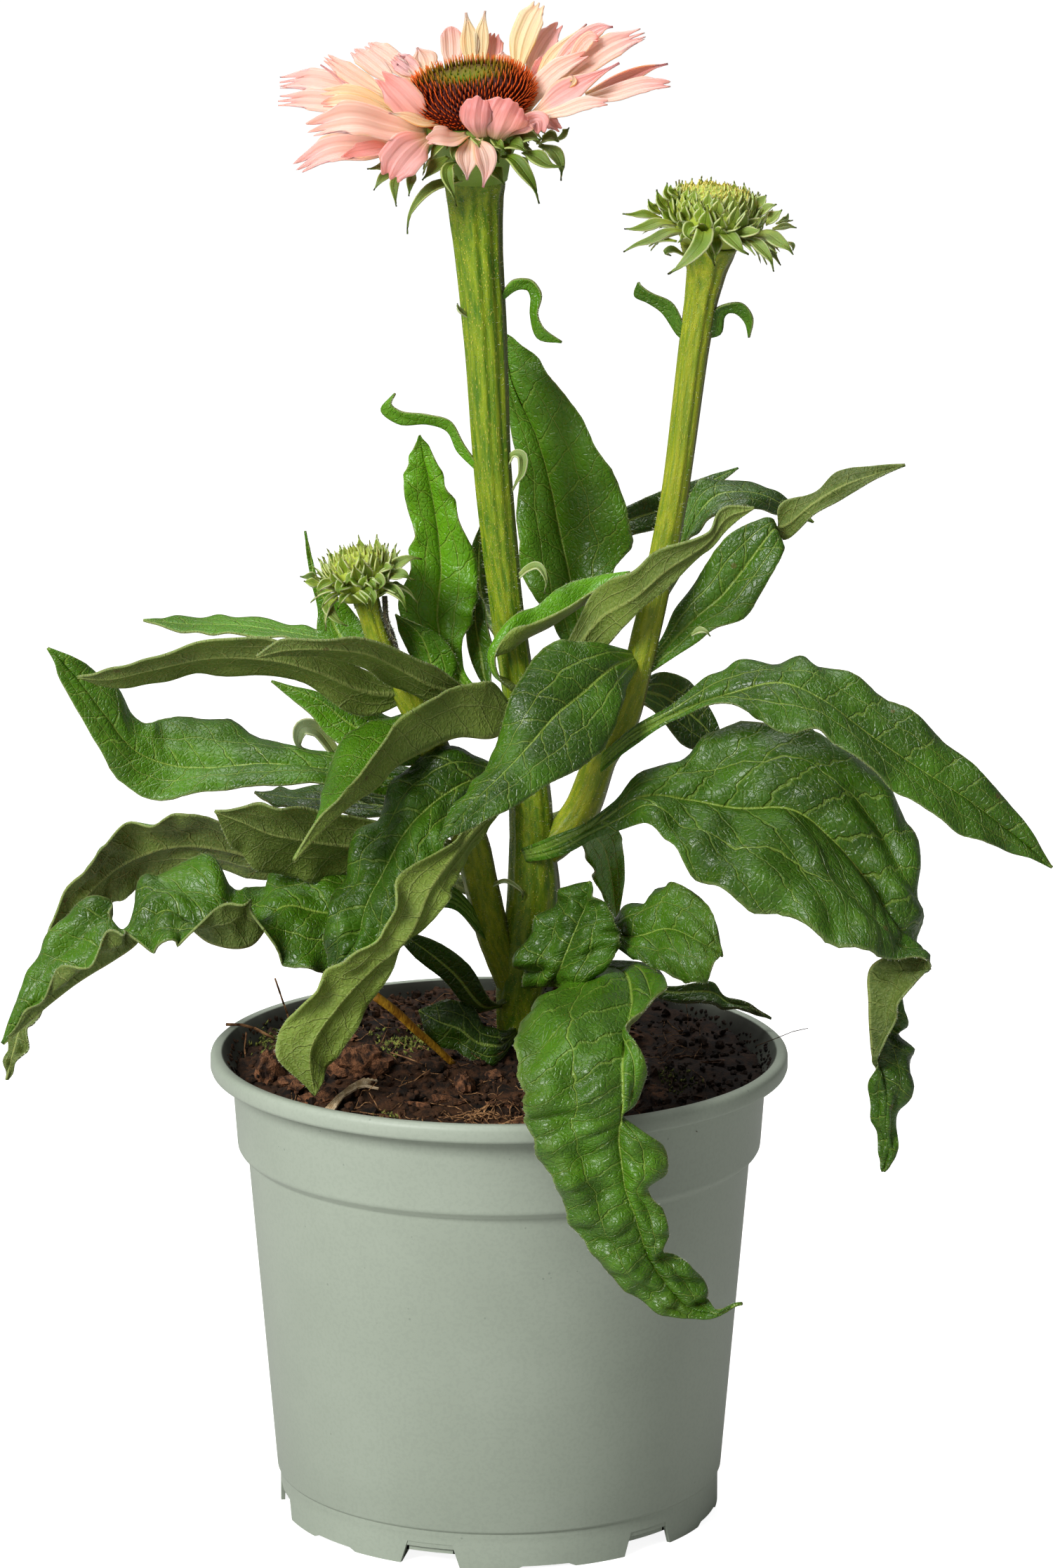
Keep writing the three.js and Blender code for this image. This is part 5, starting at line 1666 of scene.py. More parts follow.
    def weigh(self, bm: bmesh.types.BMesh) -> None:
        """Marks where the blade is as thick as its stalk, thinning to the margin and the tip."""
        layer = bm.verts.layers.deform.verify()
        span = bm.loops.layers.uv["span"]
        for vert in bm.verts:
            along = vert.link_loops[0][span].uv.y
            vert[layer][0] = clamp(1 - along / STALK_SHARE)

    def fringe(self, heap: Heap, random: Random) -> None:
        """Sets short pale hairs along both margins.

        Args:
            heap: takes the hairs.
            random: the stream they are drawn from.
        """
        for side in (-1, 1):
            for _ in range(int(self.length / HAIR_SPACING)):
                along = random.uniform(0.05, 0.99)
                foot = self.point(side * 0.995, along)
                rib = self.rib.at(along)
                up = self.station(round(along, 3))[3]
                lean = (foot - rib).normalized() + self.rib.along(along) * random.uniform(-0.2, 0.9)
                lean += up * random.uniform(-0.5, 0.5)
                heap.cone(foot, foot + lean.normalized() * random.uniform(0.35, 0.85), 0.05)


@dataclass
class Foliage:
    """All the leaves, with their finishes and the hairs on their margins."""

    upper: LeafSkin = LeafSkin(
        Side.UPPER, deep=tint("1e3a06"), fresh=tint("58900f"), vein=tint("9db54e"),
        roughness=0.31, vein_share=0.52, relief=1.0, dust=0.04,
    )
    under: LeafSkin = LeafSkin(
        Side.UNDER, deep=tint("384a15"), fresh=tint("6f852e"), vein=tint("a4ae62"),
        roughness=0.6, vein_share=0.4, relief=0.8, dust=0.13,
    )
    seed: int = 41

    @staticmethod
    def cut(name: str) -> Cut:
        """Gives the build of the leaf of a name."""
        if name in STRAP_LEAVES:
            return Cut.STRAP
        return Cut.SMALL if name in SMALL_LEAVES else Cut.BROAD

    def build(self) -> None:
        """Makes every leaf."""
        skins = [self.upper.material(), self.under.material()]
        random = Random(self.seed)
        heap = Heap()
        for seed, (name, rows) in enumerate(LEAF_ROWS.items()):
            leaf = Leaf(name, rows, LOOKS.get(name, Look()), self.cut(name), seed)
            leaf.build(skins)
            leaf.fringe(heap, random)
        make_piece("leaf_hairs", heap.done(), [hair_finish()])


STRAP_LEAVES = {
    "leaf_stem_curl_right", "leaf_stem_curl_left", "leaf_bud_strap_left", "leaf_bud_strap_right",
}
SMALL_LEAVES = {
    "leaf_left_back_thin", "leaf_left_yellow", "leaf_left_shaded", "leaf_front_strap", "leaf_small_left",
    "leaf_upright_narrow", "leaf_back_dark", "leaf_behind_left_bud", "leaf_right_hooked", "leaf_back_high",
    "leaf_right_shaded", "leaf_right_low_back", "leaf_back_hanging", "leaf_basal", "leaf_base_left",
}
# Tone, quilt, ruffle and pitch, then jag and age where the leaf has its own. Tone is partly painted light:
# low for leaves in shade, high for backlit ones.
LOOKS = {
    "leaf_left_back_thin": Look(0.6, 0.2, 0.4, 14),
    "leaf_left_long": Look(0.45, 0.3, 0.6, 30),
    "leaf_left_over_stem": Look(0.4, 0.3, 0.6, 26),
    "leaf_left_yellow": Look(0.65, 0.4, 0.5, 20),
    "leaf_left_kinked": Look(0.35, 0.9, 0.3, 24),
    # painted shade: a low tone for a leaf that lies in shade
    "leaf_left_shaded": Look(0.15, 0.5, 0.8, 16),
    "leaf_centre_folded": Look(0.6, 0.3, 0.7, 24),
    "leaf_left_olive": Look(0.4, 0.4, 0.8, 20),
    "leaf_left_wavy": Look(0.35, 1.6, 1.0, 30),
    "leaf_left_drooping": Look(0.3, 2.2, 2.0, 17),
    "leaf_centre_quilted": Look(0.15, 3.0, 1.2, 16),
    "leaf_centre_tongue": Look(0.9, 1.2, 1.2, 22),
    "leaf_front_arrow": Look(0.2, 0.7, 0.9, 20),
    "leaf_right_lance": Look(0.5, 0.3, 0.6, 22),
    "leaf_front_strap": Look(0.95, 0.2, 0.3, 16),
    "leaf_upright_left": Look(1.0, 0.5, 1.4, 11),
    "leaf_small_left": Look(0.5, 0.4, 0.7, 9),
    "leaf_behind_left_bud": Look(0.6, 0.3, 0.4, 12),
    "leaf_upright_back": Look(0.5, 0.9, 0.9, 18),
    "leaf_right_arching": Look(0.25, 0.9, 1.1, 19),
    "leaf_right_twisted": Look(0.3, 0.8, 0.8, 18),
    "leaf_right_hooked": Look(0.15, 0.5, 0.7, 14),
    "leaf_back_high": Look(0.15, 0.3, 0.5, 15),
    # painted shade: a low tone for a leaf that lies in shade
    "leaf_right_shaded": Look(0.1, 0.5, 0.7, 14),
    "leaf_right_large": Look(0.2, 2.4, 1.4, 18, 0.06),
    "leaf_over_rim": Look(0.36, 2.8, 0.6, 17, 0.07, 0.35),
    "leaf_low_puckered": Look(0.2, 2.6, 1.2, 13, 0.07),
    "leaf_low_right": Look(0.28, 2.2, 1.2, 13, 0.06, 0.3),
    "leaf_right_low_back": Look(0.1, 0.6, 1.0, 16, 0.08, 0.9),
    # painted backlight: the full tone for a leaf lit from behind
    "leaf_back_hanging": Look(1.0, 0.6, 0.8, 15),
    "leaf_basal": Look(0.05, 1.6, 0.5, 10, 0.08),
    "leaf_base_left": Look(0.0, 0.3, 0.4, 14),
    "leaf_stem_curl_right": Look(0.7, 0.1, 0.3, 7),
    "leaf_stem_curl_left": Look(0.7, 0.1, 0.3, 8),
    "leaf_bud_strap_left": Look(0.45, 0.1, 0.2, 7, age=0.2),
    "leaf_bud_strap_right": Look(0.45, 0.1, 0.2, 7, age=0.2),
}
# The rows of each blade, from the root point to the tip, seen from the upper side.
LEAF_ROWS = {
    "leaf_left_back_thin": [
        [-29, -2, 248], [-47, 14, 255, -48, 20, 256, -48, 26, 257],
        [-58, 14, 258, -58, 22, 258, -59, 30, 259], [-76, 18, 259, -77, 26, 260, -77, 34, 261],
        [-93, 22, 259, -93, 28, 260, -93, 34, 261], [-105, 30, 261],
    ],
    "leaf_left_long": [
        [-26, -5, 246], [-39, -14, 255, -38, -12, 248, -39, -8, 240],
        [-51, -28, 264, -52, -22, 256, -53, -14, 249], [-62, -32, 267, -63, -26, 260, -63, -16, 253],
        [-82, -34, 267, -82, -26, 261, -83, -16, 254], [-99, -30, 262, -100, -24, 257, -100, -16, 252],
        [-112, -26, 257, -112, -22, 254, -112, -18, 251], [-121, -20, 254],
    ],
    "leaf_left_over_stem": [
        [1, 3, 242.5], [-9, -7, 248, -9, -6, 246, -9, -5, 243],
        [-18, -16, 256, -19, -13, 250, -20, -10, 245], [-27, -24, 262, -28, -19, 256, -31, -13, 250],
        [-38, -34, 268, -38, -30, 263, -38, -24, 257], [-52, -40, 269, -51, -38, 266, -52, -34, 263],
        [-62, -41, 269, -61, -40, 266, -61, -38, 264], [-69, -40, 264],
    ],
    "leaf_left_yellow": [
        [-19, -3, 226], [-31, -8, 226, -31, -4, 232, -30, 2, 237],
        [-46, -10, 232, -43, -6, 237, -41, 0, 241], [-55, -9, 241, -52, -6, 244, -51, -2, 245],
        [-66, -6, 250],
    ],
    "leaf_left_kinked": [
        [-15, -2, 218], [-31, -6, 216, -31, -3, 220, -31, 3, 223],
        [-50, -14, 221, -49, -4, 223, -50, 6, 226], [-67, -16, 221, -68, -5, 225, -67, 10, 229],
        [-83, -16, 220, -84, -6, 224, -81, 12, 234], [-99, -14, 216, -96, -6, 225, -97, 8, 236],
        [-111, -14, 224, -106, -8, 230, -103, 0, 236], [-119, -14, 238, -115, -10, 242, -112, -4, 248],
        [-126, -14, 252, -123, -11, 253, -119, -8, 255], [-130, -12, 261],
    ],
    "leaf_left_shaded": [
        [-12, 4, 207], [-31, 14, 205, -31, 18, 207, -31, 22, 210],
        [-52, 24, 204, -52, 32, 206, -54, 40, 208], [-65, 30, 204, -64, 36, 206, -65, 42, 207],
        [-73, 38, 207],
    ],
    "leaf_centre_folded": [
        [4, 0.5, 238], [-2, -8, 250, -2, -8, 234, -4, 4, 239], [-12, -16, 250, -12, -12, 235, -15, 2, 242],
        [-22, -22, 247, -22, -18, 232, -25, -4, 241], [-31, -28, 240, -30, -26, 229, -37, -12, 239],
        [-39, -38, 231, -35, -34, 225, -46, -20, 234], [-44, -48, 226, -41, -44, 223, -50, -30, 225],
        [-51, -56, 221, -48, -54, 219, -51, -42, 220], [-58, -62, 210],
    ],
    "leaf_left_olive": [
        [-9, 3, 197], [-27, -6, 206, -27, -3, 200, -27, 2, 194],
        [-45, -14, 212, -45, -10, 202, -45, 0, 190], [-57, -24, 216, -56, -16, 205, -58, -6, 191],
        [-66, -28, 218, -66, -20, 208, -69, -12, 195], [-75, -26, 217, -74, -22, 212, -77, -16, 203],
        [-82, -22, 215],
    ],
    "leaf_left_wavy": [
        [-7, 7, 184], [-23, 16, 192, -23, 19, 188, -23, 21, 184],
        [-61, 26, 189, -61, 30, 183.5, -61, 34, 179], [-79, 26, 198.5, -78.5, 34, 189.5, -77, 42, 182],
        [-96.5, 26, 202, -96.5, 36, 191, -96.5, 44, 180.5],
        [-113.5, 27, 197, -111, 37, 186, -110.5, 44, 175.5],
        [-122, 28, 189, -120.5, 36, 179, -120, 42, 169],
        [-132.5, 28, 171, -130, 32, 167, -127.5, 36, 161.5],
        [-138, 22, 160, -135.5, 24, 156.5, -131.5, 26, 151.5],
        [-144, 8, 144.5, -141, 6, 144, -137.5, 4, 145], [-145.5, 0, 137, -143, -1, 137, -140, -2, 138],
        [-145, -4, 130],
    ],
    "leaf_left_drooping": [
        [-4, 6, 171], [-15, -4, 182, -15, -3, 185, -15, -1, 188],
        [-31, -12, 178, -31, -6, 185, -31, 2, 189], [-52, -20, 166.5, -50, -9, 181.5, -48.5, 7, 192.5],
        [-63, -24, 172.5, -63, -12, 184, -67, 2, 190.5], [-72.5, -25, 190, -72.5, -17, 174, -75, -4, 187],
        [-83, -27, 185.5, -83.5, -18, 175, -84, 1, 194], [-98, -26, 174, -97, -14, 183.5, -102.5, 0, 190],
        [-107, -25, 179, -106, -19, 174.5, -109.5, -12, 176.5],
        [-109.5, -27, 180, -111.5, -19, 170.5, -116, -5, 186],
        [-122, -26, 171, -122.5, -19, 163.5, -130, -9, 175],
        [-133.5, -22, 159.5, -133.5, -18, 154.5, -138.5, -14, 161], [-144.5, -18, 144.5],
    ],
    "leaf_centre_quilted": [
        [4, 4, 215], [-6, -14, 214, -6, -10, 222, -8, -4, 228],
        [-14, -26, 209, -18, -18, 217, -26, -8, 226], [-17, -34, 201, -27, -24, 209, -35, -14, 214],
        [-21, -40, 191, -33, -30, 199, -43, -20, 204], [-27, -44, 184, -38, -34, 190, -47, -26, 193],
        [-34, -44, 177, -41, -38, 180, -50, -34, 179], [-50, -40, 170],
    ],
    "leaf_centre_tongue": [
        [1, 3, 212.5], [-6, -13, 211, -5, -12, 209.5, -4, -11, 206.5],
        [-14, -30, 207, -12.5, -29, 204, -11.5, -28, 199.5], [-28, -50, 202, -20, -46, 197, -14, -42, 195],
        [-32, -52, 187, -26, -48, 184, -21, -44, 187], [-44, -52, 179, -37, -48, 174, -30, -44, 175],
        [-53, -52, 169, -46, -48, 164, -38, -44, 161], [-64, -46, 152, -54, -48, 151, -47, -44, 147],
        [-53, -46, 137],
    ],
    "leaf_front_arrow": [
        [39, 7, 254], [36, -8, 247, 32, -8, 254, 25, -8, 262], [33, -18, 239, 24, -14, 248, 15, -10, 262],
        [28, -26, 232, 16, -22, 243, 6, -16, 252], [18, -34, 228, 9, -28, 236, 0, -22, 238],
        [8, -40, 223, 1, -36, 229, -4, -30, 228], [-4, -44, 217, -6, -40, 223, -11, -36, 222],
        [-17, -46, 212],
    ],
    "leaf_right_lance": [
        [8, 5, 245], [18, 2, 249, 18, 2, 252, 17, 3, 255], [30, 1, 258, 29, 0, 267, 28, -1, 276],
        [39, -6, 269, 39, -8, 275, 38, -10, 283], [48, -10, 278, 48, -13, 284, 47, -16, 291],
        [59, -14, 289, 60, -16, 293, 60, -18, 296], [66, -16, 297, 65, -17, 300, 64, -18, 303],
        [73, -18, 303],
    ],
    "leaf_front_strap": [
        [3.4, 2.2, 247], [-2, -2.5, 252, -1, -3, 251, 0, -3.5, 250.5],
        [-3, -3, 258, -2, -4.5, 256.5, -1, -6, 258], [4, -2, 268.5, 3, -5, 259, 4.5, -9, 266.5],
        [11, 3, 270.5, 8, -2, 262, 10, -7, 267], [18, 6, 275.5, 15, 1, 265, 19, -4, 271],
        [27, 8, 278, 23, 5, 269.5, 27.5, 3, 274.5], [38, 6, 280],
    ],
    "leaf_upright_left": [
        [1, 6, 239], [-12, 4, 245, -11, 5, 247, -9, 6, 248], [-23, 7, 254, -16, 10, 255, -11, 9, 256],
        [-29, 12, 267, -18, 14, 265, -8, 11, 265], [-26, 13, 282, -17, 16, 278, -6, 13, 275],
        [-25, 13, 293, -18, 16, 291, -11, 13, 294], [-28, 12, 304, -20, 14, 304, -15, 12, 304],
        [-26, 12, 312, -22, 13, 313, -19, 12, 313], [-23, 12, 319],
    ],
    "leaf_small_left": [
        [-23, -3, 242], [-20, 0, 246, -18, 0, 247, -16, 0, 247], [-26, 4, 256, -20, 3, 254, -12, 4, 253],
        [-29, 4, 262, -23, 3, 262, -17, 4, 261], [-30, 2, 268],
    ],
    "leaf_upright_narrow": [
        [2.4, 10, 241], [-5, 13, 245.5, -3.5, 13, 245.5, -2, 12, 245.5],
        [-9, 15, 255, -5.5, 16, 254.5, -2, 14, 254.5], [-9.5, 16, 263.5, -7, 17, 264, -3.5, 15, 263.5],
        [-8.5, 16, 270, -7, 16, 270.5, -5, 15, 270], [-9, 16, 274.5],
    ],
    "leaf_back_dark": [
        [0, 12, 261], [-8, 28, 267, -5, 28, 267, -2, 28, 267], [-9, 32, 279, -6, 32, 279, -3, 32, 279],
        [-5, 32, 290],
    ],
    "leaf_behind_left_bud": [
        [-33, -2, 254], [-46, 7, 253.5, -43, 9, 256.5, -39, 11, 260],
        [-53, 12, 260, -48, 13, 262, -41, 15, 264], [-53, 14, 267, -50, 14, 268.5, -45.5, 15, 269.5],
        [-54.5, 14, 274, -53.5, 14, 274.5, -52, 14, 274.5],
        [-56, 14, 282.5, -55, 14, 282.5, -54.5, 14, 282.5], [-56.5, 14, 290.5],
    ],
    "leaf_upright_back": [
        [36, 12, 239], [23, 18, 250, 25, 20, 251, 27, 20, 252], [16, 24, 261, 23, 26, 262, 31, 24, 265],
        [8, 26, 273, 21, 30, 273, 34, 26, 277], [5, 30, 287, 18, 34, 286, 39, 28, 286],
        [6, 32, 301, 15, 34, 301, 35, 28, 302], [4, 32, 316, 11, 33, 315, 26, 28, 318],
        [1, 32, 332, 4, 32, 331, 16, 28, 333], [0, 31, 342, 2, 31, 341, 8, 30, 342], [1, 30, 347],
    ],
    "leaf_right_arching": [
        [28, 8, 220], [39, -2, 235, 39, -3, 233, 40, -4, 231], [52, -6, 244, 54, -8, 242, 55, -10, 241],
        [65, -2, 253, 67, -10, 247, 69, -16, 244], [79, -2, 255, 81, -14, 251, 80, -24, 239],
        [92, -4, 255, 92, -16, 247, 92, -26, 239], [107, -8, 249, 106, -18, 237, 105, -28, 229],
        [121, -12, 240, 121, -20, 227, 121, -28, 218], [137, -16, 227, 135, -20, 218, 134, -26, 209],
        [150, -18, 213, 148, -20, 208, 148, -22, 203], [160, -20, 198],
    ],
    "leaf_right_twisted": [
        [43, 10, 250], [47, 14, 257, 49, 12, 256, 53, 10, 255], [52, 18, 266, 57, 14, 264, 61, 8, 261],
        [59, 18, 277, 65, 14, 271, 72, 8, 267], [66, 16, 288, 72, 14, 280, 79, 10, 277],
        [76.5, 17, 293.5, 79.5, 14, 290.5, 83, 12, 285.5], [80, 20, 292.5, 81, 21, 290, 82, 22, 288],
        [83, 20, 286.5, 84, 19, 291.5, 82, 18, 297.5], [92, 15, 295.5, 92, 16, 298.5, 92, 18, 301.5],
        [101, 13, 301, 100.5, 14, 304, 99, 17, 307.5], [109.5, 13, 306, 109, 14, 307, 108.5, 15, 309.5],
        [118, 14, 310],
    ],
    "leaf_right_hooked": [
        [47, 14, 271], [51, 20, 281, 52, 18, 280, 54, 17, 279],
        [55.5, 32, 296.5, 57, 27, 290.5, 56, 21, 287], [60, 38, 301.5, 64, 33, 297.5, 61, 25, 291],
        [69.5, 41, 300, 72, 34, 298.5, 68.5, 27, 295], [79, 41, 299, 78.5, 35, 297, 75, 29, 295],
        [86, 41, 295, 84.5, 38, 293.5, 81, 35, 291.5], [93, 40, 288.5],
    ],
    "leaf_back_high": [
        [1, 8, 272], [1, 26, 279, 2, 26, 277, 3, 26, 274], [13, 41, 281, 15, 41, 278, 17, 40, 275],
        [38, 47, 292, 39, 46, 288, 40, 43, 284], [48, 50, 296, 49.5, 50, 291, 51, 47, 286.5],
        [61, 51, 300, 62, 50, 298.5, 63, 49, 296.5], [71, 50, 303],
    ],
    "leaf_right_shaded": [
        [40, 13, 243], [48, 22, 247, 48, 20, 240, 48, 16, 234], [57, 24, 243, 57, 20, 234, 54, 16, 226],
        [63, 22, 234, 62, 20, 229, 61, 18, 224], [67, 20, 223],
    ],
    "leaf_right_large": [
        [8, 4, 196], [16, -3, 203, 17, -4, 201, 18, -5, 198], [28, -5, 209, 28, -6, 207, 29, -8, 204],
        [42, 0, 222, 42, -8, 216, 43, -16, 210], [55, 4, 226, 55, -8, 215, 53, -24, 201],
        [66, 6, 234, 69, -10, 213, 66, -32, 192], [84, 4, 235, 85, -12, 213, 80, -36, 188],
        [100, 2, 230, 96, -14, 205, 94, -38, 180], [115, -2, 214, 108, -18, 191, 104, -38, 177],
        [121, -6, 199, 114, -24, 182, 113, -34, 174], [120.5, -10, 177.5, 118, -22, 175, 123.5, -32, 173.5],
        [118.5, -15, 165.5, 108, -22, 168.5, 123.5, -29, 169.5],
        [116.5, -17, 154.5, 107.5, -24, 158, 116.5, -29, 160.5],
        [118, -17, 147, 108, -24, 148.5, 113.5, -28, 151.5],
        [120.5, -19, 140.5, 109, -24, 141, 111, -27, 142.5],
        [119, -22, 130, 112.5, -25, 132.5, 107.5, -25, 135],
        [117, -23, 121.5, 112.5, -25, 122, 109, -23, 124],
        [116, -23, 114, 113.5, -24, 113.5, 111, -23, 114], [112, -24, 108],
    ],
    "leaf_over_rim": [
        [10, 8, 161], [26, -6, 166, 25, -6, 164, 22, -8, 161], [43, -26, 170, 36, -26, 168, 18, -24, 163],
        [48, -50, 169, 38, -50, 165, 9, -44, 162], [37, -72, 166, 36, -72, 161, 5, -66, 160],
        [41, -88, 157, 34.5, -89, 156, 5.5, -86, 156], [39.5, -91, 149, 34.5, -93, 149, 6.5, -93, 149.5],
        [35.5, -92, 143, 34, -93, 143, 7.5, -93, 144], [45.5, -93, 136, 33.5, -93, 138, 9, -93, 137.5],
        [47, -93, 128, 34.5, -93, 129, 13, -93, 129], [41.5, -93, 123, 35.5, -93, 122.5, 17, -93, 122.5],
        [45.5, -93, 117, 38, -93, 115.5, 19, -92, 114.5],
        [47.5, -92, 109.5, 40, -92, 108.5, 22.5, -92, 108],
        [46, -92, 104.5, 42, -92, 102.5, 28.5, -91, 101], [54, -90, 99.5, 45, -91, 97.5, 33.5, -90, 94.5],
        [58.5, -89, 92, 49.5, -90, 91, 41, -90, 88.5], [59.5, -89, 87, 54.5, -89, 86.5, 48, -89, 85.5],
        [63, -88, 86.5, 63.5, -88, 86, 63, -88, 85.5], [68.5, -88, 88],
    ],
    "leaf_low_puckered": [
        [8, 7, 156], [7, -16, 164, 17, -24, 167.5, 30, -32, 170],
        [6, -18, 168.5, 19.5, -26, 174, 35, -30, 178], [11.5, -18, 181.5, 23, -25, 182.5, 34, -30, 182.5],
        [18.5, -18, 190.5, 25.5, -24, 188.5, 31.5, -28, 189], [26, -24, 194.5],
    ],
    "leaf_low_right": [
        [11, 7, 173], [28, -6, 179, 28, -8, 177, 28, -10, 175], [40, -16, 186, 39, -24, 178, 41, -34, 173],
        [48, -20, 193, 49, -30, 182, 50, -42, 171], [60, -30, 189, 58, -38, 180, 58, -46, 171],
        [64, -42, 177],
    ],
    "leaf_right_low_back": [
        [12, 12, 163], [31, 16, 159, 31, 16, 157, 31, 15, 156], [50, 20, 152, 50, 19, 150.5, 50, 17, 148.5],
        [63.5, 23, 152.5, 63.5, 22, 149.5, 62.5, 19, 146.5], [67.5, 23, 148, 68, 22, 146.5, 68, 20, 145],
        [75, 22, 146, 75, 21, 145, 75, 20, 144], [81, 20, 142],
    ],
    "leaf_back_hanging": [
        [13, 11, 204], [24, 32, 204, 23, 32, 199, 21, 30, 197], [35, 50, 194, 31, 50, 188, 27, 46, 184],
        [38, 62, 177, 34, 62, 175, 30, 58, 173], [36, 68, 159],
    ],
    "leaf_basal": [
        [5, 10, 141], [-2.5, -10, 135.5, -1, -7, 141, 0.5, -3, 144.5],
        [-9, -10, 138, -7, -8, 142.5, -4.5, -4, 146.5], [-12, -9, 139.5, -11.5, -9, 146.5, -8, -4, 152.5],
        [-19.5, -9, 142.5, -18.5, -8, 149, -16.5, -5, 154], [-23.5, -6, 151.5],
    ],
    "leaf_base_left": [
        [2, 10, 150], [-8, -2, 150, -5, -2, 152, -2, -2, 153], [-16, -8, 161, -13, -8, 163, -9, -8, 166],
        [-25, -14, 170, -23, -14, 173, -20, -14, 175], [-31, -18, 179],
    ],
    "leaf_stem_curl_right": [
        [0, 1, 360], [4, -1, 366, 5, 0, 364, 5, 1, 363], [9, -1, 366, 9, 0, 365, 8, 1, 363],
        [12, -1, 362, 11, 0, 362, 9, 1, 361], [11, -1, 356, 10, 0, 356, 9, 1, 356],
        [13, -1, 352, 12, 0, 350, 11, 1, 349], [18, 0, 348],
    ],
    "leaf_stem_curl_left": [
        [-6, 1, 311], [-12, 2, 316, -11, 1, 317, -10, 0, 318], [-15, 2, 322, -15, 1, 323, -14, 0, 325],
        [-21, 2, 324, -21, 1, 325, -21, 0, 327], [-29, 2, 324, -28, 1, 326, -28, 0, 328],
        [-34, 2, 328, -33, 1, 329, -31, 0, 330], [-30, 1, 333],
    ],
    "leaf_bud_strap_left": [
        [56, 9, 347], [52, 10, 348, 53, 9, 349, 54, 8, 350], [47, 10, 355, 49, 9, 356, 50, 8, 358],
        [43, 10, 358, 44, 9, 359, 44, 8, 361], [39, 10, 360, 40, 9, 362, 41, 8, 363], [40, 9, 364],
    ],
    "leaf_bud_strap_right": [
        [58, 9, 348], [61, 8, 351, 62, 9, 350, 64, 10, 349], [62, 8, 356, 63, 9, 355, 65, 10, 354],
        [66, 8, 358, 66, 9, 357, 66, 10, 355], [70, 8, 358, 69, 9, 356, 68, 10, 355],
        [73, 8, 354, 72, 9, 353, 71, 10, 352], [72, 9, 348],
    ],
}


# ---------------------------------------------------------------- heads
FRONT = (0.0, -0.7, 0.7)  # the way that most upper faces look: towards the front and up


class Tip(Enum):
    """How a strip narrows."""

    TOOTHED = (0.36, 0.7, 0.04)
    POINTED = (0.94, 0.45, 0.0)
    FAN = (0.06, 0.8, 0.22)
    LENS = (0.97, 0.3, 0.0)

    def __init__(self, lost: float, start: float, roundness: float) -> None:
        """Names the values, all shares.

        Args:
            lost: how much of the width is gone at the tip.
            start: where along the strip that begins.
            roundness: how far the margins fall short of the middle at the tip.
        """
        self.lost = lost
        self.start = start
        self.roundness = roundness


KEEL = 0.24  # height of the lengthwise folds of a strip
SCALE_THICKNESS = 0.45
POINT_THICKNESS = 0.35
CURL_THICKNESS = 0.5
CURL_SEED = 77


@dataclass(frozen=True)
class Strip:
    """A ray floret or a green scale: a blade along given points that faces one way."""

    points: Sequence[Row]
    width: float
    tip: Tip = Tip.LENS
    teeth: int = 3
    hue: float = 0.5
    shade: float = 0.3  # how dark the tip is
    cup: float = 0.2  # how far the margins rise, as a share of the half width
    facing: Row = FRONT
    fray: float = 0.12  # depth of the teeth, as a share of the length
    foot: float = 0.3  # width at the root, as a share
    folds: int = 3

    def half(self, along: float) -> float:
        """Gives half the width at a share of the length."""
        grown = self.foot + (1 - self.foot) * ease(along, 0, 0.42)
        return self.width / 2 * grown * (1 - self.tip.lost * ease(along, self.tip.start, 1))

    def grow(self, heap: Heap, random: Random, columns: int = 6, rows: int = 12) -> None:
        """Adds the strip to a heap, with its own tint on the map "tone".

        Args:
            heap: takes the strip.
            random: the stream that its teeth and ripples are drawn from.
            columns: faces across.
            rows: faces along.
        """
        line = Guide(self.points)
        facing = Vector(self.facing).normalized()
        notch = self.fray * random.uniform(0.7, 1.3)
        lean, wave = random.uniform(-0.3, 0.3), random.uniform(0, ANY_TURN)
        swell = 0.03 * self.width

        def place(across: float, along: float) -> Vector:
            """Gives one point of the strip."""
            tooth = (across + 1 + lean * (1 - across * across)) / 2 * self.teeth
            lobe = abs(tooth % 1 - 0.5) * 2
            cut = notch * lobe ** 1.2 if self.teeth > 1 else 0.0
            share = along * (1 - (cut + self.tip.roundness * across * across) * ease(along, 0.6, 1))
            forward = line.along(share)
            normal = (facing - forward * facing.dot(forward)).normalized()
            level = normal.cross(forward)
            half = self.half(along)
            keels = KEEL * math.cos(self.folds * math.pi * across) * ease(along, 0, 0.2)
            ripple = swell * across * across * math.sin(8 * along + wave + 2 * across)
            rise = self.cup * half * across * across + (keels + ripple) * min(1, self.width / 8)
            return line.at(share) + level * (half * across) + normal * rise

        bm = sheet(columns, rows, place)
        tone = bm.loops.layers.uv.new("tone")
        for face in bm.faces:
            for loop in face.loops:
                loop[tone].uv = (self.hue, self.shade)
        heap.shape(bm)


@dataclass(frozen=True)
class Head:
    """A flower or a bud in its own frame: ring of florets at zero height, axis along +Z."""

    at: Row
    tilt_forward: float  # degrees
    tilt_right: float

    def frame(self) -> Matrix:
        """Gives the turn and move from the head's frame to the plant's."""
        forward = Matrix.Rotation(math.radians(self.tilt_forward), 4, "X")
        right = Matrix.Rotation(math.radians(self.tilt_right), 4, "Y")
        return Matrix.Translation(Vector(self.at)) @ forward @ right

    def seat(self, bm: bmesh.types.BMesh) -> bmesh.types.BMesh:
        """Moves a mesh from the head's frame to the plant's."""
        bmesh.ops.transform(bm, matrix=self.frame(), verts=bm.verts)
        return bm

    def plain(self, bm: bmesh.types.BMesh, hue: float) -> bmesh.types.BMesh:
        """Moves a body to its place and gives it one tint.

        Args:
            bm: the body, in the head's frame.
            hue: its tint, from 0 to 1.

        Returns:
            The same body, in the plant's frame.
        """
        span, tone = bm.loops.layers.uv.new("span"), bm.loops.layers.uv.new("tone")
        for face in bm.faces:
            for loop in face.loops:
                loop[span].uv = (0.5, 0.0)
                loop[tone].uv = (hue, 0)
        return self.seat(bm)


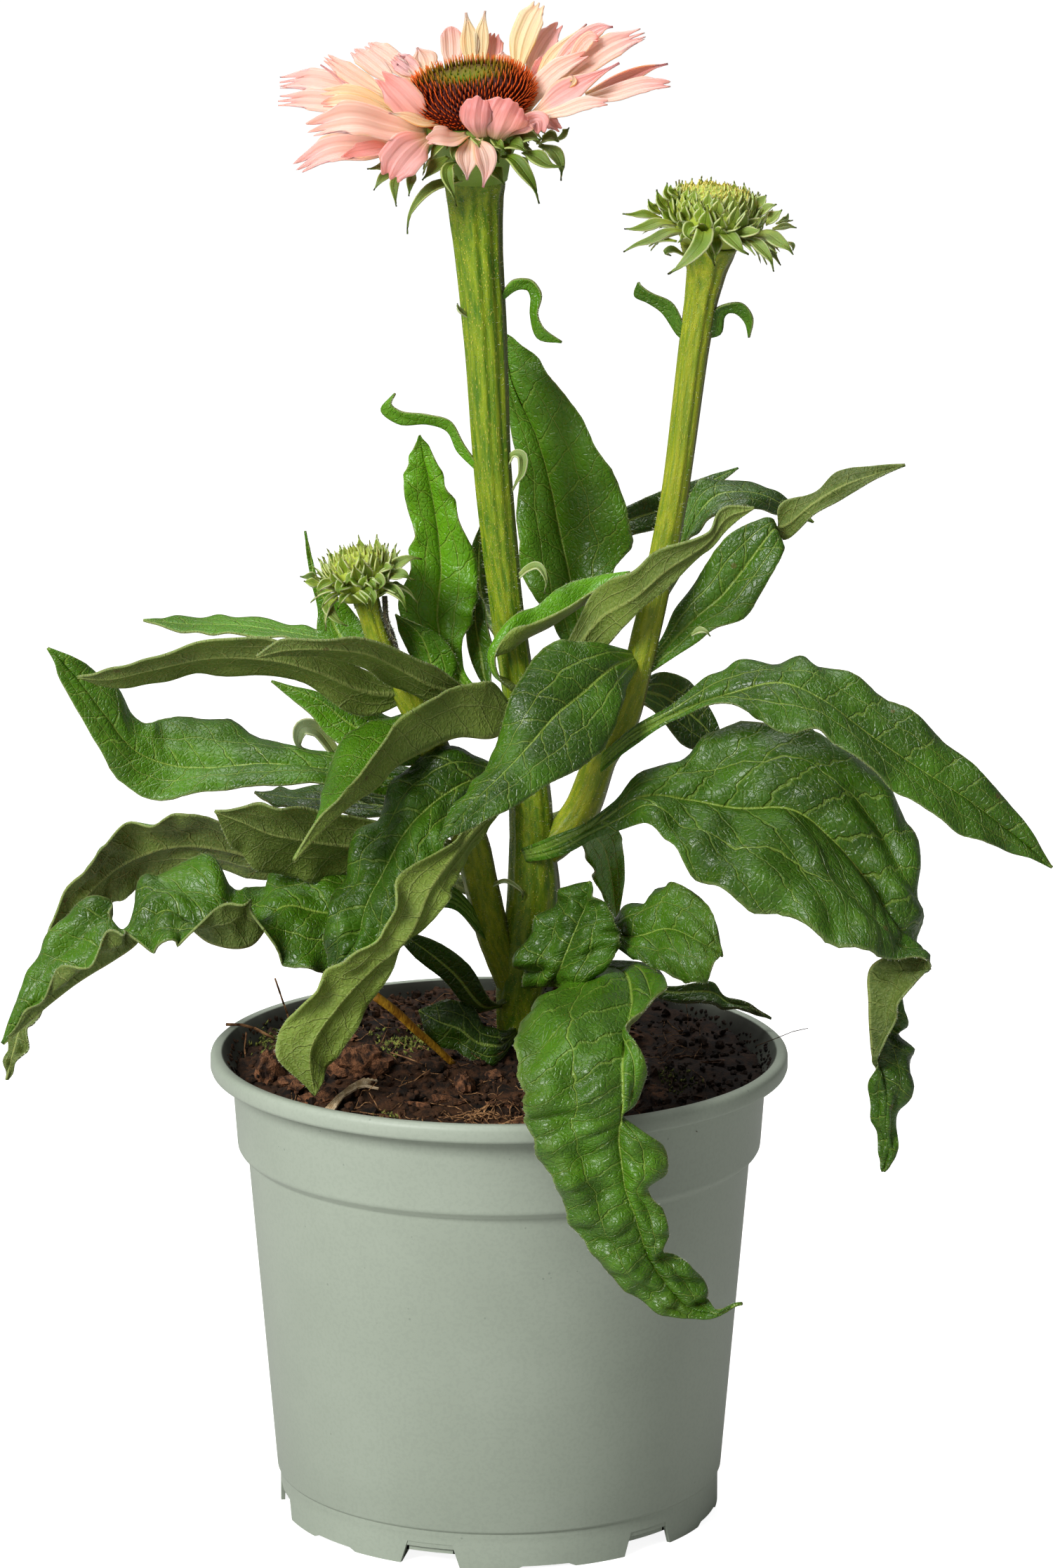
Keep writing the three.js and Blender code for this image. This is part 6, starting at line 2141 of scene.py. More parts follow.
@dataclass(frozen=True)
class Layer:
    """A ring of scales; lift and droop are degrees above level at the root and lost by the tip."""

    count: int
    root: float
    level: float
    lift: float
    droop: float
    length: float
    width: float
    hue: float = 0.5

    def grow(self, heap: Heap, random: Random, skip: Callable[[float], bool] | None = None) -> None:
        """Adds the ring's scales.

        Args:
            heap: takes the scales.
            random: the stream they are drawn from.
            skip: tells which directions stay empty.
        """
        first = random.uniform(0, 360)
        for k in range(self.count):
            angle = (first + 360 * (k + random.uniform(-0.25, 0.25)) / self.count) % 360
            length = self.length * random.uniform(0.82, 1.18)
            lift = self.lift + random.uniform(-10, 10)
            swing = random.uniform(-8, 8)
            width = self.width * random.uniform(0.85, 1.15)
            hue = clamp(self.hue + random.uniform(-0.15, 0.15))
            if skip and skip(angle):
                continue
            spot = polar(angle, self.root - 1.0, self.level)
            points = [spot]
            for part in (0.15, 0.5, 0.9):
                pitch = math.radians(lift - self.droop * part)
                way = polar(angle + swing * part * 2, math.cos(pitch), math.sin(pitch))
                spot = spot + way * (length / 3)
                points.append(spot)
            facing = polar(angle, 1, 0.9)
            scale = Strip(points, width, hue=hue, cup=0.45, facing=facing, foot=0.6)
            scale.grow(heap, random, columns=4, rows=8)


def fringe_of(heap: Heap, source: bmesh.types.BMesh, random: Random, length: float, share: float) -> None:
    """Sets pale hairs on the open edges of a heap of scales.

    Args:
        heap: takes the hairs.
        source: the scales.
        random: the stream they are drawn from.
        length: the hairs' mean length.
        share: the share of edges that carry one.
    """
    for edge in source.edges:
        if edge.is_boundary and random.random() < share:
            foot = (edge.verts[0].co + edge.verts[1].co) / 2
            face = edge.link_faces[0]
            out = (foot - face.calc_center_median()).normalized()
            lean = out + face.normal * random.uniform(-0.6, 0.6)
            heap.cone(foot, foot + lean.normalized() * length * random.uniform(0.6, 1.4), 0.045)


NODDING = 46.0  # degrees of droop past which a ring leaves its front to the listed scales


def scales_piece(
    name: str,
    head: Head,
    layers: Sequence[Layer],
    strips: Sequence[Strip],
    skin: bpy.types.Material,
    random: Random,
    skip: Callable[[float], bool],
) -> None:
    """Makes the scales of one head and the hairs on their margins.

    Args:
        name: the pieces' first name.
        head: the head they grow on.
        layers: the rings of scales, in the head's frame.
        strips: the listed ones, in the plant's frame.
        skin: their finish.
        random: the stream they are drawn from.
        skip: which directions the nodding rings leave to the listed ones.
    """
    rings = Heap("span", "tone")
    for layer in layers:
        layer.grow(rings, random, skip if layer.droop > NODDING else None)
    heap = Heap("span", "tone")
    heap.shape(head.seat(rings.done()))
    for strip in strips:
        strip.grow(heap, random, columns=6, rows=14)
    bm = heap.done()
    hairs = Heap()
    fringe_of(hairs, bm, random, length=0.45, share=0.6)
    make_piece(f"{name}_scales", bm, [skin], (), Wall(SCALE_THICKNESS))
    make_piece(f"{name}_hairs", hairs.done(), [hair_finish()])


@dataclass(frozen=True)
class Cone(Head):
    """The open flower's cone: a dome with a sunken middle, set with spines."""

    radius: float = 17.9
    middle: float = 8.4  # height of the widest ring
    rise: float = 8.8
    dip: float = 3.4  # depth of the sunken middle
    dip_reach: float = 0.17  # how wide it is, as a share
    reach: float = 128.0  # degrees from the top to the lowest spines
    sunk: float = 0.4  # how far the core lies under the spines' feet
    spines: int = 1250
    seed: int = 9

    def dome(self, share: float, angle: float) -> tuple[Vector, Vector]:
        """Gives a point on the cone and the way out of it.

        Args:
            share: 0 at the middle and 1 at the lowest spines.
            angle: its direction in degrees.

        Returns:
            The point and the unit normal, in the head's frame.
        """
        turn = share * math.radians(self.reach)
        dip = self.dip * math.exp(-((share / self.dip_reach) ** 2))
        point = polar(angle, self.radius * math.sin(turn), self.middle + self.rise * math.cos(turn) - dip)
        normal = polar(angle, math.sin(turn) / self.radius, math.cos(turn) / self.rise)
        return point, normal.normalized()

    def build(self) -> None:
        """Makes the core and sets its spines by the golden angle."""
        shares = [1 - i / 20 for i in range(21)]
        ring = [self.dome(s, 0)[0] for s in shares]
        profile = [(0.0, ring[0].z - self.sunk)] + [(p.x, p.z - self.sunk) for p in ring]
        core = spun(profile, 48)
        span = core.loops.layers.uv.new("span")
        for face in core.faces:
            for loop in face.loops:
                spot = loop.vert.co
                low = 1.0 if spot.z < self.middle else spot.xy.length / self.radius * 0.75
                loop[span].uv = (low, 0.0)
        heap = Heap("span")
        heap.shape(self.seat(core))
        random = Random(self.seed)
        turn = self.frame()
        for k in range(self.spines):
            share = math.sqrt((k + 0.5) / self.spines)
            point, normal = self.dome(share, GOLDEN_ANGLE * k)
            young = ease(share, 0.06, 0.4)
            length = (1.0 + 1.9 * young) * random.uniform(0.88, 1.12)
            way = normal.lerp(Vector((0, 0, 1)), 0.5)
            way += Vector([random.uniform(-0.06, 0.06) for _ in range(3)])
            foot = turn @ (point - normal * 0.5)
            heap.cone(foot, turn @ (point + way.normalized() * length), 0.27 + 0.12 * young, 5, 0.06, share)
        make_piece("cone_spines", heap.done(), [ConeSkin().material()], ["flower_cone"])


@dataclass(frozen=True)
class OpenFlower(Head):
    """The open flower: spiny cone, ray florets and the green cup with its scales."""

    at: Row = (-7, 0, 414)
    tilt_forward: float = 6
    tilt_right: float = 0
    cone: Cone = Cone((-7.6, 0.5, 410.2), 10, -7)
    scale_skin: ScaleSkin = ScaleSkin(
        "cup scale", tint("6a8a1e"), tint("5f7c16"), tint("465f0c"), tint("b0bd74"), tint("596c24"), 0.85,
    )
    front: tuple[float, float] = (200, 345)  # directions that the listed scales cover
    ray_thickness: float = 0.4
    seed: int = 10

    def build(self) -> None:
        """Makes the whole flower."""
        self.cone.build()
        heap = Heap("span", "tone")
        random = Random(self.seed)
        for ray in RAYS:
            ray.grow(heap, random, columns=max(14, 6 * ray.teeth), rows=28)
        petal = PetalSkin().material()
        make_piece("ray_florets", heap.done(), [petal], ["flower_rays"], Wall(self.ray_thickness))
        skin = self.scale_skin.material()
        cup = self.plain(spun(CUP_PROFILE, 48), 0.9)
        make_piece("flower_cup_body", cup, [skin], ["flower_cup"])
        scales_piece(
            "flower", self, CUP_LAYERS, CUP_SCALES, skin, random,
            lambda angle: self.front[0] < angle < self.front[1],
        )


@dataclass(frozen=True)
class Bud(Head):
    """A closed head: a core, upright points on its top and layers of scales round it."""

    name: str = "bud"
    core: float = 12.5
    height: float = 11.0
    foot_radius: float = 8.0
    foot_level: float = -5.8
    points: int = 120
    point_length: float = 4.6
    layers: Sequence[Layer] = ()
    scales: Sequence[Strip] = ()
    middle: Colour = tint("d0bd50")  # of the middle points' tips
    seed: int = 3
    point_reach: float = 78.0  # degrees from the top to the lowest points
    inner_share: float = 0.7  # the points inside this share have tips of another colour
    front: tuple[float, float] = (195, 345)  # directions that the listed scales cover

    def build_points(self) -> None:
        """Sets the narrow points that stand on the top, the middle ones yellow."""
        inner, outer = Heap("span", "tone"), Heap("span", "tone")
        random = Random(self.seed)
        for k in range(self.points):
            share = math.sqrt((k + 0.5) / self.points)
            angle = GOLDEN_ANGLE * k
            turn = share * math.radians(self.point_reach)
            level = self.height * 0.88 * math.cos(turn) ** 0.7
            foot = polar(angle, self.core * math.sin(turn) * 0.94, level)
            way = polar(angle, 0.45 * share ** 2, 1).normalized()
            length = self.point_length * (0.7 + 0.4 * share) * random.uniform(0.75, 1.2)
            bend = polar(angle + random.uniform(-90, 90), 0.4 * random.random())
            line = [foot, foot + way * length * 0.5 + polar(angle, 0.2), foot + way * length + bend]
            width = (1.3 + 1.3 * share) * self.core / 12
            strip = Strip(line, width, hue=random.random(), cup=0.6, facing=polar(angle, 1, 0.2), foot=0.6)
            strip.grow(inner if share < self.inner_share else outer, random, columns=2, rows=5)
        for label, heap, tip in (("inner", inner, self.middle), ("outer", outer, tint("9aae4c"))):
            skin = ScaleSkin(
                f"{self.name} {label} point",
                tint("b4c44c"), tint("a8b748"), tint("8fa43c"), tint("dcdc98"), tip, 0.35,
            ).material()
            bm = self.seat(heap.done())
            make_piece(f"{self.name}_{label}_points", bm, [skin], (), Wall(POINT_THICKNESS))

    def build(self) -> None:
        """Makes the whole bud."""
        skin = ScaleSkin(
            f"{self.name} scale",
            tint("a6b63a"), tint("7f9826"), tint("3e640a"), tint("c2ca92"), tint("6c7a2e"), 0.88,
        ).material()
        wide, high = self.core, self.height
        profile = [
            (0, self.foot_level), (self.foot_radius, self.foot_level),
            (wide * 0.76, -3.5), (wide * 0.93, -1), (wide, high * 0.18), (wide * 0.97, high * 0.5),
            (wide * 0.8, high * 0.78), (wide * 0.48, high * 0.95), (0, high),
        ]
        make_piece(f"{self.name}_core", self.plain(spun(profile, 40), 0.2), [skin], [self.name])
        self.build_points()
        scales_piece(
            self.name, self, self.layers, self.scales, skin, Random(self.seed + 1),
            lambda angle: self.front[0] < angle < self.front[1],
        )


# The cup's section, from its foot on the stem up to the rays.
CUP_PROFILE = [
    (0, -19.5), (9.4, -19.5), (9.9, -16.5), (10.3, -14), (11.4, -11), (13, -8.3), (14.6, -6.4),
    (15.4, -4.6), (15.6, -2.6), (13, -1.6), (0, -1.6),
]
CUP_LAYERS = [
    Layer(17, 15, -4.4, -5, 30, 8, 3.6, 0.7), Layer(15, 13.6, -6.4, -12, 45, 9.5, 3.8, 0.7),
    Layer(12, 12, -9.5, -15, 60, 11, 3.7, 0.6), Layer(8, 10.5, -12.5, -20, 55, 8, 3.4, 0.6),
]
# The rays, from the left over the back to the right and the front.
RAYS = [
    Strip([(-31, 2, 416), (-42, 5, 419.5), (-53.5, 8, 422), (-63.5, 9, 421)],
          8.5, Tip.TOOTHED, 4, 0.52, fray=0.2),
    Strip([(-30, 0, 413.5), (-42, 1, 415.5), (-53, 2, 417), (-63.5, 2, 416.5)],
          8, Tip.TOOTHED, 3, 0.5, fray=0.2),
    Strip([(-20.5, -8, 408.5), (-31, -14, 411), (-41.5, -20, 414), (-54.5, -24, 411.5)],
          12.5, Tip.TOOTHED, 3, 0.44, fray=0.15),
    Strip([(-21, -6, 406.5), (-36.5, -9, 405), (-47.5, -11, 404.5), (-58, -13, 399)],
          10, Tip.TOOTHED, 3, 0.55, fray=0.18),
    Strip([(-28.5, -14, 405.5), (-36.5, -19, 404.5), (-44.5, -22, 403.5)],
          5.5, Tip.TOOTHED, 2, 0.75, cup=0.8),
    Strip([(-20, -12, 408), (-24.5, -18, 406), (-28.5, -23, 402), (-31, -24, 397.5)],
          12, Tip.TOOTHED, 3, 0.75, facing=(0, -1, 0.4), fray=0.12),
    Strip([(-16, -13, 412), (-21.5, -18, 413), (-26.5, -20, 415), (-31, -21, 416)],
          4, Tip.POINTED, 1, 0.08, 0.9),
    Strip([(-9, -15, 409), (-13.5, -19, 408), (-17, -21, 408.5), (-20.5, -22, 408)],
          7, Tip.TOOTHED, 3, 0.42, cup=0.6),
    Strip([(-29, -2, 414.5), (-36.5, -4, 418), (-43, -5, 420), (-51, -6, 420)],
          5, Tip.TOOTHED, 2, 0.08, cup=0.4),
    Strip([(-29, -6, 413), (-36.5, -9, 416), (-43, -11, 418), (-50.5, -12, 417.5)],
          5.5, Tip.TOOTHED, 2, 0.16, 0.8, 0.4),
    Strip([(-20, -12, 413), (-24.5, -15, 417), (-28.5, -16, 421.5), (-34, -15, 426.5)],
          9.5, Tip.TOOTHED, 2, 0.72, facing=(-0.3, -1, 0.3), fray=0.12),
    Strip([(-31, 3, 417.5), (-40.5, 5, 423), (-50, 8, 429)], 6, Tip.TOOTHED, 3, 0.35, 0.6),
    Strip([(-33.5, 4, 418), (-42.5, 7, 421), (-51, 9, 426.5)], 3, Tip.POINTED, 1, 0.5),
    Strip([(-29, 9, 420.5), (-37, 14, 426.5), (-42, 17, 430)], 6.5, Tip.TOOTHED, 2, 0.48),
    Strip([(-24.5, 11, 421.5), (-31.5, 16, 427.5), (-38, 20, 431.5)], 7, Tip.TOOTHED, 2, 0.45),
    Strip([(-22.5, 12, 422.5), (-26.5, 14, 425.5), (-30.5, 16, 428)], 7, Tip.TOOTHED, 5, 0.65, fray=0.2),
    Strip([(-20.5, 14, 423.5), (-22, 17, 427.5), (-23.5, 18, 430.5)], 8.5, Tip.POINTED, 1, 0.4),
    Strip([(-13.5, 15, 424), (-13.5, 18, 431), (-14, 19, 436.5)], 6.5, Tip.FAN, 1, 0.5),
    Strip([(-8, 15, 424), (-8.5, 17, 433), (-9.5, 18, 440.5)], 5.6, Tip.POINTED, 1, 0.0),
    Strip([(-5, 15, 424), (-5, 17, 434), (-4, 18, 441)], 4.4, Tip.POINTED, 1, 0.0),
    Strip([(-2.5, 18, 424), (-2.5, 20, 431), (-1.5, 21, 434.5)],
          7.5, Tip.TOOTHED, 4, 0.85, 0.8, fray=0.22),
    Strip([(5, 12, 422), (6.5, 14, 432), (9, 15, 438.5), (12, 16, 443.5)],
          8, Tip.TOOTHED, 3, 0.04, fray=0.1),
    Strip([(2, 15, 424), (1, 16, 428), (1, 16, 429.5)], 4.5, Tip.POINTED, 1, 0.3),
    Strip([(8, 14, 422), (12.5, 18, 431), (17.5, 20, 437.5)], 7, Tip.TOOTHED, 2, 0.65, 0.6),
    Strip([(9, 13, 422), (11, 12, 425.5), (12.5, 12, 428.5)], 3, Tip.TOOTHED, 2, 0.95, 0.9),
    Strip([(10, 8, 421), (16.5, 11, 429.5), (25, 15, 437.5)], 5, Tip.POINTED, 1, 0.12, 0.8),
    Strip([(12, 6, 421), (21, 9, 431), (29, 12, 436.5), (32.5, 12, 437)], 6, Tip.POINTED, 1, 0.7, 0.6),
    Strip([(19, 3, 425.5), (23, 5, 431), (26, 6, 434), (28.5, 6, 434)],
          4.5, Tip.TOOTHED, 2, 0.45, 0.9, 0.5),
    Strip([(7, -4, 413), (10.5, -1, 420), (16.5, 0, 426), (25.5, 2, 430.5)],
          6.5, Tip.TOOTHED, 2, 0.42, 0.5),
    Strip([(16.5, 3, 421), (24.5, 5, 427), (32.5, 7, 432), (42, 8, 435.5)],
          8.5, Tip.TOOTHED, 4, 0.52, fray=0.18),
    # a rolled floret facing down: its deep hue and dark tip are partly its own dusty colour, partly painted
    # shade
    Strip([(24.5, 1, 419), (32.5, 2, 423), (40.5, 2, 426), (48, 2, 427.5)],
          4.8, Tip.POINTED, 1, 0.9, 0.5, 0.9, (0.4, -0.9, -0.3)),
    Strip([(20, -3, 417), (32.5, -4, 419.5), (40.5, -5, 422), (49, -5, 422.5)],
          6, Tip.TOOTHED, 2, 0.55, 0.4),
    Strip([(9.5, -9, 414), (16.5, -9, 418.5), (24, -8, 423), (34, -6, 428.5)],
          8.5, Tip.POINTED, 1, 0.74, 0.5, 0.4),
    Strip([(18.5, -6, 421), (21, -8, 423.5), (20.5, -8, 425.5)], 2.2, Tip.POINTED, 1, 0.05, 0.9),
    Strip([(7.5, -12, 413), (18.5, -15, 416), (24, -16, 418), (31, -17, 418.5)],
          5, Tip.TOOTHED, 2, 0.45, 0.4, fray=0.12),
    Strip([(2.5, -14, 409), (7, -17, 412), (11, -19, 413.5), (11.5, -20, 410)],
          6.5, Tip.TOOTHED, 2, 0.75, 0.4),
    Strip([(9.5, -12, 411.5), (13.5, -15, 413), (17.5, -16, 410.5)], 4.5, Tip.TOOTHED, 2, 0.8, 0.4),
    Strip([(-5.5, -16, 408.5), (-7, -22, 413), (-6.8, -23.5, 417), (-6, -22, 421)],
          9.5, Tip.FAN, 3, 0.86, 0.2, -0.35, (-0.25, -1, 0.2), 0.05, 0.45),
    Strip([(-1, -16, 408), (0.5, -22, 412.5), (2.2, -24, 416.5), (4, -23, 420)],
          13.5, Tip.FAN, 5, 0.84, 0.2, -0.3, (0.1, -1, 0.2), 0.05, 0.4),
    Strip([(-8, -16, 408), (-9, -19, 404.5), (-9, -20, 401), (-9, -19, 397)],
          6.5, Tip.POINTED, 1, 0.42, 0.4, 0.4),
    Strip([(-7, -16, 408), (-4.5, -20, 405), (-3.5, -21, 400.5), (-4.5, -20, 395)],
          6.5, Tip.POINTED, 1, 0.5, 0.8, 0.4),
]
CUP_SCALES = [
    Strip([(-11.5, -9, 395.5), (-15, -13, 395), (-19, -16, 394), (-23, -17, 390.5), (-25.5, -17, 386),
           (-26, -16, 380.5)], 3.6, hue=0.6, cup=0.7, foot=0.7),
    Strip([(-12, -13, 401), (-14.5, -18, 400), (-14.5, -19, 397), (-13, -19, 393), (-12, -18, 389)],
          4, cup=0.7),
    Strip([(-14.5, -12, 402.5), (-17.5, -16, 401), (-19.5, -18, 399), (-22, -18, 396.5)], 4.8, hue=0.8),
    Strip([(-29, -8, 402), (-33, -13, 400), (-37.5, -15, 399.5)], 3.4, hue=0.9),
    Strip([(-29, -10, 399), (-33, -15, 397), (-35.5, -16, 393.5)], 3.2, hue=0.8),
    Strip([(-27.5, -12, 398), (-29.5, -17, 396), (-29.5, -18, 393), (-29, -17, 389)], 3, hue=0.7),
    Strip([(-24, -12, 398), (-25, -17, 396), (-25.5, -17, 392)], 3, hue=0.7),
    Strip([(-11.5, -14, 405.5), (-12.5, -17, 405.5), (-13, -18, 403.5), (-12.5, -18, 402)], 2.5, cup=0.6),
    Strip([(-9.5, -14, 405), (-11.5, -18, 403.5), (-11, -18, 400.5)], 2.8, cup=0.6),
    Strip([(4, -12, 406.5), (8.5, -16, 408.5), (12, -18, 408)], 6, hue=0.7, cup=0.5, foot=0.7),
    Strip([(12, -9, 406.5), (15, -13, 408), (17, -14, 407)], 5, hue=0.8, cup=0.5, foot=0.7),
    Strip([(16.5, -3, 406.5), (18.5, -6, 408.5), (20, -7, 410.5)], 4, hue=0.9),
    Strip([(7, -13, 404), (10.5, -17, 403), (14, -19, 401), (19, -19, 400.5)], 5.5, hue=0.65, cup=0.4),
    Strip([(11.5, -9, 405.5), (15.5, -12, 404), (17.5, -14, 400.5), (17.5, -13, 395.5)], 4.5, hue=0.9),
    Strip([(5, -14, 403), (7, -18, 401.5), (9, -18, 399)], 3.5, hue=0.6),
    Strip([(0.5, -13, 402.5), (4, -18, 402.5), (7.5, -20, 398.5), (10, -20, 394.5), (11.5, -19, 389.5)],
          4.8, hue=0.75, cup=0.5),
    Strip([(-2.5, -13, 399.5), (-0.5, -17, 398.5), (1.5, -17, 395)], 4.5, hue=0.7),
    Strip([(2.5, -14, 405.5), (5, -18, 406.5), (8, -19, 404.5)], 6, hue=0.5, cup=0.5, foot=0.7),
    Strip([(-1.5, -15, 405.5), (0, -18, 406.5), (2, -18, 404.5)], 4, hue=0.4, cup=0.5),
    Strip([(-2.5, -14, 404), (-1, -17, 403), (0, -17, 401.5)], 4, hue=0.5, cup=0.5),
]
RIGHT_BUD = Bud(
    at=(61, 9, 381), tilt_forward=4, tilt_right=6, name="bud_right",
    core=12.5, height=10.6, foot_radius=8, foot_level=-5.8, points=190, point_length=3.6,
    layers=(
        Layer(11, 9.6, -3.6, -12, 50, 12, 3.5, 0.6), Layer(13, 11, -2.2, 2, 35, 12, 3.3, 0.6),
        Layer(15, 12, -1.4, 40, 8, 8, 4.2, 0.35), Layer(16, 12.6, 0.5, 52, 0, 7.5, 4.4, 0.25),
        Layer(17, 12.8, 2.6, 62, -6, 6.6, 4.2, 0.15), Layer(17, 12.4, 4.6, 70, -14, 5.6, 3.8, 0.2),
        Layer(18, 11.3, 6.4, 78, -22, 4.8, 3.2, 0.25),
    ),
    scales=(
        Strip([(46.5, 4, 383), (42, 2, 384.5), (38.5, 1, 384.5), (35, 0, 385)], 3.2),
        Strip([(50.5, 0, 382), (45.5, -4, 383), (42, -6, 382), (38.5, -7, 381.5), (35.5, -7, 381.5)],
              4.2),
        Strip([(53.5, -1, 380), (48.5, -5, 380.5), (43.5, -8, 378.5), (38.5, -9, 377), (35, -9, 375)],
              3.4, hue=0.7),
        Strip([(51, 8, 376), (46.5, 8, 376.5), (43, 8, 375.5), (42.5, 8, 375)], 2, hue=0.9),
        Strip([(53, 4, 372.5), (49.5, 2, 374.5), (47.5, 2, 373.5), (49.5, 3, 372.5)], 2.6, hue=0.8),
        Strip([(58, -1, 378), (58.5, -6, 380.5), (57.5, -10, 377.5), (54, -11, 373.5), (50.5, -10, 370.5),
               (47.5, -9, 368.5)], 5.8, hue=0.65, cup=0.45, foot=0.7),
        Strip([(57, 0, 380.5), (54.5, -4, 381.5), (53.5, -6, 379.5), (56, -6, 377.5)],
              4, hue=0.4, cup=0.7),
        Strip([(62.5, 0, 379.5), (64.5, -4, 379.5), (67, -7, 377.5), (69, -8, 375.5), (71.5, -7, 374)],
              5, cup=0.4),
        Strip([(60, 0, 374), (60, -3, 376), (60.5, -5, 374), (61.5, -4, 370.5)], 4.5, hue=0.4, foot=0.7),
        Strip([(66, 0, 379), (70.5, -3, 379.5), (73.5, -5, 380.5), (74.5, -5, 381.5)],
              4.2, hue=0.45, cup=0.6),
        Strip([(71.5, 3, 378), (76.5, 0, 379), (80, -2, 377), (82.5, -3, 375.5), (84, -3, 373.5)], 5),
        Strip([(69, 2, 377), (72.5, -2, 377), (75.5, -4, 374.5), (77.5, -5, 372), (78.5, -4, 368.5)],
              4, cup=0.6),
        Strip([(74, 8, 376), (77, 7, 374.5), (79, 7, 372), (81, 8, 369)], 3.5, hue=0.9),
        Strip([(83, 10, 375.5), (84.5, 10, 374.5), (84.5, 10, 373)], 1.5, hue=0.9),
        Strip([(78.5, 8, 379.5), (82.5, 7, 380.5), (85.5, 7, 380)], 2.6, hue=0.4),
        Strip([(76.5, 4, 381.5), (79, 2, 384), (81, 2, 386)], 4.5, hue=0.4, cup=0.5),
        Strip([(75, 4, 384), (77, 2, 386.5), (79.5, 2, 387.5)], 3.4, cup=0.5),
        Strip([(80.5, 9, 381.5), (82.5, 9, 382.5), (83, 9, 384)], 2, hue=0.9),
        Strip([(79.5, 9, 381), (82, 9, 381.5), (84.5, 9, 382)], 1.5, hue=0.9),
        Strip([(46, 4, 384.5), (43.5, 3, 386.5), (42.5, 3, 389)], 3.5, hue=0.45, cup=0.5),
        Strip([(48.5, 5, 385), (46, 4, 388), (45, 4, 391.5)], 4, hue=0.45, cup=0.5),
        Strip([(49.5, 5, 388), (48, 4, 390.5), (48, 4, 393.5)], 3.6, hue=0.4, cup=0.5),
        Strip([(51, 3, 389.5), (49, 2, 391.5), (49, 2, 393)], 3, hue=0.4, cup=0.5),
        Strip([(74, 5, 386), (75.5, 4, 388.5), (76.5, 4, 390)], 3.6, hue=0.6, cup=0.5),
    ),
)
LEFT_BUD = Bud(
    at=(-40, -5, 279.5), tilt_forward=4, tilt_right=-12, name="bud_left",
    core=8.8, height=8.0, foot_radius=6.4, foot_level=-5, points=60, point_length=4.6,
    layers=(
        Layer(9, 8.2, -3.4, -15, 60, 9.5, 3.4, 0.6), Layer(10, 8.6, -1.5, 10, 45, 9, 3.4, 0.6),
        Layer(10, 8.8, -0.5, 45, 10, 7.5, 4.2, 0.45), Layer(11, 8.9, 1.6, 60, 0, 7.5, 4.3, 0.4),
        Layer(11, 8.2, 3.6, 72, -4, 7, 3.8, 0.3),
    ),
    scales=(
        Strip([(-52, -2, 278.5), (-54.5, -4, 280), (-57.5, -5, 280.5)], 4.5, hue=0.9),
        Strip([(-51.5, -4, 278), (-54.5, -6, 279), (-56.5, -6, 279.5)], 3.5, hue=0.2),
        Strip([(-46.5, -8, 280), (-49.5, -13, 280), (-51.5, -15, 279), (-52.5, -15, 276.5)],
              3.4, cup=0.6),
        Strip([(-48, -3, 274.5), (-49.5, -6, 272), (-47, -8, 268.5), (-43.5, -8, 266.5)], 3.8),
        Strip([(-43.5, -9, 277.5), (-44.5, -14, 280), (-46, -16, 279), (-46, -16, 277)],
              5, hue=0.6, foot=0.7),
        Strip([(-40.5, -10, 277.5), (-41.5, -15, 281.5), (-43, -16, 282), (-44, -16, 280)],
              5.5, hue=0.5, foot=0.7),
        Strip([(-40.5, -10, 276.5), (-38, -15, 278.5), (-36, -17, 276.5), (-36.5, -16, 273)],
              4, hue=0.55, cup=0.6),
        Strip([(-42, -12, 276.5), (-40, -16, 277), (-38.5, -17, 275.5), (-37.5, -16, 273)],
              3, hue=0.4, cup=0.6),
        Strip([(-36, -10, 277.5), (-35, -15, 282), (-33.5, -16, 280.5), (-35, -16, 278.5)], 3.6, cup=0.6),
        Strip([(-39, -12, 278.5), (-37, -16, 281), (-36, -17, 280), (-36, -16, 278.5)],
              3.2, hue=0.6, cup=0.6),
        Strip([(-33, -8, 280.5), (-29.5, -12, 282.5), (-27, -13, 282.5), (-25.5, -13, 281)],
              4.5, hue=0.7),
        Strip([(-34, -9, 282), (-32, -13, 284.5), (-30, -14, 284.5)], 4, hue=0.5, cup=0.5),
        Strip([(-34, -9, 276), (-31, -13, 278), (-28, -15, 276), (-26.5, -15, 272)], 4, hue=0.6, cup=0.6),
        Strip([(-32.5, -6, 277), (-29.5, -9, 279), (-28, -9, 279)], 2.5, hue=0.9),
        Strip([(-33, -5, 281), (-30, -9, 284.5), (-26, -8, 286.5), (-22, -4, 285.5)],
              4.2, hue=0.5, foot=0.8),
    ),
    middle=tint("9aac52"), seed=6,
)


# Small curled bracts on the stems and a few curled ends between the leaves.
STEM_CURLS = [
    Strip([(2, 1, 312), (4.5, -1, 315.5), (6.5, -2, 315), (6.5, -2, 310), (4.5, -1, 306.5),
           (3.5, -1, 303.5)], 3.2, hue=0.3, cup=0.6, foot=0.6),
    Strip([(6, 1, 279.5), (8.5, -1, 282), (11.5, -3, 283), (13.5, -4, 279.5), (13, -4, 274.5)],
          3, hue=0.2, cup=0.5, foot=0.6),
    Strip([(-9, -2, 355.5), (-11.5, -4, 358), (-12, -5, 360)], 2, hue=0.4, cup=0.5),
    Strip([(-2.5, 2, 187), (2, 0, 189), (6.5, 0, 186), (7, 2, 183)], 1.4, hue=0.2, cup=0.4, foot=0.8),
    Strip([(56, 4, 261.5), (58, 3, 263), (60, 2, 263), (61.5, 2, 261.5)], 2.4, hue=0.2, cup=0.5),
    Strip([(-47.5, 5, 225.5), (-53.5, 3, 233.5), (-57.5, 2, 234), (-58.5, 2, 229.5), (-55.5, 3, 227)],
          6, hue=1, cup=0.4, foot=0.6),
]


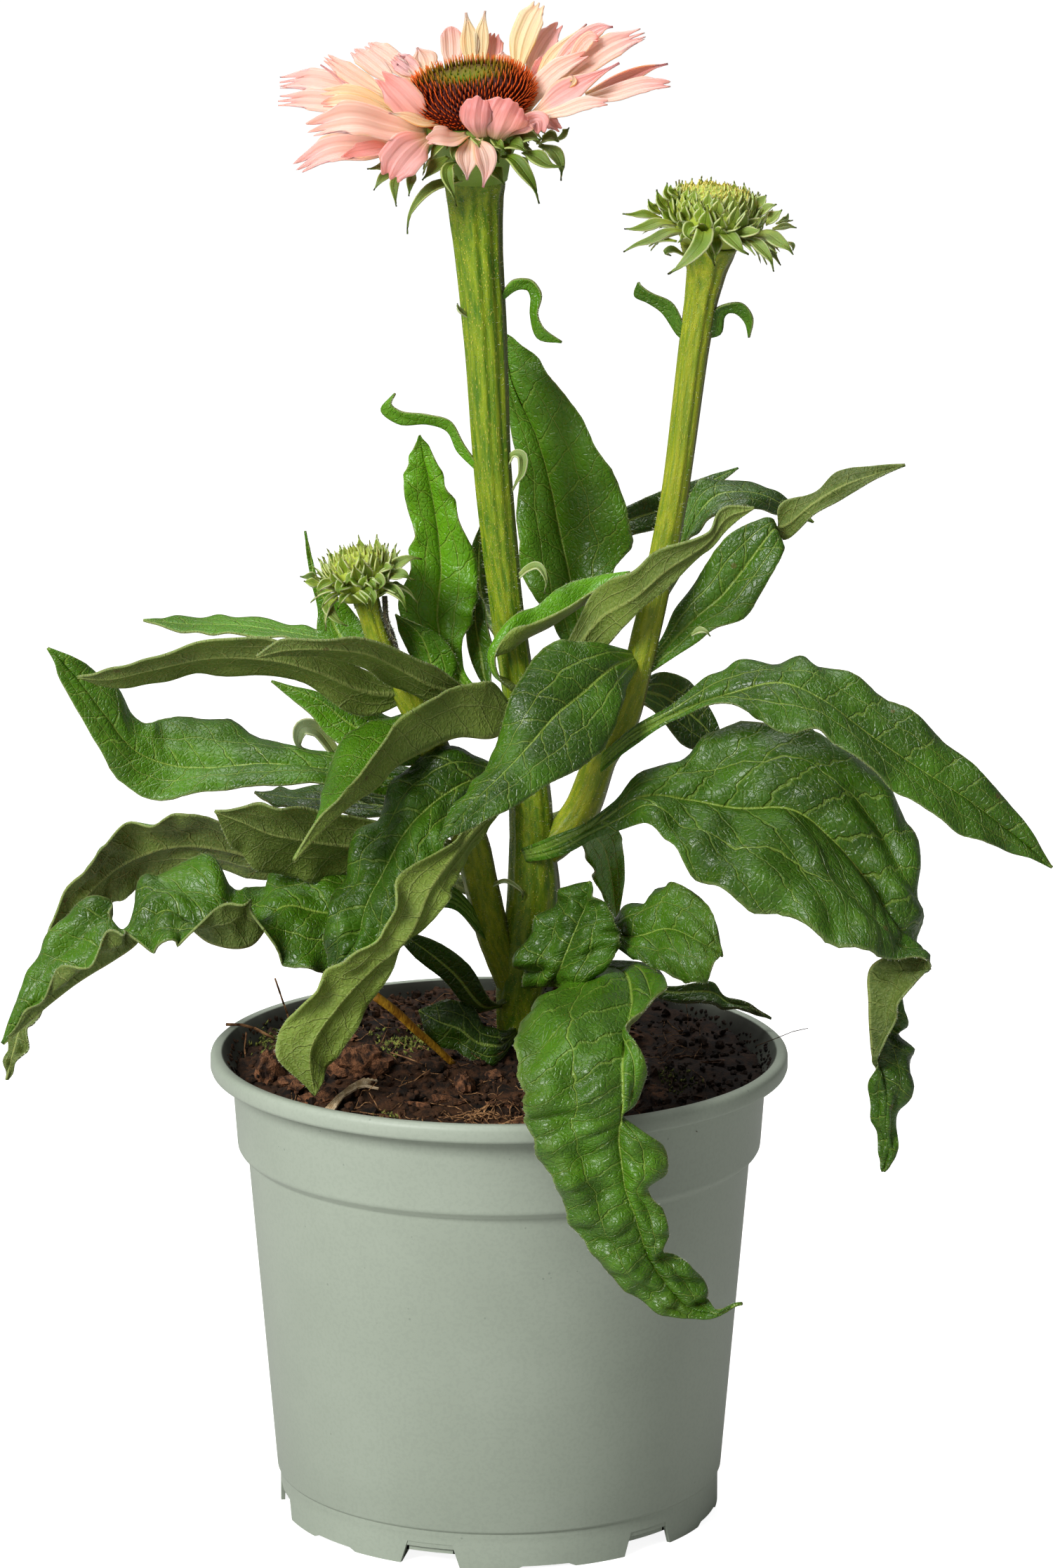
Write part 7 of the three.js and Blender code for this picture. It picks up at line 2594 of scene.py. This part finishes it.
def build_curls() -> None:
    """Makes the curled bracts."""
    heap = Heap("span", "tone")
    random = Random(CURL_SEED)
    for strip in STEM_CURLS:
        strip.grow(heap, random, columns=6, rows=20)
    skin = ScaleSkin(
        "curl", tint("7f9440"), tint("7d9446"), tint("3c5626"), tint("c3cc9c"), tint("7f8a58"),
    ).material()
    make_piece("stem_curls", heap.done(), [skin], (), Wall(CURL_THICKNESS))


# ---------------------------------------------------------------- studio
@dataclass
class Studio:
    """A pale floor, soft light from the left and the camera in front and a little above."""

    camera_at: Row = (0.0, -1.7, 0.6)
    pitch: float = 12.66  # degrees below level
    lens: float = 137.2
    sensor: float = 36.0
    frame_height: int = 2233  # pixels of the long side
    axis_off: int = 39  # pixels that the pot's axis stands left of the middle
    sky: float = 0.24  # how bright the sky is as a light
    key_at: Row = (-1.25, -1.5, 1.35)
    key_size: float = 0.8
    key_power: float = 62.0
    top_at: Row = (-0.2, 0.6, 2.1)
    top_size: float = 1.3
    top_power: float = 30.0
    aim: Row = (0, 0, 0.22)
    floor_half: float = 14.0
    glow: float = 0.9  # what the floor shows of its own to the camera

    def floor(self) -> None:
        """Lays the floor, which shows paler than it bounces light."""
        bm = bmesh.new()
        bmesh.ops.create_grid(bm, x_segments=1, y_segments=1, size=self.floor_half)
        mesh = bpy.data.meshes.new("floor")
        bm.to_mesh(mesh)
        bm.free()
        piece = bpy.data.objects.new("floor", mesh)
        bpy.context.scene.collection.objects.link(piece)
        finish, w, shader = new_finish("floor", 0.9, Specular_IOR_Level=0.0, Emission_Color=(1, 1, 1, 1))
        seen = w.add("ShaderNodeLightPath").outputs["Is Camera Ray"]
        w.feed(shader.inputs["Emission Strength"], w.times(seen, self.glow))
        dress(w, shader, w.mix(w.noise(w.place(), 3.0), tint("b9b9b7"), tint("bdbdbc")))
        mesh.materials.append(finish)

    def lamp(self, name: str, at: Row, size: float, power: float) -> None:
        """Hangs a square soft light aimed at the middle of the plant.

        Args:
            name: its name.
            at: its place in metres.
            size: its side in metres.
            power: its power in watts.
        """
        data = bpy.data.lights.new(name, "AREA")
        data.shape = "SQUARE"
        data.size = size
        data.energy = power
        lamp = bpy.data.objects.new(name, data)
        lamp.location = at
        way = Vector(self.aim) - Vector(at)
        lamp.rotation_euler = way.to_track_quat("-Z", "Y").to_euler()
        bpy.context.scene.collection.objects.link(lamp)

    def light_sky(self) -> None:
        """Gives the even light from all round."""
        world = bpy.data.worlds.new("sky")
        world.use_nodes = True
        sky = world.node_tree.nodes["Background"]
        sky.inputs["Color"].default_value = (1, 1, 1, 1)
        sky.inputs["Strength"].default_value = self.sky
        bpy.context.scene.world = world

    def set_camera(self) -> None:
        """Sets up the camera on the pot's middle plane, looking down a little."""
        data = bpy.data.cameras.new("camera")
        data.lens = self.lens
        data.sensor_width = self.sensor
        data.shift_x = self.axis_off / self.frame_height
        camera = bpy.data.objects.new("camera", data)
        camera.location = self.camera_at
        camera.rotation_euler = (math.radians(90 - self.pitch), 0, 0)
        bpy.context.scene.collection.objects.link(camera)
        bpy.context.scene.camera = camera

    def build(self) -> None:
        """Sets up floor, lights, sky and camera."""
        self.floor()
        self.lamp("key light", self.key_at, self.key_size, self.key_power)
        self.lamp("top light", self.top_at, self.top_size, self.top_power)
        self.light_sky()
        self.set_camera()
        bpy.context.scene.view_settings.view_transform = "Standard"


def main() -> None:
    """Builds the plant from the pot up."""
    logging.basicConfig(level=logging.INFO, format="%(message)s")
    noise.seed_set(NOISE_SEED)
    Studio().build()
    Pot().build()
    Soil().build()
    main_skin = StemSkin("main stem", tint("839417"), tint("486d0b"), tint("46462a"))
    side_skin = StemSkin("side stem", tint("989f20"), tint("688018"), tint("585038"))
    Stem("stem_main", MAIN_STEM, main_skin, hairs=2300).build()
    Stem("stem_right", RIGHT_STEM, side_skin, ridges=9, seed=8).build()
    Stem("stem_left", LEFT_STEM, side_skin, ridges=8, hairs=1100, seed=12).build()
    # painted shade: a dark hairy strip along the shaded right margin of the left stem
    shade_strip = StemSkin("shade_strip", tint("57503f"), tint("37302c"), tint("2b2426"))
    Stem(
        "stem_left_shade_strip", LEFT_SHADE_STRIP, shade_strip,
        ridges=5, ridge_depth=0.05, ridge_top=0.1, hairs=500, sides=18, seed=15, replaces=False,
    ).build()
    Foliage().build()
    build_curls()
    OpenFlower().build()
    RIGHT_BUD.build()
    LEFT_BUD.build()


if __name__ == "__main__":
    main()
